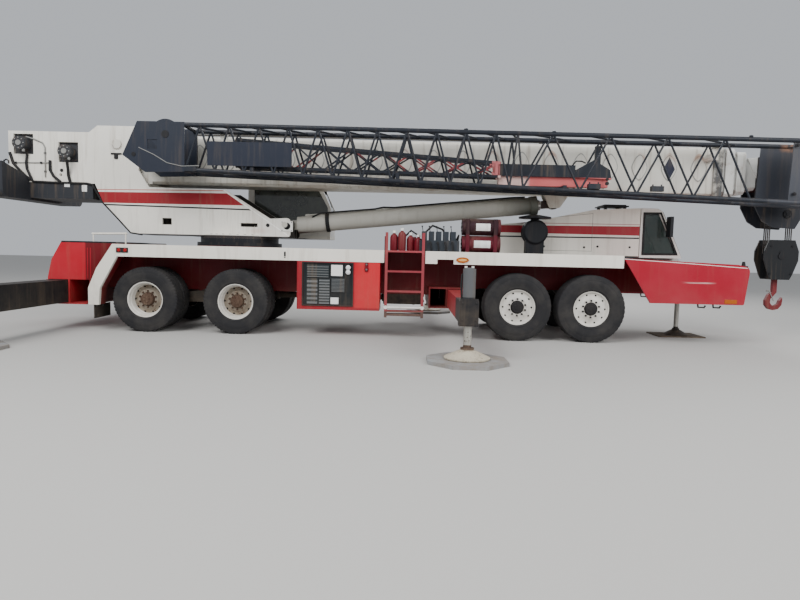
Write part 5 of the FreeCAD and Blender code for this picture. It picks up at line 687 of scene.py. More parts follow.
# Carrier cab: a narrow one-man cab of pressed sheet, hollow, in white with rubber-framed glass, a
# sprung seat, a hinged door on its left and mirrors on arms.
CAB_PAINT = (0.68, 0.665, 0.62)
GLASS_TINT = (0.020, 0.036, 0.030)
cab_white = weathered("cab_white", CAB_PAINT, 0.14, 0.18, 0.35, 0.28, coat=0.14)
cab_shell = weathered("cab_shell", CAB_PAINT, 0.14, 0.18, 0.35, 0.28, coat=0.14)
paint_over(cab_shell, (stepped(where(cab_shell)["Y"], 0.136, 0.134), BLACK))
dress(cab_shell, "carrier_cab")


def door_with_pane(name, x, y, z, mirror_y=9.0):
    """Cab paint with the glass of a door's window, which lies back in the leaf, and the mirror's black."""
    material = weathered(name, CAB_PAINT, 0.14, 0.18, 0.35, 0.28)
    spot = where(material)
    pane = times(between(spot["X"], *x), between(spot["Y"], *y, 0.0006), between(spot["Z"], *z))
    paint_over(material, (stepped(spot["Y"], mirror_y, mirror_y + 0.002), BLACK))
    paint = material.node_tree.nodes["weathering"].outputs
    feed(material, "Base Color", mixed(pane, paint["Colour"], (0.018, 0.030, 0.026, 1)))
    feed(material, "Roughness", times(paint["Roughness"], less(1.0, times(pane, 0.85))))
    feed(material, "Coat Weight", pane)
    return material


def window_rubber(name, body, corners, width, depth, bevel=0.002):
    """The rubber channel round a pane: a flat ring of even width inside an outline, given a thickness."""
    mesh = bmesh.new()
    outline = mesh.faces.new([mesh.verts.new(corner) for corner in corners])
    outline.normal_update()
    ring = bmesh.ops.inset_region(mesh, faces=[outline], thickness=width, use_boundary=True,
                                  use_even_offset=True)["faces"]
    bmesh.ops.delete(mesh, geom=[outline], context="FACES_ONLY")
    bmesh.ops.solidify(mesh, geom=ring, thickness=depth)
    new_piece(name, mesh, body, "flap_rubber", rubber_black, bevel=bevel)


dress(door_with_pane("carrier_door", (4.47, 5.02), (1.262, 1.2712), (1.505, 2.27), 1.329), "carrier_cab_door")
pane_glass = plain_material("pane_glass", GLASS_TINT, 0.06)
smear = stepped(noise(surface(pane_glass.node_tree), 4.0, 8.0, 0.7), 0.40, 0.85)
feed(pane_glass, "Base Color", mixed(times(smear, 0.5), rgb(GLASS_TINT), (0.13, 0.14, 0.12, 1)))
feed(pane_glass, "Roughness", plus(0.05, times(smear, 0.25)))
feed(pane_glass, "Alpha", plus(0.58, times(smear, 0.25)))
feed(pane_glass, "Coat Weight", 1.0)
dress(pane_glass, "carrier_cab_glass")
seat_vinyl = plain_material("seat_vinyl", (0.028, 0.027, 0.027), 0.55)
spot = surface(seat_vinyl.node_tree)
feed(seat_vinyl, "Normal", bump(cells(spot, 260.0), 0.3, 0.001))
feed(seat_vinyl, "Base Color", mixed(stepped(noise(spot, 9.0, 6.0), 0.5, 0.75), (0.026, 0.025, 0.025, 1),
                                     (0.075, 0.068, 0.06, 1)))
dress(seat_vinyl, "carrier_cab_interior", "operator_cab_interior")
window_rubber("side_window_rubber", "carrier", [
    (4.375, 0.146, 2.275), (4.712, 0.146, 2.280), (5.052, 0.146, 1.492), (4.375, 0.146, 1.482)], 0.034, 0.010)
window_rubber("door_window_rubber", "carrier_cab_door", [
    (4.464, 1.292, 1.494), (5.028, 1.292, 1.494), (4.682, 1.292, 2.268), (4.464, 1.292, 2.268)], 0.030, 0.008)
window_rubber("screen_rubber", "carrier", [
    (5.121, 0.175, 1.492), (5.121, 1.262, 1.492), (4.757, 1.262, 2.288), (4.757, 0.175, 2.288)], 0.034, 0.010)
WIPERS_Y = (0.42, 0.92)
joined("wipers", "carrier", "black_paint", black_paint,
       boxes=[((4.905, y + 0.15, 1.76), (4.915, y + 0.25, 1.775)) for y in WIPERS_Y],
       rods=[((5.135, y, 1.470), (5.118, y, 1.492), 0.016, 12) for y in WIPERS_Y],
       tubes=[([(5.138, y, 1.482), (5.020, y + 0.14, 1.735), (4.915, y + 0.20, 1.965)], 0.006, 8)
              for y in WIPERS_Y])

# Engine hood: white sheet-metal cover beside the cab with the red stripe carried along it, panel
# seams, quarter-turn latches and cooling louvres on its far side. The engine under it is cast iron.
HOOD_LATCHES = ((2.55, 1.60), (3.30, 1.60), (3.55, 1.62), (4.15, 1.62))
LOUVRE_TILT = math.radians(-14)


def under_line(spot, first, last, soft=0.002):
    """Mask of what lies under a line from one (x, z) point to another, seen from the side."""
    slope = (last[1] - first[1]) / (last[0] - first[0])
    rise = less(spot["Z"], times(spot["X"], slope))
    level_at = first[1] - slope * first[0]
    return stepped(rise, level_at + soft, level_at - soft)


def between_lines(spot, high, low):
    """Mask of what lies under the first line and over the second."""
    return less(under_line(spot, *high), under_line(spot, *low), True)


def line_mask(spot, first, last, width):
    """Mask of a painted line of even height between two (x, z) points."""
    return between_lines(spot, *[[(x, z + shift) for x, z in (first, last)] for shift in (width / 2, -width / 2)])


hood_white = weathered("hood_white", WHITE, 0.15, 0.25, 0.45, 0.32, coat=0.10)
spot = where(hood_white)
flank = larger(stepped(spot["Y"], 0.1525, 0.1515), stepped(spot["Y"], 1.2375, 1.2385))
upright_seam = times(between(spot["X"], 3.437, 3.443, 0.0015), between(spot["Z"], 1.54, 2.24))
lower_seam = times(between(spot["Z"], 1.527, 1.533, 0.0015), between(spot["X"], 2.444, 3.454))
roof_seam = times(line_mask(spot, (2.419, 2.113), (3.433, 2.229), 0.006), between(spot["X"], 2.419, 3.44))
red_band = between_lines(spot, ((1.68, 1.978), (4.25, 2.010)), ((1.68, 1.845), (4.25, 1.839)))
paint_over(
    hood_white, (times(flank, red_band), (0.30, 0.012, 0.022)),
    (times(flank, line_mask(spot, (1.68, 2.030), (4.25, 2.042), 0.010)), (0.30, 0.05, 0.05)),
    (times(flank, line_mask(spot, (1.68, 1.772), (4.25, 1.790), 0.026)), BLACK),
    (times(flank, larger(larger(upright_seam, lower_seam), roof_seam)), (0.10, 0.085, 0.07)))
dress(hood_white, "engine_hood")
dress(weathered("engine_iron", (0.05, 0.05, 0.048), 0.6, 0.5, 0.6, 0.6), "engine_block")
joined("hood_latches", "carrier", "bare_steel", rubber_black,
       boxes=[((x - 0.004, 0.138, z - 0.016), (x + 0.004, 0.146, z + 0.016)) for x, z in HOOD_LATCHES],
       rods=[((x, 0.152, z), (x, 0.143, z), 0.020, 16) for x, z in HOOD_LATCHES])
mesh = bmesh.new()
for number in range(9):
    z = 1.62 + number * 0.045
    louvre = add_box(mesh, (2.60, 1.236, z), (3.30, 1.239, z + 0.030))
    bmesh.ops.rotate(mesh, verts=louvre, cent=(2.95, 1.238, z), matrix=Matrix.Rotation(LOUVRE_TILT, 3, "X"))
new_piece("hood_louvres", mesh, "carrier", "white_paint", hood_white)

# Boom rest: a low black cradle of channel on four feet, bolted to the hood's roof, with a worn rubber
# strip along its top. The boom lies just above it on the road.
REST_FEET = [(x, y, z) for x, z in ((3.66, 2.309), (4.02, 2.330)) for y in (0.19, 0.60)]
joined("boom_rest", "carrier", "black_paint", [black_paint, rubber_black], bevel=0.004, boxes=[
    ((3.62, 0.17, 2.366), (4.11, 0.66, 2.392)), ((3.66, 0.20, 2.390), (4.07, 0.63, 2.410), 1),
    *[((x, y, z), (x + 0.05, y + 0.05, 2.370)) for x, y, z in REST_FEET]])

# Air cleaner: a black steel canister on a post before the hood, with a dome lid. Three steel bands
# are clamped round it.
CLEANER = Vector((2.29, 0, 1.845))
dress(black_paint, "air_cleaner")
mesh = bmesh.new()
for y in (-0.105, -0.19, -0.275):
    spun(mesh, [(y - 0.012, 0.219), (y - 0.012, 0.227), (y + 0.012, 0.227), (y + 0.012, 0.219)], 40)
bmesh.ops.translate(mesh, verts=mesh.verts, vec=CLEANER)
new_piece("cleaner_bands", mesh, "carrier", "black_paint", black_paint)

# Deck equipment: two strapped compressed-air receivers, the outrigger valve bank with its hoses and
# four small oil canisters standing behind the ladder.
RECEIVER_Y = -1.01
RECEIVERS = [
    # word, height of the middle, ends of the blank label
    ("upper", 1.875, 1.125, 1.362),
    ("lower", 1.593, 1.098, 1.371),
]
CANISTERS = [
    # x, y, height
    (-0.235, -0.98, 0.30),
    (-0.10, -1.03, 0.34),
    (0.045, -0.97, 0.27),
    (0.175, -1.04, 0.24),
]
CANISTER_FOOT_Z = 1.456


def add_turned(mesh, profile, base, axis="Z", steps=24, material_index=0):
    """A turned shape from (along, radius) points, set on a base point along an axis. Returns its vertices."""
    before = set(mesh.verts)
    spun(mesh, profile, steps, material_index, closed=False)
    made = [vert for vert in mesh.verts if vert not in before]
    turn = {"Z": Matrix.Rotation(math.pi / 2, 3, "X"), "X": Matrix.Rotation(-math.pi / 2, 3, "Z"),
            "Y": Matrix.Identity(3)}[axis]
    bmesh.ops.rotate(mesh, verts=made, cent=(0, 0, 0), matrix=turn)
    bmesh.ops.translate(mesh, verts=made, vec=base)
    return made


def add_wrap(mesh, x, width, y, z, radius, first, last, depth):
    """A curved plate round an X-wise cylinder, from one angle to another, in degrees."""
    turn = Matrix.Rotation(math.radians(first), 3, "X")
    ends = [mesh.verts.new(Vector((x + side * width / 2, y, z)) + turn @ Vector((0, 0, radius)))
            for side in (-1, 1)]
    before = set(mesh.faces)
    bmesh.ops.spin(mesh, geom=ends + [mesh.edges.new(ends)], cent=(0, y, z), axis=(1, 0, 0),
                   angle=math.radians(last - first), steps=max(4, int(abs(last - first) / 12)))
    bmesh.ops.solidify(mesh, geom=[face for face in mesh.faces if face not in before], thickness=depth)


kit_paint = weathered("kit_paint", (0.028, 0.034, 0.042), 0.5, 0.4, 0.6, 0.4)
spot = where(kit_paint)
tanks = stepped(spot["X"], 0.885, 0.895)
paint_over(kit_paint, (tanks, (0.085, 0.005, 0.014)),
           (times(tanks, stepped(spot["Z"], 1.72, 1.76)), (0.028, 0.010, 0.014)),
           (times(tanks, stepped(spot["X"], 1.49, 1.50)), (0.07, 0.010, 0.016)))
dress(kit_paint, "deck_equipment")
blank_label = weathered("blank_label", (0.72, 0.72, 0.70), 0.35, 0.4, 0.2, 0.35, (0.25, 0.25, 0.26))
for word, z, rear, front in RECEIVERS:
    mesh = bmesh.new()
    add_wrap(mesh, (rear + front) / 2, front - rear, RECEIVER_Y, z, 0.1392, 66, 116, 0.0015)
    new_piece("receiver_label_" + word, mesh, "carrier", "white_paint", blank_label)
    joined("receiver_fittings_" + word, "carrier", "black_paint", rubber_black, rods=[
        ((0.893, RECEIVER_Y, z), (0.902, RECEIVER_Y, z), 0.030, 12),
        *[((0.890, RECEIVER_Y + across, z + up), (0.902, RECEIVER_Y + across, z + up), 0.009, 6)
          for across, up in around(6, 0.075)]])
VALVES_X = [0.25 + number * 0.12 for number in range(5)]
joined("valve_bank_hoses", "carrier", "flap_rubber", rubber_black,
       rods=[((x, -1.215, 1.60), (x, -1.245, 1.60), 0.020, 10) for x in VALVES_X]
       + [((x, -1.02, 1.785), (x - 0.015, -1.05, 1.862), 0.006, 8) for x in VALVES_X]
       + [((x - 0.015, -1.05, 1.862), (x - 0.018, -1.054, 1.878), 0.014, 10) for x in VALVES_X],
       tubes=[([(x, -1.235, 1.60), (x + 0.01, -1.25, 1.55), (x + 0.02, -1.235, 1.48),
                (x + 0.03, -1.18, 1.462)], 0.013, 8) for x in VALVES_X]
       + [([(0.20, -0.98, 1.70), (0.05, -0.90, 1.80), (-0.05, -0.80, 1.70), (-0.10, -0.60, 1.49)], 0.016, 8),
          ([(0.30, -0.85, 1.78), (0.42, -0.70, 1.90), (0.60, -0.62, 1.84), (0.78, -0.60, 1.50)], 0.018, 8),
          ([(0.84, -0.95, 1.62), (0.87, -0.80, 1.74), (0.82, -0.66, 1.62), (0.70, -0.55, 1.48)], 0.014, 8)])
can_red = weathered("can_red", (0.13, 0.003, 0.010), 0.3, 0.3, 0.4, 0.35)
for number, (x, y, height) in enumerate(CANISTERS):
    foot = (x, y, CANISTER_FOOT_Z)
    mesh = bmesh.new()
    add_turned(mesh, [(0, 0), (0, 0.060), (0.01, 0.068), (height - 0.08, 0.068), (height - 0.04, 0.052),
                      (height - 0.02, 0.024), (height, 0.022)], foot)
    add_turned(mesh, [(height - 0.006, 0.0), (height - 0.006, 0.030), (height + 0.028, 0.030),
                      (height + 0.034, 0.024), (height + 0.034, 0.0)], foot, steps=16, material_index=1)
    new_piece("canister_%d" % number, mesh, "carrier", "red_paint", [can_red, trim_white])

# Toolbox: a red steel locker hung below the deck, its hinged door pressed with a dark screened panel
# of grey slats, two small lamps, a blank service plate and a recessed latch.
DOOR_Y = -1.2992
SCREEN_REAR, SCREEN_FRONT, SCREEN_LOW, SCREEN_HIGH = -1.715, -0.905, 0.529, 1.217
SCREEN_RIM = 0.020
SLATTED = [
    # rear, bottom, front, top, number of slats, share of the pitch that a slat fills
    (-1.655, 0.544, -1.470, 0.964, 6, 0.55),
    (-1.455, 0.544, -1.270, 0.964, 9, 0.6),
    (-1.655, 0.985, -1.290, 1.190, 5, 0.35),
    (-1.249, 0.747, -1.025, 0.974, 10, 0.5),
]
PLATES = ((-1.252, 1.013, -1.064, 1.194), (-1.256, 0.547, -1.126, 0.655))
PLATE_SCREW = 0.012
SCREEN_LAMP_X, LATCH_X = -0.973, -0.671
toolbox_red = weathered("toolbox_red", (0.38, 0.004, 0.015), 0.25, 0.25, 0.30, 0.34, coat=0.10)
spot = where(toolbox_red)
on_door = stepped(spot["Y"], -1.285, -1.287)
screen = times(on_door, between(spot["X"], SCREEN_REAR, SCREEN_FRONT), between(spot["Z"], SCREEN_LOW, SCREEN_HIGH))
paint_over(toolbox_red, (times(stepped(spot["X"], -0.92, -0.80), on_door), (0.50, 0.008, 0.016)),
           (times(on_door, larger(stepped(spot["X"], -1.74, -1.76), stepped(spot["Z"], 0.50, 0.48))),
            (0.28, 0.004, 0.015)),
           (screen, (0.011, 0.014, 0.016)))
dress(toolbox_red, "toolbox", "toolbox_door")
screen_grey = weathered("screen_grey", (0.026, 0.032, 0.035), 0.5, 0.6, 0.4, 0.45, (0.30, 0.30, 0.29))
slat_grey = weathered("slat_grey", (0.125, 0.132, 0.135), 0.5, 0.5, 0.3, 0.45, (0.10, 0.10, 0.10))
joined("screen_frame", "toolbox_door", "black_paint", rubber_black, bevel=0.003, boxes=[
    ((rear, DOOR_Y - 0.010, low), (front, DOOR_Y + 0.002, high)) for rear, low, front, high in (
        (SCREEN_REAR - SCREEN_RIM, 0.511, SCREEN_REAR, 1.235), (SCREEN_FRONT, 0.511, SCREEN_FRONT + SCREEN_RIM, 1.235),
        (SCREEN_REAR, 0.511, SCREEN_FRONT, SCREEN_LOW), (SCREEN_REAR, SCREEN_HIGH, SCREEN_FRONT, 1.235))])
mesh = bmesh.new()
for rear, low, front, high, slats, share in SLATTED:
    add_box(mesh, (rear, DOOR_Y - 0.004, low), (front, DOOR_Y + 0.001, high))
    pitch = (high - low) / slats
    for number in range(slats):
        add_box(mesh, (rear + 0.006, DOOR_Y - 0.009, low + pitch * number + 0.003),
                (front - 0.006, DOOR_Y - 0.003, low + pitch * (number + share)), 1)
new_piece("screen_slats", mesh, "toolbox_door", "grey_paint", [screen_grey, slat_grey], bevel=0.001)
joined("blank_plates", "toolbox_door", "white_paint", [blank_label, slat_grey], bevel=0.0015,
       boxes=[((rear, DOOR_Y - 0.008, low), (front, DOOR_Y + 0.001, high)) for rear, low, front, high in PLATES],
       rods=[((x, DOOR_Y - 0.007, z), (x, DOOR_Y - 0.011, z), 0.004, 8, 0.003, 1)
             for rear, low, front, high in PLATES for x in (rear + PLATE_SCREW, front - PLATE_SCREW)
             for z in (low + PLATE_SCREW, high - PLATE_SCREW)])
mesh = bmesh.new()
for z in (1.154, 1.078):
    add_turned(mesh, [(0.012, 0), (0.012, 0.036), (0.0, 0.040), (-0.010, 0.034), (-0.018, 0.020), (-0.020, 0)],
               (SCREEN_LAMP_X, DOOR_Y - 0.006, z), "Y", 20)
    add_rod(mesh, (SCREEN_LAMP_X, DOOR_Y + 0.001, z), (SCREEN_LAMP_X, DOOR_Y - 0.006, z), 0.044, 20, None, 1)
new_piece("screen_lamps", mesh, "toolbox_door", "lamp_lens", [lens_clear, rubber_black])
joined("door_latch", "toolbox_door", "bare_steel", [can_red, slat_grey], bevel=0.002,
       boxes=[((LATCH_X - 0.027, DOOR_Y - 0.004, 1.093), (LATCH_X + 0.027, DOOR_Y + 0.001, 1.245))],
       rods=[((LATCH_X, DOOR_Y + 0.001, 1.140), (LATCH_X, DOOR_Y - 0.003, 1.140), 0.036, 20),
             *[((LATCH_X, DOOR_Y - 0.003, z), (LATCH_X, DOOR_Y - 0.013, z), 0.014, 12, None, 1)
               for z in (1.130, 1.215)]])

# Fuel tank: a round tank of steel sheet under old black paint, held on the left side by two straps,
# with a filler neck and its cap.
TANK_Y, TANK_Z = 0.96, 0.88
tank_black = weathered("tank_black", (0.030, 0.032, 0.036), 0.35, 0.4, 0.7, 0.36, (0.14, 0.09, 0.06))
dress(tank_black, "fuel_tank")
mesh = bmesh.new()
for x in (-1.50, -0.90):
    add_wrap(mesh, x, 0.05, TANK_Y, TANK_Z, 0.3005, -150, 100, 0.003)
new_piece("tank_straps", mesh, "carrier", "bare_steel", slat_grey)
mesh = bmesh.new()
add_turned(mesh, [(0, 0.038), (0.045, 0.038), (0.045, 0.055), (0.075, 0.052), (0.080, 0.0)],
           (-0.80, 1.10, 1.13), "Z", 20)
new_piece("tank_filler", mesh, "carrier", "black_paint", black_paint)

# Ladders: square-tube rails with flat treads up each side of the deck, in faded red, with a pale
# crossbar and a dark folding foot tread at the bottom.
CROSSBAR_Z = 0.512
TREADS_Z = (1.455, 1.125, 0.795, 0.465)
ladder_red = weathered("ladder_red", (0.25, 0.032, 0.042), 0.45, 0.35, 0.55, 0.5, (0.30, 0.22, 0.20))
spot = where(ladder_red)
paint_over(ladder_red, (stepped(spot["Z"], 0.46, 0.44), (0.10, 0.055, 0.048)),
           (times(stepped(spot["Z"], 1.39, 1.41), stepped(spot["Z"], 1.47, 1.45)), (0.31, 0.045, 0.055)))
dress(ladder_red, "ladders")
for word, side, x in (("right", -1, -0.37), ("left", 1, -0.48)):
    mesh = bmesh.new()
    add_rod(mesh, (x + 0.05, 1.278 * side, CROSSBAR_Z), (x + 0.60, 1.278 * side, CROSSBAR_Z), 0.017, 14)
    for end in (x + 0.022, x + 0.628):
        add_turned(mesh, [(-0.03, 0), (-0.03, 0.030), (-0.02, 0.036), (0.02, 0.036), (0.03, 0.030), (0.03, 0)],
                   (end, 1.262 * side, CROSSBAR_Z), "Y", 16)
    new_piece("ladder_crossbar_" + word, mesh, "carrier", "white_paint", trim_white)
    joined("tread_grips_" + word, "carrier", "red_paint", ladder_red, smooth=0, rods=[
        ((x + 0.055 + number * 0.043, y * side, z - 0.002), (x + 0.055 + number * 0.043, y * side, z + 0.004),
         0.009, 8, 0.005) for z in TREADS_Z for number in range(13) for y in (1.23, 1.26)])
    joined("foot_tread_" + word, "carrier", "red_paint", ladder_red, bevel=0.004,
           boxes=[((x + 0.012, side * 1.16, 0.372), (x + 0.638, side * 1.284, 0.412))])

# Outriggers: box beams that slide out sideways with a hydraulic jack at each end, cast floats on
# octagonal pads, a front jack under the bumper and rubber flaps behind the rear wheels.
JACK_Y, BEAM_END_Y = 3.355, 3.464
FLOAT_RIBS = 8
OUTRIGGERS = [
    # place, x of the jack, side
    ("mid_right", 0.81, -1),
    ("mid_left", 0.53, 1),
    ("rear_right", -5.92, -1),
    ("rear_left", -5.56, 1),
]
beam_mid = weathered("beam_mid", (0.27, 0.004, 0.014), 0.55, 0.5, 0.5, 0.42, (0.10, 0.06, 0.05))
spot = where(beam_mid)
out = away(spot["Y"])
paint_over(beam_mid, (stepped(out, 2.80, 2.84), (0.022, 0.025, 0.030)),
           (times(stepped(out, 3.235, 3.240), stepped(spot["Z"], 0.862, 0.868)), (0.090, 0.093, 0.098)))
dress(beam_mid, "outrigger_beam_mid_right", "outrigger_beam_mid_left")
beam_black = weathered("beam_black", (0.012, 0.013, 0.015), 0.35, 0.3, 0.35, 0.45, (0.08, 0.05, 0.035))
dress(beam_black, "outrigger_beam_rear_right", "outrigger_beam_rear_left")
STEEL_ROD = (0.50, 0.49, 0.45)
jack_mix = weathered("jack_mix", (0.50, 0.45, 0.35), 0.85, 0.6, 0.3, 0.40, (0.06, 0.035, 0.025))
spot = where(jack_mix)
bare = stepped(spot["Z"], 0.236, 0.242)
paint_over(jack_mix, (stepped(spot["Z"], 0.165, 0.185), (0.075, 0.045, 0.035)), (bare, STEEL_ROD))
feed(jack_mix, "Metallic", times(bare, 0.85))
front_jack_mix = weathered("front_jack_mix", (0.030, 0.026, 0.024), 0.45, 0.5, 0.3, 0.40, (0.11, 0.06, 0.04))
bare = stepped(where(front_jack_mix)["Z"], 0.166, 0.172)
paint_over(front_jack_mix, (bare, STEEL_ROD))
feed(front_jack_mix, "Metallic", times(bare, 0.85))
dress(front_jack_mix, "front_jack")
pad_grey = weathered("pad_grey", (0.27, 0.28, 0.29), 0.5, 0.3, 0.8, 0.7, (0.16, 0.15, 0.14))
paint_over(pad_grey, (stepped(where(pad_grey)["X"], 2.0, 2.1), (0.040, 0.034, 0.030)))
dress(pad_grey, "ground_pads")
dress(rubber_black, "mud_flaps")
for place, x, side in OUTRIGGERS:
    jack, beam = "outrigger_jack_" + place, "outrigger_beam_" + place
    dress(jack_mix, jack)
    y = side * JACK_Y
    mesh = bmesh.new()
    for number in range(FLOAT_RIBS):
        rib = add_box(mesh, (0.100, -0.008, 0.060), (0.255, 0.008, 0.100))
        for vert in rib:
            if vert.co.x < 0.15 and vert.co.z > 0.08:
                vert.co.z = 0.165
        turn = Matrix.Rotation(number * math.tau / FLOAT_RIBS + 0.2, 3, "Z")
        bmesh.ops.rotate(mesh, verts=rib, cent=(0, 0, 0), matrix=turn)
        bmesh.ops.translate(mesh, verts=rib, vec=(x, y, 0))
    new_piece("float_ribs_" + place, mesh, jack, "bare_steel", jack_mix, bevel=0.003)
    port_y = y - 0.03 * side
    joined("jack_head_" + place, beam, "bare_steel", [slat_grey, trim_white, rubber_black],
           rods=[((x, y, 1.2352), (x, y, 1.247), 0.062, 20),
                 *[((x + shift, port_y, 1.240), (x + shift, port_y, 1.268), 0.018, 8, None, 1)
                   for shift in (-0.045, 0.045)]],
           tubes=[([(x - 0.070, y, 1.180), (x - 0.098, y, 1.150), (x - 0.105, y, 1.02), (x - 0.090, y, 0.81)],
                   0.011, 8, 2)])
    end = side * BEAM_END_Y
    if place.startswith("mid"):
        joined("foot_plate_" + place, beam, "black_paint", black_paint, bevel=0.004,
               boxes=[((x - 0.118, end - 0.005 * side, 0.500), (x + 0.118, end + 0.004 * side, 0.85))],
               rods=[((x + shift, end - 0.006 * side, z), (x + shift, end + 0.010 * side, z), 0.015, 6)
                     for z in (0.57, 0.79) for shift in (-0.09, 0.09)])
    else:
        joined("end_reflectors_" + place, beam, "lamp_lens", lens_clear, boxes=[
            ((x + shift - 0.03, end - 0.005 * side, 0.56), (x + shift + 0.03, end, 0.66))
            for shift in (-0.08, 0.08)])
joined("flap_bolts", "carrier", "bare_steel", slat_grey, rods=[
    ((-5.188, y + shift, 0.415), (-5.180, y + shift, 0.415), 0.014, 8)
    for y in (-1.02, 1.02) for shift in (-0.2, 0.0, 0.2)])

# Upper frame: two deep side plates on the slewing ring, cream with a red stripe edged in black, and
# a tail that carries the winches. Hydraulic hoses drop from the winch motors to the counterweight.
SLEW_X, RING_TOP_Z = -3.115, 1.655
BOOM_PIN_X, BOOM_PIN_Z = -5.163, 3.200
LIFT_PIN_X, LIFT_PIN_Z = -2.15, 1.840
PLATE_STRIPE = (((-5.435, 2.370), (-3.211, 2.392)), ((-5.378, 2.179), (-2.914, 2.187)))
HOSES = [
    # points, radius
    ([(-6.741, -0.515, 2.993), (-6.755, -0.530, 2.85), (-6.745, -0.530, 2.74), (-6.662, -0.520, 2.541)], 0.022),
    ([(-7.050, -0.520, 3.02), (-6.985, -0.530, 2.83), (-6.86, -0.530, 2.70), (-6.703, -0.520, 2.545)], 0.024),
    ([(-6.340, -0.520, 2.895), (-6.335, -0.530, 2.73), (-6.275, -0.530, 2.62), (-6.158, -0.520, 2.525)], 0.024),
    ([(-5.974, -0.640, 2.900), (-6.000, -0.560, 2.75), (-6.012, -0.530, 2.64), (-5.985, -0.520, 2.516)], 0.024),
    ([(-6.66, -0.512, 2.525), (-6.2, -0.512, 2.512), (-5.70, -0.512, 2.510), (-5.60, -0.512, 2.49),
      (-5.56, -0.512, 2.42)], 0.018),
    ([(-5.575, -0.512, 2.45), (-5.43, -0.512, 2.19), (-5.18, -0.512, 1.93), (-4.93, -0.512, 1.66),
      (-4.72, -0.512, 1.63)], 0.014),
]
PIPE_CLIPS = ((-6.95, 2.846), (-6.50, 2.853), (-6.428, 3.02), (-6.430, 2.70))
upper_cream = weathered("upper_cream", (0.72, 0.695, 0.63), 0.18, 0.45, 0.25, 0.34, (0.24, 0.15, 0.10), coat=0.08)
spot = where(upper_cream)
flank = times(stepped(away(spot["Y"]), 0.494, 0.497), stepped(away(spot["Y"]), 0.506, 0.503),
              stepped(spot["X"], -5.60, -5.59))
behind_nose = times(flank, under_line(spot, (-3.296, 2.446), (-2.640, 2.002), 0.004))
rust_mark = times(flank, between(spot["X"], -2.80, -2.48, 0.10), between(spot["Z"], 1.72, 1.77, 0.04))
paint_over(
    upper_cream, (times(behind_nose, between_lines(spot, *PLATE_STRIPE)), (0.27, 0.010, 0.016)),
    (times(flank, stepped(spot["X"], -3.25, -3.29), line_mask(spot, (-5.482, 2.411), (-3.270, 2.437), 0.014)),
     (0.42, 0.07, 0.05)),
    (times(behind_nose, line_mask(spot, (-5.367, 2.148), (-2.818, 2.114), 0.026)), BLACK),
    # Painted highlight: a thin near-white line along the side plate's slanted edge.
    (times(flank, line_mask(spot, (-3.275, 2.449), (-2.620, 2.006), 0.020)), (0.86, 0.85, 0.80)),
    (times(rust_mark, 0.35), (0.50, 0.20, 0.15)),
    # Painted shade: near-black on the upper's underside below the ring's top, behind its nose.
    (times(stepped(spot["Z"], 1.655, 1.650), stepped(spot["X"], -1.9, -2.0)), (0.035, 0.030, 0.030)),
    # Painted shade: dark on the inboard faces low between the side plates.
    (times(stepped(away(spot["Y"]), 0.455, 0.4515), stepped(spot["Z"], 2.50, 2.48)), (0.055, 0.050, 0.045)))
dress(upper_cream, "upper_frame")
joined("winch_hoses", "upper", "flap_rubber", rubber_black, tubes=HOSES)
pipe_grey = weathered("pipe_grey", (0.22, 0.22, 0.21), 0.4, 0.4, 0.3, 0.4, (0.14, 0.08, 0.05))
joined("tail_pipes", "upper", "bare_steel", [pipe_grey, rubber_black], bevel=0.002,
       boxes=[((x - 0.018, -0.520, z - 0.018), (x + 0.018, -0.500, z + 0.018), 1) for x, z in PIPE_CLIPS],
       tubes=[([(-7.022, -0.510, 2.846), (-6.369, -0.510, 2.855)], 0.009, 8),
              ([(-6.76, -0.510, 3.30), (-6.60, -0.512, 3.255), (-6.47, -0.512, 3.20), (-6.425, -0.512, 3.12),
                (-6.430, -0.510, 2.60)], 0.012, 8)])
# The pin's bore is a near-black disc: painted shade.
joined("boom_pin_ends", "upper", "white_paint", [upper_cream, hole_shade], bevel=0.002, rods=[
    ((BOOM_PIN_X, side * start, BOOM_PIN_Z), (BOOM_PIN_X, side * end, BOOM_PIN_Z), *rest)
    for side in (-1, 1) for start, end, *rest in ((0.502, 0.512, 0.085, 28), (0.512, 0.516, 0.056, 24, None, 1))])
joined("plate_fittings", "upper", "black_paint", rubber_black,
       boxes=[((-5.265, -0.513, 3.025), (-5.077, -0.500, 3.052)), ((-5.205, -0.516, 2.949), (-5.140, -0.500, 3.030))],
       rods=[((-6.145, -0.501, 2.730), (-6.145, -0.506, 2.730), 0.030, 18),
             ((-2.489, -0.501, 1.849), (-2.489, -0.508, 1.849), 0.032, 20)])
joined("nose_plates", "upper", "white_paint", cab_white, bevel=0.003, boxes=[
    ((-2.255, -0.507, 1.745), (-2.045, -0.498, 1.930)), ((-3.02, -0.505, 1.700), (-2.98, -0.498, 1.735))])
# Near-black discs: painted shade in the lift pin's bore and in the nose plates' bolt holes.
joined("nose_bore_shade", "upper", "black_paint", hole_shade, rods=[
    ((LIFT_PIN_X, -0.506, LIFT_PIN_Z), (LIFT_PIN_X, -0.509, LIFT_PIN_Z), 0.062, 26),
    *[((x, -0.506, z), (x, -0.511, z), 0.008, 8) for x in (-2.235, -2.065) for z in (1.765, 1.910)]])
joined("ring_bolts", "upper", "bare_steel", hub_black, smooth=0, rods=[
    ((SLEW_X + along, y, RING_TOP_Z), (SLEW_X + along, y, RING_TOP_Z + 0.021), 0.019, 6)
    for along, y in around(32, 0.655)])

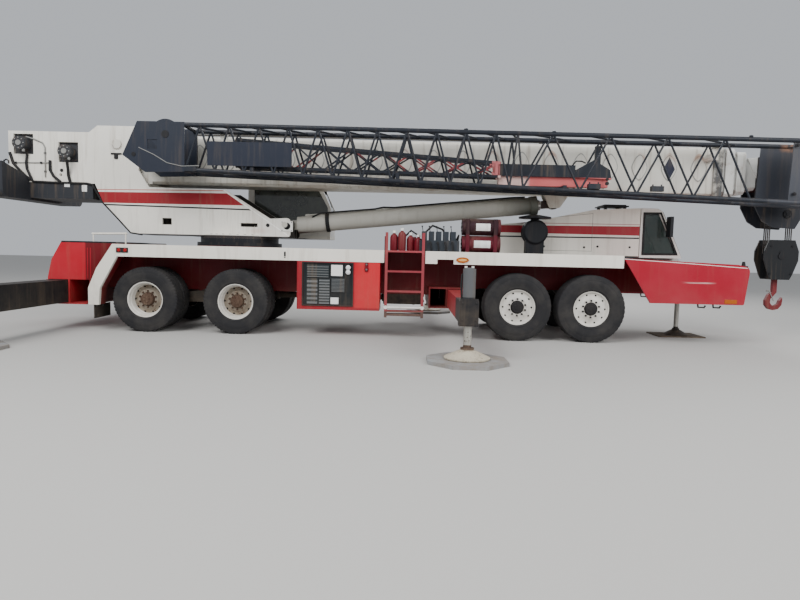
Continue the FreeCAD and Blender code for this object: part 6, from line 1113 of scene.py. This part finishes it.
# Winches: flanged drums between the tail plates, wound with greasy wire rope and driven by
# hydraulic motors that stand out through the windows in the plates.
WINCHES = (("main", -6.815, 3.175), ("aux", -6.020, 3.047))
MOTOR_FACE_Y = -0.640
ROPE_TURNS, ROPE_PITCH = 27, 0.023
motor_dark = weathered("motor_dark", (0.036, 0.038, 0.042), 0.85, 0.6, 0.4, 0.5, (0.13, 0.085, 0.07))
dress(motor_dark, "winch_motors")
rope_steel = plain_material("rope_steel", (0.07, 0.065, 0.06), 0.5, 0.6)
lay = add_node(rope_steel.node_tree, "ShaderNodeTexWave", {
    "Vector": surface(rope_steel.node_tree), "Scale": 38.0, "Distortion": 1.5},
    bands_direction="DIAGONAL").outputs["Fac"]
feed(rope_steel, "Base Color", mixed(lay, (0.035, 0.032, 0.03, 1), (0.15, 0.14, 0.13, 1)))
feed(rope_steel, "Normal", bump(lay, 0.7, 0.003))
for word, x, z in WINCHES:
    drum = word + "_winch_drum"
    dress(black_paint, drum)
    mesh = bmesh.new()
    section = []
    for number in range(ROPE_TURNS):
        y = -0.299 + number * ROPE_PITCH
        section += [(y - 0.0115, 0.196), (y - 0.007, 0.205), (y, 0.208), (y + 0.007, 0.205)]
    spun(mesh, section + [(0.311, 0.196)], 36, closed=False)
    bmesh.ops.translate(mesh, verts=mesh.verts, vec=(x, 0, z))
    new_piece("wound_rope_" + word, mesh, drum, "bare_steel", rope_steel)
mesh = bmesh.new()
for word, x, z in WINCHES:
    for along, up in around(8, 0.088):
        add_rod(mesh, (x + along, MOTOR_FACE_Y, z + up), (x + along, MOTOR_FACE_Y - 0.010, z + up), 0.011, 6)
    add_rod(mesh, (x, MOTOR_FACE_Y, z), (x, MOTOR_FACE_Y - 0.015, z), 0.046, 18)
    add_rod(mesh, (x + 0.06, -0.60, z - 0.10), (x + 0.06, -0.60, z - 0.145), 0.024, 10)
new_piece("motor_bolts", mesh, "upper", "bare_steel", pipe_grey)

# Counterweight: thick cast slabs across the tail with a steel tray under it, black and grimy. Two
# lifting eyes are let into its top, and two blank plates are fixed to the tray.
weight_black = weathered("weight_black", (0.026, 0.028, 0.033), 0.35, 0.5, 0.4, 0.5, (0.10, 0.09, 0.085))
dress(weight_black, "counterweight")
joined("tray_plates", "upper", "white_paint", blank_label, bevel=0.002, boxes=[
    ((-6.100, -0.507, 2.440), (-6.005, -0.498, 2.500)), ((-5.790, -0.507, 2.365), (-5.700, -0.498, 2.480))])
joined("lifting_eyes", "upper", "black_paint", weight_black, tubes=[
    ([(-6.90, y, 2.775), (-6.90, y, 2.825), (-6.86, y, 2.845), (-6.82, y, 2.825), (-6.82, y, 2.775)], 0.014, 10)
    for y in (-0.9, 0.9)])

# Operator's cab: a narrow steel cab on the left of the upper with tinted glass in rubber, a sliding
# door and a wiper on its sloping screen.
PULL_X = -1.95
SLIDING_PANE_Y = 1.288
dress(cab_white, "operator_cab")
dress(door_with_pane("operator_door", (-2.455, -1.925), (1.267, 1.2752), (2.235, 3.035)), "operator_cab_door")
tinted_glass = plain_material("tinted_glass", (0.060, 0.068, 0.058), 0.08)
smear = stepped(noise(surface(tinted_glass.node_tree), 3.0, 8.0, 0.7), 0.35, 0.8)
feed(tinted_glass, "Base Color", mixed(smear, (0.045, 0.050, 0.043, 1), (0.10, 0.108, 0.092, 1)))
feed(tinted_glass, "Roughness", plus(0.06, times(smear, 0.3)))
feed(tinted_glass, "Alpha", 0.90)
feed(tinted_glass, "Coat Weight", 1.0)
dress(tinted_glass, "operator_cab_glass")
joined("operator_wiper", "upper", "black_paint", black_paint,
       boxes=[((-1.725, 0.945, 2.50), (-1.650, 0.960, 2.78))],
       tubes=[([(-1.515, 0.78, 2.27), (-1.60, 0.88, 2.48), (-1.705, 0.95, 2.72)], 0.007, 8)])
joined("door_rails", "upper", "bare_steel", pipe_grey, bevel=0.003,
       boxes=[((-3.10, 1.252, z - 0.012), (-1.90, 1.288, z + 0.012)) for z in (1.700, 3.095)])
joined("door_pull", "operator_cab_door", "black_paint", rubber_black, tubes=[
    ([(PULL_X, 1.285, 2.20), (PULL_X, 1.289, 2.22), (PULL_X, 1.289, 2.38), (PULL_X, 1.285, 2.40)], 0.010, 8)])
window_rubber("sliding_window_rubber", "operator_cab_door", [
    (x, SLIDING_PANE_Y, z) for x, z in ((-2.462, 2.228), (-1.918, 2.228), (-1.918, 3.042), (-2.462, 3.042))],
    0.026, 0.006, bevel=0.0)

# Lift cylinder: a long grey barrel pinned between the side plates, with its oil pipe strapped on
# top, a dark clamp near its foot and a black gland. The rod's eye sits in the boom's clevis.
FOOT_X, FOOT_Z = -2.19, 1.865
HEAD_X, HEAD_Z = 2.65, 2.375
SLOPE = (HEAD_Z - FOOT_Z) / (HEAD_X - FOOT_X)
AXIS = Vector((1, 0, SLOPE)).normalized()
LIFT = Vector((-AXIS.z, 0, AXIS.x))
CLAMP_X, CLAMP_WIDTH, CLAMP_RADIUS = -1.50, 0.07, 0.168
OIL_PIPE = [
    # x, out from the barrel's axis, y
    (-1.75, 0.120, -0.125), (-1.60, 0.185, -0.05), (-0.6, 0.180, -0.02), (-0.45, 0.200, -0.02),
    (-0.25, 0.178, -0.02), (1.9, 0.178, -0.02), (2.12, 0.168, -0.02),
]
barrel_grey = weathered("barrel_grey", (0.46, 0.445, 0.395), 0.15, 0.30, 0.25, 0.38, (0.20, 0.16, 0.12))
spot = where(barrel_grey)
paint_over(barrel_grey, (stepped(spot["X"], 1.55, 2.25), (0.145, 0.150, 0.125)),
           (times(stepped(spot["X"], -1.60, -1.66), stepped(spot["Z"], 1.78, 1.74)), (0.10, 0.05, 0.04)))
dress(barrel_grey, "lift_cylinder_barrel")
rod_mix = weathered("rod_mix", (0.50, 0.49, 0.46), 0.5, 0.6, 0.2, 0.30, (0.10, 0.06, 0.045))
spot = where(rod_mix)
paint_over(rod_mix, (stepped(spot["X"], 2.40, 2.42), (0.050, 0.034, 0.028)))
feed(rod_mix, "Metallic", times(stepped(spot["X"], 2.42, 2.40), 0.8))
dress(rod_mix, "lift_cylinder_rod")


def on_barrel(x, out, y):
    """A point beside the barrel: x along the crane, out from its axis upwards, y across."""
    return Vector((x, y, FOOT_Z + SLOPE * (x - FOOT_X))) + LIFT * out


joined("cylinder_pipe", "lift_cylinder_barrel", "flap_rubber", rubber_black,
       tubes=[([on_barrel(*point) for point in OIL_PIPE], 0.015, 8)])
mesh = bmesh.new()
for shift in (-CLAMP_WIDTH / 4, CLAMP_WIDTH / 4):
    band = add_turned(mesh, [(0, 0.153), (0, CLAMP_RADIUS), (CLAMP_WIDTH / 2, CLAMP_RADIUS), (CLAMP_WIDTH / 2, 0.153)],
                      (0, 0, 0), "X", 32)
    bmesh.ops.rotate(mesh, verts=band, cent=(0, 0, 0), matrix=Matrix.Rotation(-math.atan(SLOPE), 3, "Y"))
    bmesh.ops.translate(mesh, verts=band, vec=on_barrel(CLAMP_X + shift, 0, 0))
knob = on_barrel(CLAMP_X, 0.165, -0.02)
add_rod(mesh, knob, knob + LIFT * 0.035, 0.012, 8)
new_piece("cylinder_clamps", mesh, "lift_cylinder_barrel", "black_paint", rubber_black)

# Boom: four telescoping box sections of pressed plate with lozenge embosses along their flanks, in
# old cream paint with drip stains, rust at the wear pads and a collar patched in dark grey. Thin grey
# rings round the embosses are painted shade along their edges.
LOZENGE_PITCH, LOZENGE_FIRST, LOZENGE_Z = 0.520, 5.10, 3.02
LOZENGE_HALF_WIDTH, LOZENGE_HALF_HEIGHT = 0.135, 0.223
DIAMOND_X, DIAMOND_Z = 4.58, 3.00
HEAD_SIDE_Y = 0.245
HEAD_PINS = ((6.79, 2.27, 0.075), (6.85, 3.13, 0.060))
ROPES_Y = (-0.045, 0.055)
ROPE_RADIUS = 0.0095
SECTIONS = [
    # node, body, word, half width, bottom, top, front end, how far its collar stands proud
    ("boom_base", "boom", "base", 0.36, 2.54, 3.40, 5.51, 0.040),
    ("boom_section_1", "boom_section_1", "section_1", 0.312, 2.588, 3.352, 5.735, 0.0),
    ("boom_section_2", "boom_section_2", "section_2", 0.264, 2.636, 3.304, 5.96, 0.0),
]


def lozenge(spot, size):
    """Mask of the embosses, grown or shrunk by a factor."""
    turns = plus(maths("DIVIDE", less(spot["X"], LOZENGE_FIRST), LOZENGE_PITCH), 100.5)
    along = times(away(maths("FRACT", turns), 0.5), LOZENGE_PITCH / LOZENGE_HALF_WIDTH)
    upward = maths("DIVIDE", away(spot["Z"], LOZENGE_Z), LOZENGE_HALF_HEIGHT)
    reach = plus(maths("POWER", along, 1.5), maths("POWER", upward, 1.5))
    return stepped(reach, size + 0.02, size - 0.02)


def boom_paint(name, paint, streaks):
    return weathered(name, paint, 0.15, streaks, 0.35, 0.42, (0.22, 0.13, 0.09), coat=0.06)


boom_cream = boom_paint("boom_cream", (0.62, 0.60, 0.54), 0.75)
spot, coords = where(boom_cream), surface(boom_cream.node_tree)
flank = stepped(away(spot["Y"]), 0.352, 0.356)
# Painted shade: thin grey rings along the edges of the embosses.
ring = times(flank, less(lozenge(spot, 1.06), lozenge(spot, 0.90), True))
crown = times(flank, less(lozenge(spot, 1.30), lozenge(spot, 0.70), True), stepped(spot["Z"], 3.10, 3.20),
              stepped(noise(coords, 2.2, 5.0), 0.50, 0.62))
diamond = plus(maths("DIVIDE", away(spot["X"], DIAMOND_X), 0.105), maths("DIVIDE", away(spot["Z"], DIAMOND_Z), 0.215))
belly = times(stepped(spot["Z"], 2.70, 2.55), stepped(noise(coords, 3.0, 6.0), 0.42, 0.68))
collar = times(stepped(spot["X"], 5.352, 5.362), stepped(noise(coords, 6.0, 6.0), 0.30, 0.52))
paint_over(boom_cream, (times(belly, 0.6), (0.40, 0.30, 0.20)), (ring, (0.30, 0.30, 0.28)),
           (times(crown, 0.65), (0.45, 0.27, 0.20)),
           (times(flank, stepped(diamond, 1.02, 0.98)), (0.014, 0.017, 0.038)),
           (collar, (0.070, 0.072, 0.074)))
dress(boom_cream, "boom_base")
inner_white = boom_paint("inner_white", (0.62, 0.62, 0.59), 0.85)
grime = stepped(noise(surface(inner_white.node_tree), 7.0, 6.0), 0.56, 0.70)
paint_over(inner_white, (times(grime, 0.5), (0.32, 0.24, 0.18)))
dress(inner_white, "boom_section_1", "boom_section_2")
head_mix = boom_paint("head_mix", (0.66, 0.66, 0.63), 0.6)
spot = where(head_mix)
head = stepped(spot["X"], 6.190, 6.200)
paint_over(head_mix, (head, (0.020, 0.022, 0.028)),
           (times(head, stepped(away(spot["Y"]), 0.205, 0.200)), (0.055, 0.016, 0.018)))
dress(head_mix, "boom_tip")
for node_name, body, word, half, low, high, front, proud in SECTIONS:
    bolts_x = (front - 0.09, front - 0.04)
    side_y, top_z = half + proud, high + proud
    joined("pad_bolts_" + word, body, "bare_steel", pipe_grey, smooth=0, rods=[
        ((x, side * side_y, z), (x, side * (side_y + 0.010), z), 0.012, 6)
        for side in (-1, 1) for z in (low + 0.17, high - 0.17) for x in bolts_x] + [
        ((x, y, top_z), (x, y, top_z + 0.012), 0.013, 6) for y in (-half * 0.5, half * 0.5) for x in bolts_x])
mesh = bmesh.new()
for side in (-1, 1):
    face = side * HEAD_SIDE_Y
    for x, z, radius in HEAD_PINS:
        add_rod(mesh, (x, face, z), (x, face + 0.018 * side, z), radius, 24)
        add_rod(mesh, (x, face + 0.018 * side, z), (x, face + 0.030 * side, z), radius * 0.45, 16)
        for along, up in around(4, radius * 0.72, 0.5):
            add_rod(mesh, (x + along, face + 0.014 * side, z + up), (x + along, face + 0.026 * side, z + up), 0.010, 6)
new_piece("sheave_pin_caps", mesh, "boom_tip", "bare_steel", hub_black)
joined("ropes_over_boom", "boom", "bare_steel", rope_steel, tubes=[
    ([(-5.30, y, 3.480), (-2.0, y, 3.488), (2.0, y, 3.488), (5.45, y, 3.485)], ROPE_RADIUS, 8) for y in ROPES_Y])
ROLLERS_X = (-5.25, -1.2, 2.4, 5.40)
joined("rope_rollers", "boom", "bare_steel", black_paint, bevel=0.002,
       boxes=[((x - 0.03, y, 3.395), (x + 0.03, y + 0.012, 3.500)) for x in ROLLERS_X for y in (-0.14, 0.13)],
       rods=[((x, -0.14, 3.452), (x, 0.14, 3.452), 0.016, 14) for x in ROLLERS_X])
joined("ropes_from_drums", "upper", "bare_steel", rope_steel, tubes=[
    ([(x, y, z), (-5.62, y, 3.44), (-5.34, y, 3.478)], ROPE_RADIUS, 8)
    for y, x, z in ((ROPES_Y[0], -6.80, 3.381), (ROPES_Y[1], -6.02, 3.250))])

# Stowed lattice jib: tubular chords with crossed lacing, plated nose and root, slung along the right
# flank of the boom in near-black navy. A blank plate is fixed behind its rear bays.
JIB_NAVY = (0.015, 0.018, 0.025)
CHORD_Y = -1.20
NOSE_PIN_X, NOSE_PIN_Z = -4.008, 3.263
KNOBS = ((0.902, 3.385), (2.333, 3.372), (5.521, 3.372))
ROOT_PINS = ((6.26, 3.30), (6.26, 2.52), (6.86, 3.28), (6.86, 2.50))
CLAMPS = ((4.05, 2.545), (3.02, 2.560), (-3.60, 2.700))
jib_paint = weathered("jib_paint", JIB_NAVY, 0.30, 0.20, 0.40, 0.40, (0.17, 0.13, 0.11), coat=0.06)
spot, coords = where(jib_paint), surface(jib_paint.node_tree)
low_chord_end = times(stepped(spot["X"], 6.74, 6.745), stepped(spot["Z"], 2.50, 2.49), stepped(spot["Y"], -1.10, -1.11))
root_rust = times(stepped(spot["X"], 6.30, 6.45), stepped(spot["Z"], 3.27, 3.33),
                  stepped(noise(coords, 9.0, 6.0), 0.40, 0.55))
grey_side = times(stepped(spot["X"], 5.8, 5.9), stepped(spot["Z"], 3.36, 3.30))
blank_plate = times(between(spot["X"], -3.33, -1.93), between(spot["Z"], 2.77, 3.17), stepped(spot["Y"], -1.205, -1.21))
paint_over(jib_paint, (stepped(spot["X"], -3.68, -3.70), (0.016, 0.020, 0.031)),
           (blank_plate, (0.014, 0.018, 0.030)), (times(grey_side, 0.6), (0.050, 0.054, 0.066)),
           (root_rust, (0.21, 0.10, 0.055)), (low_chord_end, (0.72, 0.71, 0.68)))
dress(jib_paint, "fly_jib")
mesh = bmesh.new()
for x, z in KNOBS:
    add_rod(mesh, (x, CHORD_Y, z), (x, CHORD_Y, z + 0.050), 0.014, 10)
    add_turned(mesh, [(0, 0), (0.0, 0.030), (0.012, 0.036), (0.030, 0.030), (0.040, 0.0)],
               (x, CHORD_Y, z + 0.045), steps=14)
new_piece("chord_knobs", mesh, "boom", "black_paint", jib_paint)
joined("nose_fittings", "boom", "bare_steel", hub_black, rods=[
    ((NOSE_PIN_X, -1.232, NOSE_PIN_Z), (NOSE_PIN_X, -1.245, NOSE_PIN_Z), 0.060, 20),
    *[((NOSE_PIN_X + along, -1.225, NOSE_PIN_Z + up), (NOSE_PIN_X + along, -1.236, NOSE_PIN_Z + up), 0.009, 6)
      for along, up in around(6, 0.10)],
    ((-4.53, -1.205, 2.93), (-4.53, -1.245, 2.93), 0.035, 18),
    ((-4.40, -1.205, 2.86), (-4.40, -1.225, 2.86), 0.022, 14)])
joined("nose_cable", "boom", "bare_steel", pipe_grey, tubes=[
    ([(-4.45, -1.235, 3.04), (-4.20, -1.243, 2.93), (-3.98, -1.243, 2.80), (-3.74, -1.243, 2.75),
      (-3.45, -1.243, 2.765)], 0.006, 8)])
joined("root_pins", "boom", "bare_steel", hub_black,
       rods=[((x, -1.236, z), (x, -1.250, z), 0.030, 16) for x, z in ROOT_PINS]
       + [((x, -1.250, z), (x, -1.262, z), 0.014, 10) for x, z in ROOT_PINS],
       tubes=[([(x, -1.238, 2.55), (x + 0.12, -1.240, 3.20)], 0.008, 6) for x in (6.45, 6.62)])
joined("chord_clamps", "boom", "black_paint", jib_paint, bevel=0.004,
       boxes=[((x - 0.10, -1.245, z - 0.030), (x + 0.10, -1.155, z + 0.055)) for x, z in CLAMPS],
       rods=[((x + shift, CHORD_Y, z + 0.05), (x + shift, CHORD_Y, z + 0.085), 0.013, 6)
             for x, z in CLAMPS for shift in (-0.07, 0.07)])

# Stowed extension: a lighter lattice inside the jib with faded red bracing, a navy base box and the
# pink-red slide that it lies on, carried by cradles on the jib's chords.
CHORD_REAR_X, CHORD_REAR_Z = -2.900, 3.235
CHORD_FRONT_X, CHORD_FRONT_Z = 1.480, 2.940
CHORD_DROP = (CHORD_REAR_Z - CHORD_FRONT_Z) / (CHORD_FRONT_X - CHORD_REAR_X)
BOLT_X = 3.27
ext_paint = weathered("ext_paint", JIB_NAVY, 0.35, 0.45, 0.30, 0.45, (0.30, 0.24, 0.20))
spot, coords = where(ext_paint), surface(ext_paint.node_tree)
slide = times(stepped(spot["Z"], 2.736, 2.730), stepped(spot["X"], 1.46, 1.47))
post = times(between(spot["X"], 1.36, 1.50), stepped(spot["Z"], 2.735, 2.745))
lattice = times(stepped(spot["X"], 1.36, 1.34), stepped(noise(coords, 1.6, 2.0), 0.46, 0.50))
chord_low = less(CHORD_REAR_Z - 0.055, times(plus(spot["X"], -CHORD_REAR_X), CHORD_DROP))
bracing = times(lattice, stepped(less(chord_low, spot["Z"]), 0.0, 0.004), stepped(spot["Z"], 2.80, 2.81))
paint_over(ext_paint, (bracing, (0.19, 0.030, 0.035)), (slide, (0.50, 0.105, 0.105)),
           (times(slide, stepped(spot["X"], 2.02, 1.95)), (0.62, 0.42, 0.38)), (post, (0.42, 0.120, 0.125)))
dress(ext_paint, "jib_extension")
joined("slide_fittings", "boom", "bare_steel", hub_black,
       rods=[((BOLT_X, -1.07, 2.64), (BOLT_X, -1.10, 2.64), 0.030, 14),
             ((BOLT_X, -1.07, 2.71), (BOLT_X, -1.10, 2.71), 0.022, 14)],
       tubes=[([(2.72, -0.92, 2.935), (2.79, -0.92, 3.02), (2.88, -0.92, 3.02), (2.95, -0.92, 2.99)], 0.012, 8)])

# Driveline: the transfer case hung below the frame behind the ladder, with the shafts to the driven
# axles. Cast iron and drawn tube under old black paint, bolted to the frame rails.
SHAFT_Z = 0.59
joined("transfer_case", "carrier", "black_paint", axle_black, bevel=0.020,
       boxes=[((-0.42, -0.46, 0.50), (0.30, 0.46, 0.69))],
       rods=[((x, y, z), (x + 0.04, y, z), 0.022, 8) for y in (-0.30, 0.0, 0.30) for z in (0.55, 0.65)
             for x in (-0.44, 0.28)])
joined("propeller_shaft", "carrier", "bare_steel", axle_black, rods=[
    ((-2.55, 0.0, SHAFT_Z), (-0.46, 0.0, SHAFT_Z), 0.055, 20),
    *[((x, 0.0, SHAFT_Z), (x + 0.03, 0.0, SHAFT_Z), 0.085, 20) for x in (-2.55, -2.40, -0.60, -0.46)]])

# Hook block and ropes: a heavy plated block on its falls of rope under the boom head, its cheeks
# bolted through, with the forged hook in dark red below and a wire latch across its throat.
BLOCK_PINS = ((6.79, 1.52, 0.060), (6.60, 1.20, 0.020), (6.98, 1.20, 0.020), (6.60, 1.70, 0.018), (6.98, 1.70, 0.018))
hook_mix = weathered("hook_mix", (0.012, 0.013, 0.015), 0.45, 0.35, 0.25, 0.42, (0.11, 0.075, 0.06))
paint_over(hook_mix, (stepped(where(hook_mix)["Z"], 1.085, 1.080), (0.145, 0.014, 0.020)))
dress(hook_mix, "hook_block")
dress(rope_steel, "hoist_ropes")
joined("block_bolts", "hook_block", "bare_steel", hub_black, rods=[
    ((x, side * 0.163, z), (x, side * 0.179, z), radius, 20 if radius > 0.05 else 6)
    for side in (-1, 1) for x, z, radius in BLOCK_PINS])
joined("safety_latch", "hook_block", "bare_steel", pipe_grey,
       rods=[((6.690, -0.050, 0.875), (6.690, 0.050, 0.875), 0.014, 12)],
       tubes=[([(6.70, -0.036, 0.86), (6.735, -0.044, 0.78), (6.775, -0.046, 0.69)], 0.008, 8)])
